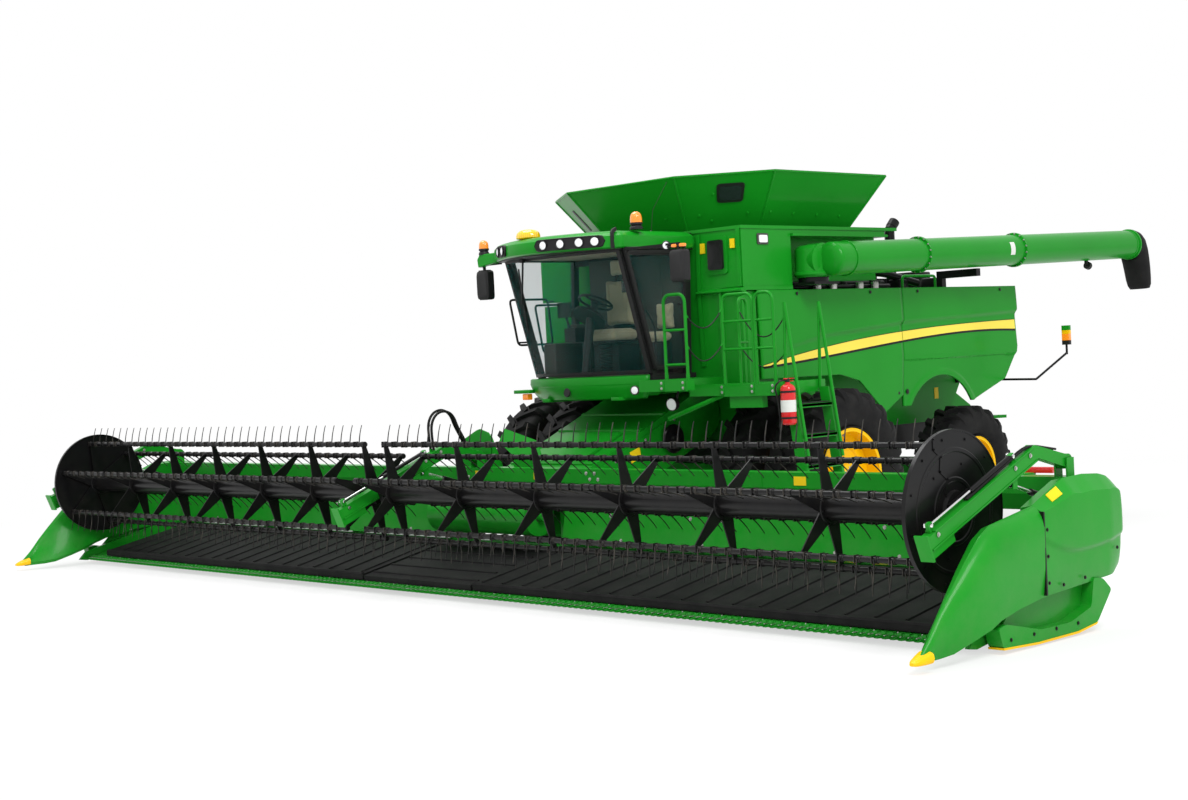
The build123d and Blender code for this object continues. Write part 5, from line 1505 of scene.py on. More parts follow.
@dataclass(frozen=True)
class GrainTank:
    """Panels, plates and lamps on the tank, and the folding extension's seams, window and slots."""

    front: float = -0.65
    wall_x: float = 1.62
    top: float = 3.65
    extension_top: float = 4.25
    seam_radius: float = 0.011
    corners: tuple = (((0.62, -0.42), (0.87, -0.86)), ((1.29, 0.03), (1.78, -0.22)),
                      ((1.29, 1.56), (1.78, 1.72)))

    def front_wall(self) -> Skin:
        """Bevelled corner pillars, a frame and the ledge along the wall beside the cab."""
        pillar = []
        for line in ([(1.0, 3.6), (0.98, 3.0), (1.0, 2.16)], [(1.58, 3.62), (1.585, 3.0)],
                     [(1.3, 2.95), (1.3, 2.16)]):
            path = np.array([at(x, self.front - 0.006, z) for x, z in line])
            pillar.append(along(path,
                                np.array([[-0.03, -0.01], [-0.018, 0.014], [0.018, 0.014], [0.03, -0.01]])))
        ledge = slab([(self.front - 0.05, 2.955), (self.front, 2.94), (self.front + 0.03, 2.94),
                      (self.front + 0.03, 2.995), (self.front, 2.995), (self.front - 0.05, 2.97)], 0.96,
                     self.wall_x + 0.01)
        frame = slab(rounded_outline(rectangle(1.12, 3.15, 1.42, 3.56), 0.04), self.front - 0.02,
                     self.front + 0.01, Axis3.Y)
        return join([*pillar, ledge, frame])

    def panels(self) -> Skin:
        """Pressed ribs and rims on the pod, over the auger and along the tank's top edge."""
        rim = slab(rectangle(self.front - 0.012, self.top - 0.03, 2.062, self.top + 0.006), -1.632, 1.632)
        cover = slab([(0.16, 3.545), (1.84, 3.545), (1.86, 3.56), (1.84, 3.575), (0.16, 3.575)], 1.29, 1.66)
        foot = slab(rectangle(self.front, 2.958, 0.15, 3.0), 1.3, self.wall_x + 0.012)
        return join([rim, cover, foot])

    def vent(self) -> Skin:
        """The black intake in the front wall: a deep frame with slanting faces."""
        outer = rounded_outline(rectangle(1.16, 3.2, 1.375, 3.52), 0.03)
        inner = rounded_outline(rectangle(1.215, 3.29, 1.32, 3.46), 0.02)
        rows = []
        for outline, station in ((outer, self.front - 0.018), (outer, self.front - 0.05),
                                 (inner, self.front - 0.022)):
            rows.append(standing(outline, station))
        return loft(rows)

    def plates(self) -> Skin:
        """Plain yellow plates beside the intake and on the pod."""
        shapes = []
        for low_x, high_x, low_z, high_z in ((1.02, 1.09, 3.39, 3.5), (1.465, 1.53, 3.42, 3.52)):
            shapes.append(slab(rectangle(low_x, low_z, high_x, high_z), self.front - 0.014,
                               self.front + 0.004, Axis3.Y))
        return join(shapes)

    def lamp(self) -> tuple[Skin, Skin]:
        """The square white lamp on the pod's side: its bezel and lens."""
        bezel = slab(rounded_outline(rectangle(-0.4, 3.45, -0.22, 3.57), 0.02), self.wall_x - 0.01,
                     self.wall_x + 0.012)
        lens = slab(rounded_outline(rectangle(-0.375, 3.47, -0.245, 3.55), 0.015), self.wall_x,
                    self.wall_x + 0.022)
        return bezel, lens

    def extension_point(self, corner_low: tuple[float, float], corner_high: tuple[float, float], share: Array,
                        out: float = 0.0) -> Array:
        """Points between a lower and an upper corner (x, station), moved outwards by out."""
        share = np.asarray(share, float)[:, None]
        low = np.array([corner_low[0], corner_low[1] + AXLE_Y, self.top])
        high = np.array([corner_high[0], corner_high[1] + AXLE_Y, self.extension_top])
        outward = np.array([corner_high[0], corner_high[1] - 0.6, 0.0])
        outward = unit(outward)
        return low + share * (high - low) + out * outward

    def extension_seams(self) -> Skin:
        """Folded joints at the corners of the flared extension, and the roll along its upper edge."""
        ribs = []
        for low, high in self.corners:
            path = self.extension_point(low, high, np.linspace(0.03, 0.985, 6), 0.002)
            ribs.append(along(path, ring(self.seam_radius, 8)))
        z = self.extension_top - self.seam_radius
        edge = route((0.0, -0.86, z), (0.862, -0.853, z), (1.768, -0.216, z), (1.768, 1.708, z),
                     (0.0, 1.708, z))
        return join([*ribs, along(edge, ring(self.seam_radius, 8))]).both_sides()

    def on_panel(self, corners: Sequence[tuple[float, float]], across: Array, up: Array, out: float) -> Array:
        """Points on a flared panel: corners are lower and upper ends (x, station) of its two edges."""
        low_a, high_a, low_b, high_b = (np.array([x, station + AXLE_Y]) for x, station in corners)
        across, up = across[..., None], up[..., None]
        low = low_a + across * (low_b - low_a)
        high = high_a + across * (high_b - high_a)
        plan = low + up * (high - low)
        z = self.top + up * (self.extension_top - self.top)
        edge_direction = low_b - low_a
        rise = (high_a + high_b - low_a - low_b) / 2
        normal = np.cross(np.append(edge_direction, 0.0), np.append(rise, self.extension_top - self.top))
        normal = unit(normal)
        return np.concatenate([plan, z], -1) + out * normal

    def panel_patch(self, corners: Sequence[tuple[float, float]], across: tuple[float, float],
                    up: tuple[float, float], round_off: float, out: tuple[float, float]) -> Skin:
        """A thin raised patch with rounded corners on a flared panel."""
        outline = rounded_outline(rectangle(across[0], up[0], across[1], up[1]), round_off)
        rows = [self.on_panel(corners, outline[:, 0], outline[:, 1], depth) for depth in out]
        return loft(rows)

    def build(self) -> None:
        """Makes everything on the tank and its extension."""
        inner, middle, rear = self.corners
        far_inner, far_middle = ([(-x, station) for x, station in corner] for corner in (inner, middle))
        diagonal, side = [*inner, *middle], [*middle, *rear]
        frontal, far = [*far_inner, *inner], [*far_middle, *far_inner]
        Piece("tank_pressings", GREEN).make(join([self.front_wall(), self.panels()]))
        Piece("tank_vent", BLACK_PLASTIC).make(self.vent())
        Piece("tank_plates", LABEL).make(self.plates())
        bezel, lens = self.lamp()
        Piece("tank_lamp_bezel", GREY_PLASTIC).make(bezel)
        Piece("tank_lamp_lens", CLEAR_LENS).make(lens)
        Piece("extension_seams", GREEN).make(self.extension_seams())
        window = self.panel_patch(diagonal, (0.42, 0.72), (0.5, 0.82), 0.05, (-0.004, 0.012))
        Piece("extension_window_frame", BLACK_PLASTIC).make(window)
        pane = self.panel_patch(diagonal, (0.45, 0.69), (0.54, 0.78), 0.04, (0.004, 0.0145))
        Piece("extension_window", DARK_GLASS).make(pane)
        slots = self.panel_patch(far, (0.4, 0.5), (0.3, 0.72), 0.03, (-0.002, 0.006))
        Piece("extension_slots", BLACK_PLASTIC).make(slots)
        fixings = [self.on_panel(side, np.array([a]), np.array([b]), 0.0)[0]
                   for a, b in ((0.06, 0.3), (0.3, 0.28), (0.55, 0.27), (0.8, 0.26), (0.2, 0.05),
                                (0.7, 0.05))]
        fixings += [self.on_panel(diagonal, np.array([a]), np.array([b]), 0.0)[0]
                    for a, b in ((0.2, 0.3), (0.35, 0.2), (0.8, 0.3), (0.38, 0.66))]
        fixings += [self.on_panel(frontal, np.array([a]), np.array([b]), 0.0)[0]
                    for a, b in ((0.8, 0.3), (0.2, 0.3))]
        Piece("extension_bolts", GREEN).make(bolts(fixings, (0.7, -0.3, -0.4), 0.014, 0.012))
        braces = [slab([(station, 3.655), (station + 0.05, 3.655), (station + 0.05, 3.72), (station, 3.7)],
                       1.05, 1.3) for station in (0.3, 1.2)]
        Piece("extension_brackets", GREEN).make(join(braces).both_sides())


@dataclass(frozen=True)
class UnloadingAuger:
    """Elbow, flange rings, bolts, marker film, lamp and the rubber spout of the unloading tube."""

    x: float = 2.0
    start: float = 0.39
    start_height: float = 3.265
    end: float = 6.6
    end_height: float = 3.462
    radius: float = 0.185
    turret_x: float = 1.73

    def axis(self) -> Array:
        """The tube's direction."""
        direction = np.array([0.0, self.end - self.start, self.end_height - self.start_height])
        return unit(direction)

    def point(self, station: float) -> Array:
        """The tube's middle at a station."""
        share = (station - self.start) / (self.end - self.start)
        return at(self.x, station, self.start_height + share * (self.end_height - self.start_height))

    def collar(self, station: float, width: float, height: float) -> Skin:
        """One flange ring round the tube."""
        profile = [(-width / 2, self.radius - 0.004), (-width / 2, self.radius + height - 0.003),
                   (-width / 2 + 0.003, self.radius + height), (width / 2 - 0.003, self.radius + height),
                   (width / 2, self.radius + height - 0.003), (width / 2, self.radius - 0.004)]
        return lathe(profile, self.point(station), 56, self.axis(), closed=True)

    def elbow(self) -> Skin:
        """The rounded end where the tube meets the turret: radius times cos^0.6 towards its pole."""
        t = np.linspace(0, math.pi / 2 - 0.02, 10)
        profile = [(-0.07 * math.sin(angle), self.radius * 1.02 * math.cos(angle) ** 0.6) for angle in t]
        start = self.point(self.start)
        dome = lathe([(0.09, self.radius * 1.02), *profile], start, 56, self.axis())
        low = at(self.turret_x, self.start, self.start_height)
        round_end = [(-0.19 * math.sin(angle), 0.187 * math.cos(angle) ** 0.7) for angle in t]
        cross = lathe([(0.18, 0.12), (0.15, 0.187), (0.0, 0.187), *round_end], low, 56, start - low)
        dome = dome + cross
        neck = lathe([(3.095, 0.205), (3.11, 0.215), (3.13, 0.215), (3.145, 0.2), (3.39, 0.197),
                      (3.43, 0.15), (3.44, 0.05)], at(self.turret_x, self.start, 0.0), 56, UP)
        return dome + neck

    def spout(self) -> Skin:
        """The drooping boot: a rounded box section swept from the tube's end down to its lip.

        A section is a closed curve |cos t|^0.6, |sin t|^0.6; it starts as the tube's circle.
        """
        rows = np.array([(6.605, 3.462, 0.0, 0.205, 0.2), (6.66, 3.455, 10, 0.2, 0.19),
                         (6.705, 3.42, 30, 0.188, 0.18), (6.74, 3.34, 52, 0.18, 0.165),
                         (6.77, 3.24, 66, 0.175, 0.143), (6.795, 3.12, 76, 0.168, 0.13),
                         (6.815, 3.0, 80, 0.16, 0.118), (6.832, 2.92, 82, 0.15, 0.1),
                         (6.842, 2.87, 84, 0.13, 0.07)])
        t = np.arange(40) * TAU / 40
        power = np.linspace(1.0, 0.6, len(rows))[:, None]
        side = np.sign(np.cos(t)) * np.abs(np.cos(t)) ** power
        lift = np.sign(np.sin(t)) * np.abs(np.sin(t)) ** power
        lean = np.radians(rows[:, 2])[:, None]
        points = np.stack([
            self.x + rows[:, 3:4] * side,
            rows[:, 0:1] + AXLE_Y + rows[:, 4:5] * lift * np.sin(lean),
            rows[:, 1:2] + rows[:, 4:5] * lift * np.cos(lean)], -1)
        mouth = points[-1]
        inner = mouth.mean(0) + (mouth - mouth.mean(0)) * 0.86
        deep = inner + np.array([0, -0.01, 0.12])
        return loft([*points, inner, deep])

    def build(self) -> None:
        """Makes the auger's pieces."""
        rings = [self.collar(station, 0.034, 0.026) for station in (1.95, 3.9)]
        rings += [self.collar(0.62, 0.02, 0.012), self.collar(6.585, 0.03, 0.016),
                  self.collar(6.52, 0.012, 0.006)]
        Piece("auger_elbow", GREEN, "folding_auger").make(join([self.elbow(), *rings]))
        fixings = []
        for station in (1.95, 3.9):
            middle = self.point(station)
            places = circle_in_plane(middle, self.radius + 0.014, 16, self.axis()) - 0.017 * self.axis()
            fixings.append(bolts(places, -self.axis(), 0.009, 0.012))
        fixings.append(bolts(circle_in_plane(self.point(6.585), self.radius + 0.008, 12, self.axis()),
                             self.axis(), 0.008, 0.01))
        Piece("auger_bolts", BRIGHT, "folding_auger").make(join(fixings))
        Piece("auger_boot", SPOUT, "folding_auger", sharp=45.0, replaces=("auger_spout",)).make(self.spout())
        angle = np.linspace(-0.35, 0.5, 9)
        spokes = np.stack([np.cos(angle), np.zeros(9), np.sin(angle)], 1)
        arc = self.point(3.62) + (self.radius + 0.0025) * spokes
        near, far = arc - 0.045 * self.axis(), arc + 0.045 * self.axis()
        inner = np.array([0.004, 0, 0])
        film = surface(np.stack([near, far, far - inner, near - inner]), wrap_rows=True)
        Piece("auger_marker_film", WHITE_LABEL, "folding_auger").make(film)
        hang = self.point(5.55) - np.array([0, 0, self.radius + 0.055])
        lamp = lathe([(0.0, 0.05), (0.05, 0.05), (0.06, 0.04), (0.06, 0.0)], hang, 24, (0, 1, -0.3))
        bracket = block(hang + np.array([-0.02, -0.03, 0.0]), hang + np.array([0.02, 0.01, 0.07]))
        Piece("auger_lamp", BLACK_PLASTIC, "folding_auger").make(lamp + bracket)


def circle_in_plane(centre: Array, radius: float, count: int, axis: Array) -> Array:
    """Points on a circle square to an axis."""
    side = np.cross(axis, [1.0, 0.0, 0.0])
    side /= np.linalg.norm(side)
    lift = np.cross(axis, side)
    angle = (np.arange(count) + 0.5) * TAU / count
    return centre + radius * (np.cos(angle)[:, None] * side + np.sin(angle)[:, None] * lift)


# ------------------------------------------------------------------ cab
@dataclass(frozen=True)
class Cab:
    """Roof, lamps, beacons, glass trims, door frame, mirrors, controls and linings."""

    half_width: float = 0.93
    roof_half: float = 1.04
    roof_side_station: float = -1.86
    roof_bow: float = 0.4
    lamp_height: float = 3.535

    def roof_outline(self, inset: float) -> Array:
        """The roof's rim in plan: an arc across the front, straight sides and a square back."""
        t = np.linspace(-1, 1, 41)
        x = self.roof_half * t
        station = self.roof_side_station - self.roof_bow * (1 - t ** 2)
        back = np.array([(1.0, -0.69), (-1.0, -0.69)])
        ring_points = np.concatenate([np.column_stack([x, station]), back])
        centre = np.array([0.0, -1.35])
        away = ring_points - centre
        length = np.linalg.norm(away, axis=1, keepdims=True)
        return centre + away * (length - inset) / length

    def roof_shell(self) -> Skin:
        """The moulded cap: rings of the rim outline that step in and up."""
        rows = []
        for inset, z in ((0.03, 3.452), (0.004, 3.465), (-0.01, 3.52), (0.0, 3.585), (0.04, 3.622),
                         (0.12, 3.642), (0.3, 3.652), (0.6, 3.655)):
            plan = rounded(self.roof_outline(inset), 0.09 if inset < 0.3 else 0.05)
            rows.append(level(plan, z))
        return loft(rows)

    def under_roof(self) -> Skin:
        """The black visor below the roof's rim, open over the glass."""
        rows = []
        for inset, z in ((0.05, 3.44), (0.035, 3.47), (0.4, 3.47), (0.4, 3.44)):
            plan = self.roof_outline(inset)
            rows.append(level(plan, z))
        return surface(np.stack(rows), wrap_columns=True, wrap_rows=True)

    def rim_point(self, x: float, z: float, out: float = 0.0) -> Array:
        """A point on the roof's front face at x."""
        station = self.roof_side_station - self.roof_bow * (1 - (x / self.roof_half) ** 2)
        return at(x, station - out, z)

    def rim_direction(self, x: float) -> Array:
        """Outward direction of the roof's front face at x."""
        slope = 2 * self.roof_bow * x / self.roof_half ** 2
        return unit(np.array([slope, -1.0, 0.0]))

    def lamp_pod(self, low: float, high: float) -> Skin:
        """A black recessed bar that follows the roof's front between two x values."""
        x = np.linspace(low, high, 30)
        end = np.clip(np.minimum(x - low, high - x) / 0.06, 0, 1)
        half = 0.06 * np.sqrt(1 - (1 - end) ** 2) + 0.004
        rows = []
        for depth, scale in ((-0.03, 1.0), (0.02, 1.0), (0.024, 0.94), (0.018, 0.86)):
            upper, lower = (np.array([self.rim_point(place, self.lamp_height + side * scale * reach, depth)
                                      for place, reach in zip(x, half)]) for side in (1, -1))
            rows.append(np.concatenate([upper, lower[::-1]]))
        return loft(rows)

    def round_lamps(self) -> tuple[Skin, Skin]:
        """The round work lamps in the roof's pods: bezels and lenses."""
        bezels, lenses = [], []
        for x in (0.235, 0.448, 0.65, 0.804, -0.69, -0.54):
            out = self.rim_direction(x)
            centre = self.rim_point(x, self.lamp_height, 0.012)
            bezels.append(lathe([(-0.01, 0.05), (0.014, 0.053), (0.02, 0.05), (0.016, 0.045), (0.0, 0.043)],
                                centre, 32, out))
            lenses.append(lathe([(0.002, 0.0455), (0.01, 0.0445), (0.017, 0.03), (0.02, 0.01)], centre, 32,
                                out))
        return join(bezels), join(lenses)

    def beacon(self, x: float, station: float, base: float, radius: float,
               height: float) -> tuple[Skin, Skin]:
        """A rotating beacon: black foot and domed lens, radius*sqrt(1-t^4)."""
        t = np.linspace(0, 0.97, 9)
        dome = [(0.02, radius), *[(0.02 + height * value, radius * (1 - value ** 4) ** 0.5)
                                  for value in t[1:]]]
        foot = lathe([(-0.05, 0.012), (-0.05, 0.02), (0.0, 0.022), (0.0, radius * 1.05),
                      (0.022, radius * 1.05)], at(x, station, base), 32, UP)
        return foot, lathe(dome, at(x, station, base), 32, UP)

    def receiver(self) -> Skin:
        """The domed position receiver on the roof's front edge: an oval cap."""
        angle = np.arange(48) * TAU / 48
        rows = []
        for share, z in ((0.92, 3.622), (1.0, 3.632), (1.0, 3.655), (0.93, 3.685), (0.72, 3.71),
                         (0.4, 3.722)):
            rows.append(np.column_stack([-0.22 + 0.15 * share * np.cos(angle),
                                         -2.06 + AXLE_Y + 0.12 * share * np.sin(angle),
                                         np.full(48, z + 0.024)]))
        return loft(rows)

    def windshield(self, x: Array, share: Array, out: float) -> Array:
        """Points on the bowed front glass at x (or a share of its width) and a share of its height."""
        side = np.interp(share, [0, 1], [-1.415, -1.805])
        middle = np.interp(share, [0, 1], [-1.66, -1.96])
        station = side + (middle - side) * (1 - (x / self.half_width) ** 2)
        z = 2.12 + share * 1.33
        return np.stack([x, station + AXLE_Y - out, z], -1)

    def glass_border(self) -> Skin:
        """The printed black margin round the front glass."""
        strips = []
        x = np.linspace(-0.925, 0.925, 41)
        for low, high in ((0.0, 0.03), (0.975, 1.0)):
            rows = [self.windshield(x, np.full(41, share), depth)
                    for share, depth in rectangle(low, 0.004, high, -0.012)]
            strips.append(surface(np.stack(rows), wrap_rows=True))
        share = np.linspace(0, 1, 21)
        for side in (-1, 1):
            rows = [self.windshield(np.full(21, side * edge), share, depth)
                    for edge, depth in rectangle(0.89, 0.004, self.half_width, -0.012)]
            strips.append(surface(np.stack(rows), wrap_rows=True))
        return join(strips)

    def wiper(self) -> Skin:
        """The long arm and blade across the front glass."""
        low = self.windshield(np.array([-0.45]), np.array([0.985]), 0.035)[0]
        high = self.windshield(np.array([-0.72]), np.array([0.62]), 0.03)[0]
        blade = self.windshield(np.linspace(-0.62, -0.76, 9), np.linspace(0.92, 0.4, 9), 0.012)
        return join([tube(np.stack([low, high]), 0.011, 8), tube(blade, 0.009, 8),
                     lathe([(-0.03, 0.0), (-0.03, 0.03), (0.02, 0.028), (0.03, 0.02)], low, 20, (0, 1, 0))])

    def door_line(self, height: Array) -> tuple[Array, Array]:
        """Stations of the door's front and rear edges at a height."""
        share = (np.asarray(height) - 2.16) / 1.27
        return -1.39 - 0.37 * share, -0.895 + 0.07 * share

    def door_trim(self) -> Skin:
        """The raised rubber frame round the door, its handle and the curved rear bar."""
        z = np.linspace(2.17, 3.42, 12)
        front, back = self.door_line(z)
        outline = np.concatenate([np.column_stack([front + 0.02, z]),
                                  np.column_stack([back - 0.02, z])[::-1]])
        path = rounded(outline, 0.06)
        line = np.column_stack([np.full(len(path), 0.978), path[:, 0] + AXLE_Y, path[:, 1]])
        frame = along(line, np.array([[-0.018, -0.006], [0.018, -0.006], [0.014, 0.006], [-0.014, 0.006]]),
                      closed=True)
        grip = tube(rounded(route((0.976, -0.97, 2.55), (1.03, -0.985, 2.56), (1.03, -1.0, 2.84),
                                  (0.976, -1.0, 2.85)), 0.02), 0.012, 10)
        rail = tube(rounded(route((0.93, -1.32, 2.4), (0.9, -1.3, 2.62), (0.93, -1.45, 2.8)), 0.05), 0.011,
                    10)
        return join([frame, grip, rail])

    def build(self) -> None:
        """Makes the outside of the cab."""
        Piece("roof_shell", GREEN, replaces=("cab_roof",)).make(self.roof_shell())
        Piece("roof_visor", BLACK_PLASTIC).make(self.under_roof())
        Piece("roof_pods", BLACK_PLASTIC).make(self.lamp_pod(0.12, 0.9) + self.lamp_pod(-0.74, -0.44))
        bezels, lenses = self.round_lamps()
        Piece("roof_lamp_bezels", BLACK_PLASTIC).make(bezels)
        Piece("roof_lamp_lenses", CLEAR_LENS).make(lenses)
        feet, domes = [], []
        for x, station, base, radius, height in ((-1.27, -1.82, 3.6, 0.056, 0.1),
                (1.0, -1.6, 3.7, 0.064, 0.12)):
            foot, dome = self.beacon(x, station, base, radius, height)
            feet.append(foot + lathe([(-0.05, radius * 1.1), (-0.03, radius * 1.1), (0.0, radius * 0.8)],
                                     at(x, station, base), 32, UP))
            domes.append(dome)
        Piece("beacon_feet", BLACK_PLASTIC).make(join(feet))
        Piece("beacon_domes", AMBER).make(join(domes))
        Piece("roof_receiver", DOME).make(self.receiver())
        Piece("roof_seams", BLACK_PLASTIC).make(self.rim_strip(1.0) + self.rim_strip(-1.0))
        strap = along(rounded(route((0.965, -1.93, 3.452), (0.965, -1.93, 3.63),
                                    (0.965 * 0.985, -1.86, 3.658)), 0.03),
                      rectangle(-0.018, -0.012, 0.018, 0.012))
        Piece("roof_straps", BLACK_PLASTIC).make(strap)
        Piece("beacon_bracket", GREEN, bevel=0.008).make(
            slab([(-1.33, 3.41), (-1.0, 3.45), (-1.0, 3.56), (-1.3, 3.555), (-1.345, 3.5)], -1.87, -1.79,
                 Axis3.Y))
        self.far_rails()
        antenna = tube(route((0.62, -1.0, 3.64), (0.64, -0.98, 3.9), (0.76, -0.86, 4.2)), 0.003, 6)
        foot = lathe([(0.0, 0.02), (0.03, 0.016), (0.04, 0.006)], at(0.62, -1.0, 3.64), 16, UP)
        Piece("roof_antenna", BLACK_PLASTIC).make(antenna + foot)
        Piece("glass_border", BLACK_PLASTIC).make(self.glass_border())
        Piece("front_wiper", BLACK_PLASTIC).make(self.wiper())
        Piece("door_trim", BLACK_PLASTIC, "cab_door_leaf").make(self.door_trim())
        self.lower_panel()
        self.mirrors()
        self.interior()

    def far_rails(self) -> None:
        """The black grab frame that stands off the cab's far side."""
        frames = []
        for x, low, high, front, back in ((-1.03, 2.5, 3.02, -1.58, -1.1), (-0.985, 2.4, 2.95, -1.24, -0.86)):
            corners = route((x, front, low), (x, front - 0.1, high), (x, back, high), (x, back + 0.05, low))
            frames.append(tube(rounded_outline(corners, 0.05), 0.013, 10, closed=True))
            frames.append(tube(route((x, front, low + 0.03), (-0.93, front + 0.2, low + 0.03)), 0.01, 8))
            frames.append(tube(route((x, back, high - 0.03), (-0.93, back, high - 0.03)), 0.01, 8))
        Piece("far_grab_rails", BLACK_PLASTIC).make(join(frames))

    def rim_strip(self, x: float) -> Skin:
        """A dark seam over the roof near its side."""
        station = np.linspace(-1.9, -0.72, 20)
        z = np.interp(station, [-1.9, -1.86, -0.72], [3.56, 3.6, 3.612])
        path = np.column_stack([np.full(20, x * 0.955), station + AXLE_Y, z + 0.008])
        return tube(path, 0.006, 6)

    def lower_panel(self) -> None:
        """The curved panel below the glass, its lamps and a bare badge place."""
        t = np.linspace(-1, 1, 31)
        rows = []
        for z, half, side, middle in ((1.85, 0.85, -1.405, -1.625), (1.865, 0.875, -1.43, -1.655),
                                      (1.95, 0.93, -1.468, -1.702), (2.04, 0.965, -1.486, -1.726),
                                      (2.098, 0.965, -1.48, -1.72), (2.108, 0.95, -1.46, -1.7)):
            rows.append(np.column_stack([half * t, side + (middle - side) * (1 - t ** 2) + AXLE_Y,
                                         np.full(31, z)]))
        front = surface(np.stack(rows))
        Piece("cab_apron", GREEN, shell=0.02).make(front)
        lip = []
        for x in (-1, 1):
            lip.append(block(at(x * 0.56 - 0.06, -1.62, 1.84), at(x * 0.56 + 0.06, -1.3, 1.88)))
        Piece("cab_feet", GREEN).make(join(lip))

        def face(x: float, out: float) -> Array:
            """A point in front of the panel, at the height of its lamps."""
            return at(x, -1.475 - 0.235 * (1 - (x / 0.93) ** 2) - out, 1.945)

        place, facing = face(0.8, 0.012), (0.35, -1, 0)
        lamp = lathe([(-0.02, 0.05), (0.012, 0.05), (0.014, 0.044), (0.004, 0.04)], place, 28, facing)
        lens = lathe([(-0.004, 0.041), (0.008, 0.04), (0.014, 0.02)], place, 28, facing)
        Piece("apron_lamp_bezel", GREY_PLASTIC).make(lamp)
        Piece("apron_lamp_lens", CLEAR_LENS).make(lens)
        badge = lathe([(-0.01, 0.05), (0.006, 0.05), (0.01, 0.046), (0.01, 0.01)], face(-0.1, 0.004), 28,
                      (0, -1, 0.1))
        Piece("apron_blank_boss", BLACK_PLASTIC).make(badge)
        side_lamp = slab(rounded_outline(rectangle(-1.54, 1.87, -1.47, 1.94), 0.014), -1.05, -0.96)
        Piece("apron_side_lamp", AMBER).make(side_lamp)
        Piece("far_step_plate", GREEN).make(block(at(-1.18, -1.56, 1.945), at(-0.9, -1.38, 1.985)))

    def mirrors(self) -> None:
        """Rounded mirror heads on their arms, and the small lamp above the left one."""
        heads, glasses = [], []
        for x in (1.8, -1.3):
            outline = rounded_outline(rectangle(x - 0.105, 3.04, x + 0.105, 3.375), 0.045)
            rows = []
            for inset, station in ((0.022, -1.857), (0.004, -1.84), (0.0, -1.81), (0.0, -1.755),
                                   (0.012, -1.748)):
                rows.append(standing(shrunk(outline, 1 - inset / 0.11), station))
            heads.append(loft(rows))
            glasses.append(slab(shrunk(outline, 0.86), -1.75, -1.745, Axis3.Y))
        Piece("mirror_heads", BLACK_PLASTIC).make(join(heads))
        Piece("mirror_glasses", MIRROR).make(join(glasses))
        markers = [block(at(x - 0.035, -1.82, 3.4), at(x + 0.035, -1.77, 3.435), 0.012) for x in (1.74, 1.85)]
        Piece("mirror_lamps", AMBER).make(join(markers))
        place, facing = at(1.62, -1.8, 3.43), (0.4, -1, 0)
        work = lathe([(-0.05, 0.02), (-0.03, 0.045), (0.0, 0.048), (0.01, 0.042), (0.0, 0.038)], place, 24,
                     facing)
        lens = lathe([(-0.004, 0.04), (0.004, 0.036), (0.012, 0.018)], place, 24, facing)
        Piece("mirror_work_lamp", BLACK_PLASTIC).make(work)
        Piece("mirror_work_lens", CLEAR_LENS).make(lens)
        rods = join([tube(route((-1.3, -1.82, 3.46), (-1.3, -1.8, 3.36)), 0.014, 10),
                     tube(route((1.0, -1.8, 3.45), (1.88, -1.79, 3.4)), 0.014, 10)])
        Piece("mirror_rods", BLACK_PLASTIC).make(rods)

    def interior(self) -> None:
        """Steering wheel and column, armrest console, screens, mat, linings and the second seat's base."""
        wheel_centre = at(-0.05, -1.26, 2.93)
        tilt = unit(np.array([0.0, 0.45, 0.9]))
        angle = np.arange(40) * TAU / 40
        side = np.array([1.0, 0.0, 0.0])
        lift = np.cross(tilt, side)
        ring_path = wheel_centre + 0.19 * (np.cos(angle)[:, None] * side + np.sin(angle)[:, None] * lift)
        spokes = [tube(np.stack([wheel_centre, ring_path[index]]), 0.012, 8) for index in (5, 15, 30)]
        column = tube(np.stack([wheel_centre - 0.03 * tilt, at(-0.05, -1.38, 2.55), at(-0.05, -1.42, 2.12)]),
                      0.042, 16)
        hub = lathe([(-0.04, 0.03), (-0.02, 0.055), (0.012, 0.055), (0.02, 0.03)], wheel_centre, 24, tilt)
        Piece("steering_wheel", BLACK_PLASTIC).make(
            join([tube(ring_path, 0.015, 12, closed=True), *spokes, column, hub]))
        arm = block(at(-0.45, -1.32, 2.62), at(-0.31, -0.98, 2.7), 0.02)
        arm_foot = block(at(-0.43, -1.15, 2.2), at(-0.33, -1.02, 2.64), 0.015)
        box_front = block(at(-0.8, -1.42, 2.12), at(-0.58, -0.92, 2.5), 0.04)
        lever = tube(route((-0.38, -1.27, 2.69), (-0.38, -1.29, 2.8)), 0.016, 12)
        knob = lathe([(0.0, 0.012), (0.01, 0.032), (0.05, 0.036), (0.085, 0.022)], at(-0.38, -1.29, 2.79),
                     20, (0, -0.2, 1))
        Piece("armrest_controls", GREY_PLASTIC).make(join([arm, arm_foot, box_front, lever, knob]))
        screens = [block(at(-0.52, -1.42, 2.78), at(-0.3, -1.4, 2.95), 0.01),
                   block(at(0.62, -1.5, 3.0), at(0.8, -1.48, 3.14), 0.01)]
        stalk = tube(route((-0.41, -1.33, 2.66), (-0.41, -1.4, 2.8)), 0.012, 8)
        Piece("cab_screens", DARK_GLASS, slot="black_plastic").make(join([*screens, stalk]))
        mat = block(at(-0.86, -1.38, 2.1), at(0.86, -0.8, 2.112))
        Piece("cab_mat", GREY_PLASTIC).make(mat)
        back = block(at(-0.62, -0.8, 2.1), at(0.86, -0.785, 3.42), 0.005)
        panels = [block(at(x, -0.81, low), at(x + 0.5, -0.799, high), 0.008)
                  for x in (-0.56, 0.04) for low, high in ((2.2, 2.7), (2.78, 3.36))]
        Piece("cab_lining", LINING).make(join([back, *panels]))
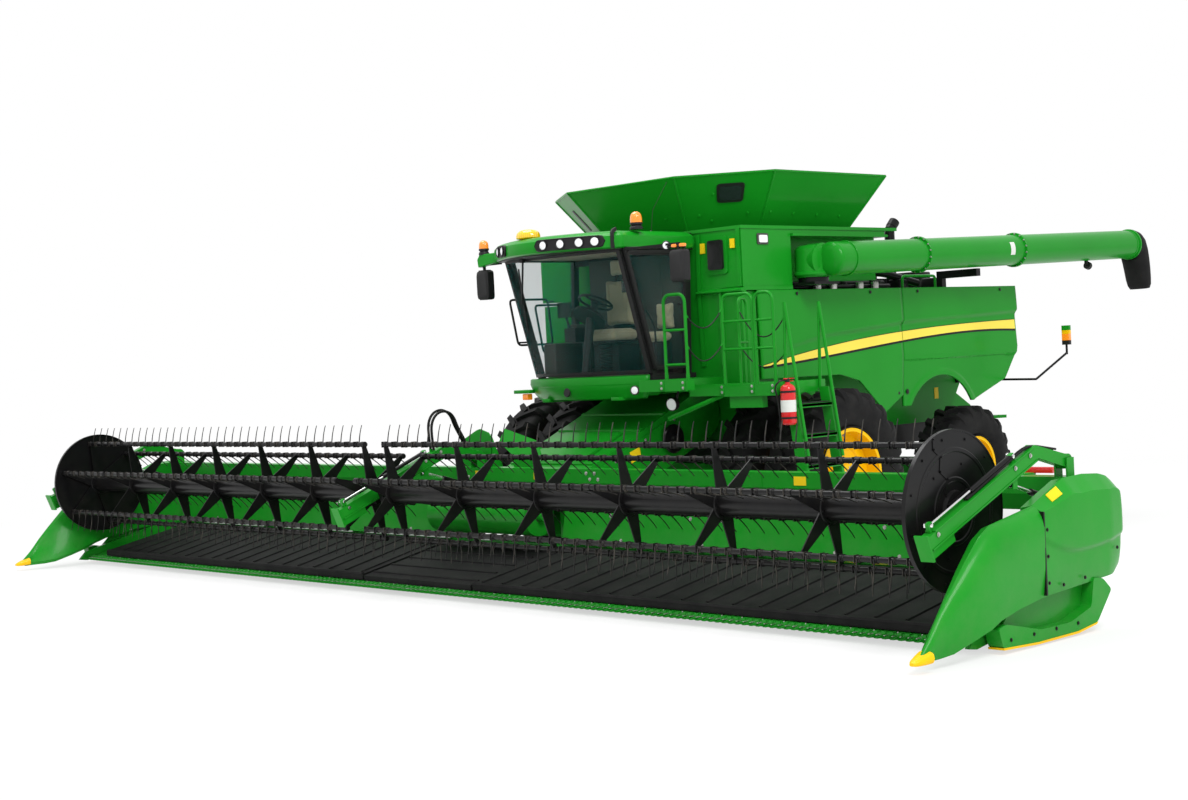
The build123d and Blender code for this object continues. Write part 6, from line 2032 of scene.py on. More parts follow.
        ceiling = block(at(-0.86, -1.7, 3.44), at(0.86, -0.8, 3.457))
        Piece("cab_headliner", PALE_PLASTIC).make(ceiling)
        base = block(at(0.54, -1.15, 2.1), at(0.76, -0.9, 2.46), 0.01)
        Piece("second_seat_base", BLACK_PLASTIC).make(base)


# ------------------------------------------------------------------ landing, rails and ladder
@dataclass(frozen=True)
class Landing:
    """Tread plates, fascias and fixings of the landing deck, rail feet, ladder and extinguisher."""

    deck_top: float = 1.96
    catwalk_top: float = 2.04
    ladder_front: float = -1.1
    ladder_rear: float = -0.56

    def treads(self) -> Skin:
        """Punched anti-slip ribs across the walking surfaces."""
        ribs = []
        for x in np.arange(1.36, 2.48, 0.07):
            ribs.append(block(at(x, -1.16, self.deck_top), at(x + 0.02, -0.5, self.deck_top + 0.006), 0.002,
                              1))
        for station in np.arange(-1.6, -0.7, 0.07):
            ribs.append(block(at(1.01, station, self.catwalk_top),
                              at(1.28, station + 0.02, self.catwalk_top + 0.006), 0.002, 1))
        return join(ribs)

    def fascias(self) -> Skin:
        """Folded edge plates in front of the deck and the catwalk."""
        plates = [slab(rectangle(-1.665, 1.925, -1.65, 2.05), 0.985, 1.69),
                  slab(rectangle(-1.215, 1.85, -1.2, 1.975), 1.29, 1.78),
                  slab(rectangle(-1.23, 1.84, -1.2, 1.965), 1.8, 2.53),
                  slab(rectangle(-1.2, 1.72, -1.12, 1.86), 1.85, 2.3),
                  block(at(2.5, -1.2, 1.85), at(2.53, -0.46, 1.975), 0.004)]
        brace = tube(route((1.05, -1.3, 1.62), (1.75, -1.14, 1.87)), 0.026, 8)
        return join([*plates, brace])

    def rail_feet(self) -> tuple[Skin, Skin]:
        """Clamp plates at the rails' feet and the bright bolts through them."""
        plates, fixings = [], []
        for x, station, z in ((1.33, -1.59, 1.985), (1.64, -1.59, 1.985), (1.78, -1.18, 1.915),
                              (2.2, -1.18, 1.915), (2.48, -1.18, 1.915)):
            front = station - (0.083 if z > 1.95 else 0.057)
            plates.append(block(at(x - 0.03, front, z - 0.05), at(x + 0.03, front + 0.008, z + 0.05), 0.003))
            plates.append(tube(route((x, station, z + 0.02), (x, station, z + 0.12)), 0.021, 12))
            fixings += [at(x, front, z - 0.028), at(x, front, z + 0.028)]
        return join(plates), bolts(fixings, (0, -1, 0), 0.011, 0.01)

    def ladder(self) -> tuple[Skin, Skin]:
        """Lips of the ladder's stiles and the black treads on its steps."""
        lips, mats = [], []
        for step in range(5):
            height = 0.47 + step * 0.31
            x = 2.77 + (height - 0.42) * (2.535 - 2.77) / (1.9 - 0.42)
            mats.append(block(at(x + 0.01, self.ladder_front + 0.02, height + 0.03),
                              at(x + 0.118, self.ladder_rear - 0.02, height + 0.042), 0.003))
            lips.append(block(at(x + 0.117, self.ladder_front, height - 0.012),
                              at(x + 0.125, self.ladder_rear, height + 0.03), 0.003))
        for station in (self.ladder_front - 0.024, self.ladder_rear + 0.018):
            line = [at(2.6, station, 1.88), at(2.82, station, 0.45)]
            lips.append(along(np.array(line), rectangle(-0.06, -0.003, 0.06, 0.003)))
        return join(lips), join(mats)

    def extinguisher(self) -> None:
        """Bottle, blank label, valve, lever, hose, nozzle and strap."""
        x, station = 2.64, -1.19
        hose_x = x - 0.083
        middle = at(x, station, 0.0)
        shell = lathe([(1.535, 0.02), (1.54, 0.062), (1.556, 0.076), (1.57, 0.078), (1.9, 0.078),
                       (1.925, 0.07), (1.945, 0.048), (1.955, 0.026), (1.97, 0.024)], middle, 40, UP)
        Piece("extinguisher_bottle", RED).make(shell)
        label = lathe([(1.67, 0.0785), (1.67, 0.0792), (1.79, 0.0792), (1.79, 0.0785)], middle, 40, UP,
                      closed=True)
        Piece("extinguisher_label", WHITE_LABEL).make(label)
        bands = [lathe([(z, 0.0785), (z, 0.0815), (z + 0.02, 0.0815), (z + 0.02, 0.0785)], middle, 40, UP,
                       closed=True) for z in (1.6, 1.865)]
        valve = lathe([(1.965, 0.022), (1.975, 0.026), (2.0, 0.024), (2.01, 0.012)], middle, 20, UP)
        lever = block(at(x - 0.012, station - 0.05, 2.0), at(x + 0.012, station + 0.1, 2.012), 0.003)
        grip = block(at(x - 0.01, station, 1.975), at(x + 0.01, station + 0.09, 1.985), 0.003)
        hose = tube(rounded(route((x, station - 0.02, 1.99), (x - 0.02, station - 0.1, 1.99),
                                  (x - 0.07, station - 0.12, 1.93), (x - 0.088, station - 0.06, 1.8),
                                  (hose_x, station - 0.04, 1.6), (hose_x, station - 0.04, 1.56)), 0.05),
                    0.009, 10)
        nozzle = lathe([(0.0, 0.011), (0.04, 0.015), (0.08, 0.013), (0.085, 0.008)],
                       at(hose_x, station - 0.04, 1.57), 16, (0, 0, -1))
        Piece("extinguisher_fittings", BLACK_PLASTIC).make(join([*bands, valve, hose, nozzle]))
        Piece("extinguisher_lever", RED).make(lever + grip)

    def build(self) -> None:
        """Makes the landing's pieces."""
        Piece("deck_treads", GREEN).make(self.treads())
        Piece("deck_fascias", GREEN).make(self.fascias())
        plates, fixings = self.rail_feet()
        Piece("rail_feet", GREEN).make(plates)
        Piece("rail_bolts", BRIGHT).make(fixings)
        lips, mats = self.ladder()
        Piece("ladder_lips", GREEN).make(lips)
        Piece("ladder_mats", BLACK_PLASTIC).make(mats)
        self.extinguisher()
        place, facing = at(1.0, -1.2, 1.77), (0.1, -1, -0.1)
        lamp = lathe([(-0.07, 0.03), (-0.05, 0.07), (0.0, 0.075), (0.012, 0.07), (0.0, 0.064)], place, 32,
                     facing)
        stay = tube(route((1.0, -1.14, 1.77), (1.02, -1.1, 1.94)), 0.014, 8)
        Piece("deck_lamp", BLACK_PLASTIC).make(lamp + stay)
        lens = lathe([(-0.002, 0.065), (0.01, 0.06), (0.02, 0.03), (0.022, 0.008)], place, 32, facing)
        Piece("deck_lamp_lens", CLEAR_LENS).make(lens)
        marker = slab(rounded_outline(rectangle(0.4, 1.66, 0.46, 1.75), 0.012), 1.86, 1.9)
        Piece("side_marker", AMBER).make(marker)
        board = slab(rectangle(-0.35, 1.62, 0.5, 1.86), 1.84, 1.86)
        Piece("marker_board", GREEN).make(board)
        Piece("landing_plate", LABEL).make(slab(rectangle(-0.25, 1.64, -0.14, 1.8), 1.858, 1.864))


# ------------------------------------------------------------------ header frame and feeder house
@dataclass(frozen=True)
class HeaderFrame:
    """Centre mast plates, back sheet flanges, plain plates, bolts, skid pads and the near reflector."""

    beam_low: float = 1.06
    beam_front: float = -2.78
    beam_back: float = -2.62

    def mast(self) -> Skin:
        """The two green plates that stand above the beam round the hoses."""
        front = slab([(-0.92, 1.08), (-0.36, 1.08), (-0.34, 1.47), (-0.4, 1.565), (-0.54, 1.605),
                      (-0.6, 1.59), (-0.9, 1.46)], self.beam_back, self.beam_back + 0.015, Axis3.Y)
        gusset = slab([(self.beam_back, 1.1), (self.beam_back, 1.55), (self.beam_back + 0.14, 1.2),
                       (self.beam_back + 0.14, 1.1)], -0.36, -0.348)
        top = route((-0.26, -2.5, 1.6), (0.24, -2.5, 1.475), (0.42, -2.585, 1.3), (-0.02, -2.585, 1.3),
                    (-0.3, -2.56, 1.46))
        low = top + np.array([0, 0.012, -0.008])
        cover = loft([top, low])
        stay = slab([(-0.02, 1.08), (0.3, 1.08), (0.3, 1.33), (0.0, 1.33)], self.beam_back + 0.006,
                    self.beam_back + 0.02, Axis3.Y)
        return join([front, gusset, cover, stay])

    def flanges(self) -> Skin:
        """The folded lip under the beam and seams between its sheets."""
        parts = []
        for low, high in ((-6.78, -0.98), (0.98, 6.78)):
            parts.append(slab([(self.beam_front - 0.004, self.beam_low + 0.002),
                               (self.beam_front + 0.006, self.beam_low + 0.002),
                               (self.beam_front + 0.05, 0.93), (self.beam_front + 0.042, 0.93)], low, high))
        for x in (-5.2, -3.6, -2.1, 2.1, 3.6, 5.2):
            parts.append(slab(rectangle(self.beam_front - 0.006, 1.065, self.beam_front, 1.195), x - 0.05,
                              x + 0.05))
        return join(parts)

    def sheet_front(self, x: float, z: float, out: float) -> Array:
        """A point on the leaning back sheet's front face."""
        return at(x, -2.815 + (z - 0.44) / 0.35 * 0.07 - out, z)

    def fixings(self) -> Skin:
        """Bolt heads over the beam and the back sheets."""
        places = []
        for x in (-5.9, -4.6, -3.1, -1.8, 1.6, 2.7, 3.1, 4.3, 5.0, 5.9):
            places += [self.sheet_front(x, 0.74, 0.0), self.sheet_front(x + 0.18, 0.5, 0.0)]
        for x in (-0.75, -0.62, 1.3, 1.42):
            places += [at(x, self.beam_front, 1.16), at(x + 0.05, self.beam_front, 1.1)]
        return bolts(places, (0, -1, 0.15), 0.014, 0.01)

    def build(self) -> None:
        """Makes the frame's pieces."""
        Piece("header_mast", GREEN, "header").make(self.mast())
        Piece("header_flanges", GREEN, "header").make(self.flanges())
        Piece("header_bolts", BRIGHT, "header").make(self.fixings())
        plates = [slab(rectangle(x - 0.07, 1.085, x + 0.07, 1.165), self.beam_front - 0.004,
                       self.beam_front + 0.002, Axis3.Y) for x in (-0.38, 0.57, 4.1)]
        Piece("header_plates", LABEL, "header").make(join(plates))
        bar = block(at(6.26, -2.53, 1.205), at(6.53, -2.49, 1.255), 0.004)
        foot = block(at(6.3, -2.62, 1.19), at(6.36, -2.5, 1.21), 0.003)
        Piece("header_reflector", RED_LENS, "header").make(bar)
        Piece("header_reflector_foot", GREEN, "header").make(foot)
        pads = []
        for x in (-5.6, -2.8, 2.8, 5.6):
            pads.append(slab([(-3.86, 0.04), (-3.79, 0.004), (-3.28, 0.004), (-3.18, 0.06), (-3.18, 0.072),
                              (-3.29, 0.018), (-3.78, 0.018), (-3.85, 0.052)], x - 0.14, x + 0.14))
        Piece("skid_pads", BLACK_PLASTIC, "header").make(join(pads))
        hoses = []
        for lane, lift in ((0.0, 0.0), (0.03, 0.004), (0.06, -0.003)):
            station, z = self.beam_back + 0.016 + lane * 0.4, 1.14 - lane
            hoses.append(tube(route((-6.6, station, z + lift), (-0.95, station, z)), 0.013, 8))
            hoses.append(tube(route((0.35, station, z), (6.6, station, z + lift)), 0.013, 8))
        Piece("beam_pipes", BRIGHT, "header").make(join(hoses))


@dataclass(frozen=True)
class FeederHouse:
    """Ribs, covers, hinge discs and the drive case on the feeder house."""

    pivot: tuple[float, float] = (-0.38, 1.62)
    mouth: tuple[float, float] = (-2.53, 0.7)
    half_width: float = 0.68
    half_depth: float = 0.27

    def place(self, forward: float, lift: float) -> tuple[float, float]:
        """(station, height) at a distance forward of the pivot and square to the house."""
        slope = math.atan2(self.pivot[1] - self.mouth[1], self.pivot[0] - self.mouth[0])
        return (self.pivot[0] - forward * math.cos(slope) - lift * math.sin(slope),
                self.pivot[1] - forward * math.sin(slope) + lift * math.cos(slope))

    def ribs(self) -> Skin:
        """Pressed ribs across the top and raised frames on the sides."""
        parts = []
        for forward in (0.5, 0.9, 1.3, 1.7, 2.1):
            outline = [self.place(forward, self.half_depth - 0.004),
                       self.place(forward + 0.06, self.half_depth - 0.004),
                       self.place(forward + 0.05, self.half_depth + 0.018),
                       self.place(forward + 0.01, self.half_depth + 0.018)]
            parts.append(slab(outline, -0.66, 0.66))
        lid = [self.place(1.0, self.half_depth + 0.004), self.place(1.75, self.half_depth + 0.004),
               self.place(1.72, self.half_depth + 0.03), self.place(1.03, self.half_depth + 0.03)]
        parts.append(slab(lid, -0.45, 0.45))
        side = [self.place(0.35, 0.2), self.place(2.2, 0.2), self.place(2.2, -0.2), self.place(0.35, -0.2)]
        for x in (-1, 1):
            parts.append(slab(side, min(x * 0.675, x * 0.69), max(x * 0.675, x * 0.69)))
        return join(parts)

    def drive(self) -> Skin:
        """The chain case and pulleys on the left side."""
        parts = []
        case = rounded_outline([self.place(1.85, 0.12), self.place(2.28, 0.12), self.place(2.28, -0.14),
                                self.place(1.85, -0.14)], 0.05)
        parts.append(slab(case, 0.69, 0.8))
        for forward, radius in ((0.6, 0.16), (2.06, 0.14)):
            station, height = self.place(forward, 0.0)
            parts.append(lathe([(0.69, 0.04), (0.7, radius * 0.5), (0.735, radius), (0.75, radius),
                                (0.76, radius * 0.92), (0.765, 0.06), (0.8, 0.05)], at(0.0, station, height),
                               40, (1, 0, 0)))
        return join(parts)

    def build(self) -> None:
        """Makes the feeder house's pieces."""
        Piece("feeder_ribs", GREEN, "header").make(self.ribs())
        Piece("feeder_drive", BLACK, "header").make(self.drive())
        station, height = self.place(1.05, 0.0)
        plates = [slab([(station - 0.2, height - 0.05), (station - 0.05, height),
                        (station - 0.07, height + 0.12), (station - 0.22, height + 0.07)], 0.688, 0.694)]
        Piece("feeder_plates", LABEL, "header").make(join(plates))
        heads = [at(0.692, *self.place(forward, lift)) for forward in (0.45, 0.95, 1.45, 1.8)
                 for lift in (-0.16, 0.16)]
        skin = bolts(heads, (1, 0, 0), 0.014, 0.01)
        Piece("feeder_bolts", BRIGHT, "header").make(skin + skin.mirrored())


@dataclass(frozen=True)
class ReelArms:
    """Tip boxes, rails, fore-aft cylinders, motor and pipes on the reel's arms."""

    hump: tuple[float, float] = (-3.15, 1.42)
    tip: tuple[float, float] = (-4.57, 0.86)
    arms: tuple[float, float, float] = (6.76, -0.48, -6.76)

    def place(self, forward: float, lift: float) -> tuple[float, float]:
        """(station, height) along the arm's straight front part."""
        slope = math.atan2(self.hump[1] - self.tip[1], self.hump[0] - self.tip[0])
        return (self.hump[0] - forward * math.cos(slope) - lift * math.sin(slope),
                self.hump[1] - forward * math.sin(slope) + lift * math.cos(slope))

    def profile(self, x: float, low: tuple[float, float], high: tuple[float, float], width: float) -> Skin:
        """A block on the arm between two (forward, lift) corners."""
        outline = [self.place(low[0], low[1]), self.place(high[0], low[1]), self.place(high[0], high[1]),
                   self.place(low[0], high[1])]
        return slab(outline, x - width / 2, x + width / 2)

    def build(self) -> None:
        """Makes the arms' pieces."""
        green, dark, chrome, marks = [], [], [], []
        for x in self.arms:
            green.append(self.profile(x, (1.53, -0.13), (1.545, 0.075), 0.12))
            green.append(self.profile(x, (1.22, -0.125), (1.53, -0.05), 0.07))
            green.append(self.profile(x, (0.02, -0.062), (1.5, -0.049), 0.094))
            green.append(self.profile(x, (0.02, 0.049), (1.42, 0.06), 0.094))
            dark.append(tube(route((x, *self.place(0.28, 0.1)), (x, *self.place(0.86, 0.1))), 0.02, 16))
            chrome.append(tube(route((x, *self.place(0.86, 0.1)), (x, *self.place(1.42, 0.1))), 0.01, 12))
            for forward in (0.28, 1.42):
                chrome.append(bolts([at(x - 0.03, *self.place(forward, 0.1))], (1, 0, 0), 0.018, 0.06))
                green.append(self.profile(x, (forward - 0.025, 0.05), (forward + 0.025, 0.12), 0.03))
            for forward in (0.1, 0.32, 1.4):
                marks += [at(x + 0.046, *self.place(forward, 0.02)),
                          at(x - 0.046, *self.place(forward + 0.08, -0.02))]
        Piece("arm_profiles", GREEN, "reel_arm_set").make(join(green))
        Piece("arm_cylinders", BLACK, "reel_arm_set").make(join(dark))
        Piece("arm_rods", CHROME, "reel_arm_set").make(join(chrome))
        heads = join([bolts([place], (1 if index % 2 == 0 else -1, 0, 0), 0.013, 0.01)
                      for index, place in enumerate(marks)])
        Piece("arm_bolts", BRIGHT, "reel_arm_set").make(heads)
        pipes = []
        for lane in (0.0, 0.022):
            x = self.arms[0] + 0.02 - lane
            line = route((x, *self.place(0.95, 0.075)), (x, *self.place(0.05, 0.088)), (x, -2.86, 1.425))
            pipes.append(tube(rounded(line, 0.12), 0.009, 8))
        Piece("arm_pipes", HOSE, "reel_arm_set").make(join(pipes))
        motor = lathe([(6.685, 0.05), (6.69, 0.075), (6.7, 0.078), (6.702, 0.06)],
                      at(0.0, Reel.station, Reel.height), 32)
        Piece("reel_motor", BLACK, "reel_slides").make(motor)


# ------------------------------------------------------------------ engine bay and undercarriage
@dataclass(frozen=True)
class RearEnd:
    """Engine deck details, exhaust, tail panels, chopper vanes and the rear lamps."""

    deck_top: float = 2.93

    def engine(self) -> None:
        """Air filter, screens, pipes, filter cans, the deck's rail and the exhaust's open tip; black blocks
        and pipes inside the shield's top stand in for machinery and paint the engine bay's shade.
        """
        dark, green = [], []
        air_filter = at(0.25, 2.5, 0.0)
        dark.append(lathe([(3.4, 0.17), (3.42, 0.178), (3.44, 0.178), (3.455, 0.15), (3.46, 0.05)],
                          air_filter, 40, UP))
        dark.append(lathe([(3.1, 0.172), (3.1, 0.186), (3.14, 0.186), (3.14, 0.172)], air_filter, 40, UP,
                          closed=True))
        for station in np.arange(2.4, 3.4, 0.14):
            dark.append(block(at(-1.6, station, 3.42), at(-1.02, station + 0.03, 3.44), 0.004))
        for x, station, size in ((0.85, 2.35, 0.14), (1.2, 3.3, 0.1), (0.8, 3.45, 0.16), (1.25, 2.55, 0.09)):
            dark.append(block(at(x - size, station - size, self.deck_top),
                              at(x + size, station + size, self.deck_top + size * 1.6), 0.02))
        dark.append(tube(rounded(route((0.5, 2.35, 3.0), (0.8, 2.2, 3.18), (1.2, 2.3, 3.16),
                                       (1.35, 2.8, 3.02)), 0.12), 0.045, 14))
        # black blocks and two pipes inside the side shield's top: stand-in machinery, painted black partly as
        # painted shade of the engine bay
        for station, width, top in ((0.3, 0.1, 3.02), (0.48, 0.06, 2.99), (0.78, 0.12, 3.03),
                                    (1.02, 0.07, 2.99), (1.24, 0.1, 3.05), (1.5, 0.14, 3.02),
                                    (1.78, 0.2, 3.06)):
            dark.append(block(at(1.3, station, 2.9), at(1.44, station + width, top), 0.012))
        for x, z in ((1.49, 2.985), (1.4, 3.03)):
            dark.append(tube(route((x, 0.24, z), (x, 2.05, z)), 0.026, 14))
        Piece("engine_trims", BLACK).make(join(dark))
        cans = [lathe([(2.9, 0.044), (3.0, 0.05), (3.03, 0.044), (3.035, 0.01)], at(x, station, 0.0), 28, UP)
                for x, station in ((1.55, 0.66), (1.55, 0.94), (1.55, 1.42), (1.55, 1.7))]
        Piece("filter_cans", BRIGHT).make(join(cans))
        green.append(tube(rounded(route((1.5, 2.3, self.deck_top), (1.5, 2.3, 3.1), (1.5, 2.95, 3.1),
                                        (1.5, 2.95, self.deck_top)), 0.05), 0.016, 10))
        green.append(slab(rectangle(2.07, 2.925, 4.42, 2.95), 1.4, 1.605))
        Piece("engine_rail", GREEN).make(join(green))
        Piece("exhaust_tip", BLACK).make(
            lathe([(-0.1, 0.064), (-0.1, 0.067), (0.0, 0.067), (0.004, 0.062), (-0.02, 0.05)],
                  at(1.0, 2.857, 3.797), 32, (0.0, 0.11, 0.11)))

    def tail(self) -> None:
        """Rear door, vents, the chopper's guide vanes, red tail lamps and two plain plates on the side."""
        panel = slab(rounded_outline(rectangle(-1.35, 2.38, 1.35, 2.85), 0.08), 4.395, 4.412, Axis3.Y)
        Piece("tail_panel", GREEN).make(panel)
        vents = [slab(rectangle(-0.9, z, 0.9, z + 0.02), 4.405, 4.422, Axis3.Y)
                 for z in np.arange(2.46, 2.8, 0.045)]
        Piece("tail_vents", BLACK_PLASTIC).make(join(vents))
        vanes = [slab(rectangle(4.64, 1.2, 5.1, 1.25), x - 0.004, x + 0.004)
                 for x in np.arange(-0.6, 0.61, 0.2)]
        Piece("spreader_vanes", BLACK).make(join(vanes))
        plates = []
        for side in (-1, 1):
            plates.append(block(at(side * 1.2 - 0.1, 4.4, 2.2), at(side * 1.2 + 0.1, 4.42, 2.3), 0.01))
        Piece("tail_lamps", RED_LENS).make(join(plates))
        step_plates = slab(rectangle(3.1, 1.66, 3.18, 1.8), 0.9, 0.906)
        Piece("side_plates", LABEL).make(step_plates + step_plates.moved((0, 0.55, -0.08)))

    def lamps(self) -> None:
        """Heads of the rear corner lamps: green cap, yellow band and orange lens."""
        for name, side in (("left", 1), ("right", -1)):
            outline = rounded_outline(rectangle(side * 2.27 - 0.052, 4.536, side * 2.27 + 0.052, 4.594),
                                      0.014)
            for part, low, high, grow, finish in (
                    ("cap", 2.36, 2.42, 1.0, GREEN), ("band", 2.315, 2.36, 1.01, YELLOW),
                    ("lens", 2.235, 2.315, 1.02, AMBER), ("foot", 2.18, 2.235, 1.0, BLACK_PLASTIC)):
                Piece(f"rear_lamp_{part}_{name}", finish).make(
                    slab(shrunk(outline, grow), low, high, Axis3.Z))

    def build(self) -> None:
        """Makes the rear end's pieces."""
        self.engine()
        self.tail()
        self.lamps()


# ------------------------------------------------------------------ cords
@dataclass(frozen=True)
class Cord:
    """One free chain or hose: its route, and what it rides on and looks like."""

    name: str
    node: str
    body: str
    points: tuple[tuple[float, float, float], ...]
    diameter: float
    stiffness: str
    lay: str
    finish: Finish

    def spline(self) -> bpy.types.Object:
        """A NURBS curve with the route's points as its control points."""
        data = bpy.data.curves.new(self.name, "CURVE")
        data.dimensions = "3D"
        data.resolution_u = 10
        data.bevel_depth, data.bevel_resolution, data.use_fill_caps = self.diameter / 2, 4, True
        line = data.splines.new("NURBS")
        line.points.add(len(self.points) - 1)
        for control, place in zip(line.points, self.points):
            control.co = (*at(*place), 1.0)
        line.order_u = 3
        line.use_endpoint_u = True
        thing = bpy.data.objects.new(self.name, data)
        bpy.context.scene.collection.objects.link(thing)
        return thing

    def length(self, thing: bpy.types.Object) -> float:
        """The spline's own length, read from the curve without its bevel."""
        depth, thing.data.bevel_depth = thing.data.bevel_depth, 0.0
        mesh = bpy.data.meshes.new_from_object(thing)
        thing.data.bevel_depth = depth
        places = np.empty(len(mesh.vertices) * 3)
        mesh.vertices.foreach_get("co", places)
        bpy.data.meshes.remove(mesh)
        return float(np.linalg.norm(np.diff(places.reshape(-1, 3), axis=0), axis=1).sum())

    def build(self) -> None:
        thing = self.spline()
        dress(thing, self.finish)
        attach(thing, self.body)
        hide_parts(self.node)
        tuple(at(*self.points[0]))
        self.length(thing)
        LOG.info("cord %s is %.3f m", self.name, self.length(thing))


LANDING_CHAINS = (((1.6497, -1.5616, 2.6805), (1.6610, -1.5285, 2.6308), (1.6918, -1.4383, 2.5654),
                   (1.7254, -1.3399, 2.5688), (1.7590, -1.2415, 2.6642), (1.7707, -1.2072, 2.7187)),
                  ((1.6490, -1.5637, 2.3580), (1.6610, -1.5285, 2.2992), (1.6918, -1.4383, 2.2190),
                   (1.7254, -1.3399, 2.2309), (1.7590, -1.2415, 2.3208), (1.7701, -1.2090, 2.3680)),
                  ((1.9763, -1.1191, 2.7102), (2.0423, -1.1170, 2.5978), (2.1777, -1.1126, 2.4625),
                   (2.3254, -1.1078, 2.4299), (2.4730, -1.1030, 2.5223), (2.5333, -1.1010, 2.5991)),
                  ((1.9806, -1.1190, 2.3379), (2.0404, -1.1170, 2.2555), (2.1731, -1.1126, 2.1493),
                   (2.3178, -1.1078, 2.1169), (2.4626, -1.1030, 2.1825), (2.5156, -1.1012, 2.2339)))

REEL_HOSES = (((-0.501, -3.335, 1.44), (-0.501, -3.352, 1.58), (-0.501, -3.35, 1.725),
               (-0.501, -3.276, 1.825), (-0.501, -3.157, 1.85), (-0.501, -3.05, 1.794),
               (-0.501, -2.997, 1.66), (-0.501, -2.925, 1.545), (-0.501, -2.88, 1.45)),
              ((-0.459, -3.326, 1.426), (-0.459, -3.343, 1.566), (-0.459, -3.341, 1.711),
               (-0.459, -3.267, 1.811), (-0.459, -3.148, 1.836), (-0.459, -3.041, 1.78),
               (-0.459, -2.988, 1.646), (-0.459, -2.916, 1.531), (-0.459, -2.871, 1.436)))


@dataclass(frozen=True)
class Cords:
    """The safety chains between the rails, in black sleeves, and the reel's hose loops."""

    chain_diameter: float = 0.014
    hose_diameter: float = 0.028

    def build(self) -> None:
        """Makes every free cord."""
        for number, points in enumerate(LANDING_CHAINS, 1):
            Cord(f"sleeved_chain_{number}", f"landing_chain_{number}", "chassis", points, self.chain_diameter,
                 "limp", "hanging", BLACK_PLASTIC).build()
        for number, points in enumerate(REEL_HOSES, 1):
            Cord(f"hose_loop_{number}", f"reel_hose_{number}", "reel_arm_set", points, self.hose_diameter,
                 "medium", "loose", HOSE).build()


# ------------------------------------------------------------------ padded seats
@dataclass(frozen=True)
class Pad:
    """A stuffed cloth pad: a block that is blown up as cloth, then sewn."""

    name: str
    low: tuple[float, float, float]
    high: tuple[float, float, float]
    channels: tuple[float, ...] = ()
    voxel: float = 0.007
    swell: float = 0.024
    replaces: tuple[str, ...] = ()

    def first_shape(self) -> bpy.types.Object:
        """The unblown block, smaller than the finished pad, remeshed into even quads."""
        inset = np.full(3, 0.016)
        skin = block(at(*self.low) + inset, at(*self.high) - inset, 0.034, 4)
        thing = Piece(self.name, SEAT_CLOTH, sharp=180.0, replaces=self.replaces).make(skin)
        remesh = thing.modifiers.new("even quads", "REMESH")
        remesh.mode, remesh.voxel_size = "VOXEL", self.voxel
        self.settle(thing)
        return thing

    def settle(self, thing: bpy.types.Object) -> None:
        """Writes what the modifiers make into the mesh and takes them off."""
        graph = bpy.context.evaluated_depsgraph_get()
        mesh = bpy.data.meshes.new_from_object(thing.evaluated_get(graph))
        thing.modifiers.clear()
        materials = [slot.material for slot in thing.material_slots]
        thing.data = mesh
        thing.data.materials.clear()
        for material in materials:
            thing.data.materials.append(material)

    @staticmethod
    def places(mesh: bpy.types.Mesh, field: str = "co") -> Array:
        """The mesh's vertex places, or its vertex normals."""
        values = np.empty(len(mesh.vertices) * 3, np.float32)
        source = mesh.vertices if field == "co" else mesh.vertex_normals
        source.foreach_get("co" if field == "co" else "vector", values)
        return values.reshape(-1, 3).astype(float)

    def blow_up(self, thing: bpy.types.Object) -> None:
        """Blows the pad up as cloth for twenty frames, and caps how far each point moves."""
        start = self.places(thing.data)
        cloth = thing.modifiers.new("cloth", "CLOTH")
        cloth.settings.use_pressure = True
        cloth.settings.uniform_pressure_force = 4.0
        cloth.settings.effector_weights.gravity = 0.0
        scene = bpy.context.scene
        for frame in range(1, 21):
            scene.frame_set(frame)
        self.settle(thing)
        scene.frame_set(1)
        moved = self.places(thing.data) - start
        length = np.linalg.norm(moved, axis=1, keepdims=True)
        capped = start + moved * np.minimum(1.0, self.swell / np.maximum(length, 1e-9))
        thing.data.vertices.foreach_set("co", capped.astype(np.float32).ravel())
        thing.data.update()

    def sew(self, thing: bpy.types.Object) -> None:
        """Adds one subdivision, sinks the sewn channels and raises piping round the rim.

        A channel sinks by 9 mm * exp(-(d / 7 mm)^2) at a distance d from its line.
        """
        smooth = thing.modifiers.new("smooth", "SUBSURF")
        smooth.levels = smooth.render_levels = 1
        self.settle(thing)
        mesh = thing.data
        places, normals = self.places(mesh), self.places(mesh, "normal")
        size = np.array(self.high) - np.array(self.low)
        flat = int(np.argmin(size))
        middle = (at(*self.low) + at(*self.high)) / 2
        sink = sum(0.009 * np.exp(-((places[:, 0] - line) / 0.007) ** 2)
                   for line in self.channels) + 0 * places[:, 0]
        facing = np.abs(normals[:, flat]) ** 2
        across = (places[:, flat] - middle[flat] - 0.2 * size[flat]) / 0.005
        rim = 0.004 * np.exp(-(across ** 2)) * (1 - facing)
        places += normals * (rim - sink * facing)[:, None]
        mesh.vertices.foreach_set("co", places.astype(np.float32).ravel())
        mesh.polygons.foreach_set("use_smooth", np.ones(len(mesh.polygons), bool))
        mesh.update()

    def build(self) -> None:
        thing = self.first_shape()
        self.blow_up(thing)
        self.sew(thing)


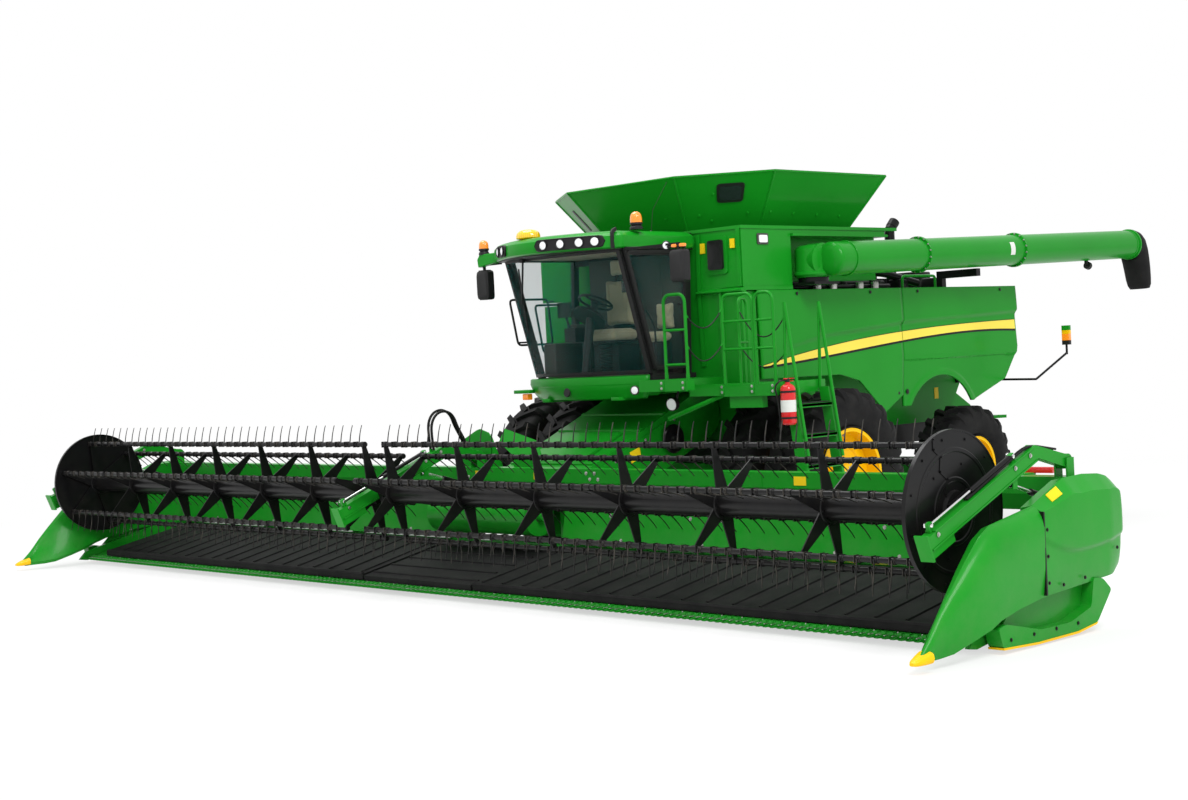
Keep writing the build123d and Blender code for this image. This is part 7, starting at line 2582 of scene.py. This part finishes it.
@dataclass(frozen=True)
class Seats:
    """The operator's sprung seat with its head rest, and the folding seat beside it."""

    def build(self) -> None:
        """Makes the pads, then the parts that carry them."""
        for pad in (
                Pad("seat_cushion", (-0.25, -1.29, 2.49), (0.25, -0.86, 2.62), (-0.13, 0.13),
                    replaces=("operator_seat",)),
                Pad("seat_back", (-0.24, -0.97, 2.64), (0.24, -0.85, 3.2), (-0.12, 0.12)),
                Pad("seat_head_rest", (-0.15, -0.96, 3.21), (0.15, -0.86, 3.42)),
                Pad("second_seat_cushion", (0.5, -1.22, 2.46), (0.82, -0.9, 2.56), (0.66,)),
                Pad("second_seat_back", (0.52, -0.93, 2.57), (0.8, -0.84, 2.9))):
            pad.build()
        stays = [tube(route((x, -0.9, 3.1), (x, -0.91, 3.25)), 0.009, 10) for x in (-0.06, 0.06)]
        bellows = [lathe([(0.0, 0.1), (0.012, 0.15), (0.024, 0.15), (0.036, 0.1)],
                         at(0.0, -1.07, 2.13 + 0.036 * step), 32, UP, closed=False) for step in range(9)]
        pan = block(at(-0.22, -1.26, 2.455), at(0.22, -0.86, 2.5), 0.015)
        shell = block(at(-0.2, -0.86, 2.6), at(0.2, -0.835, 3.18), 0.01)
        Piece("seat_frame", BLACK_PLASTIC).make(join([*stays, *bellows, pan, shell]))


ASSEMBLIES = (Cords(), SideShields(), GrainTank(), UnloadingAuger(), Cab(), Seats(), Landing(), Wheels(),
              Reel(), Belts(), Cutterbar(), Divider(), HeaderFrame(), FeederHouse(), ReelArms(), RearEnd())


def dress_nodes() -> None:
    """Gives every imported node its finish."""
    for finish, names in NODE_FINISHES.items():
        for name in names:
            dress(frame["nodes"][name], finish)
    LOG.info("packed nodes dressed")


def main() -> None:
    """Builds the studio and the looks of each part of the machine, in order."""
    logging.basicConfig(level=logging.INFO, format="%(message)s", stream=sys.stdout)
    Studio().build()
    dress_nodes()
    for assembly in ASSEMBLIES:
        LOG.info("building %s", type(assembly).__name__)
        assembly.build()
    LOG.info("finished")


if __name__ == "__main__":
    main()
    bpy.context.view_layer.update()
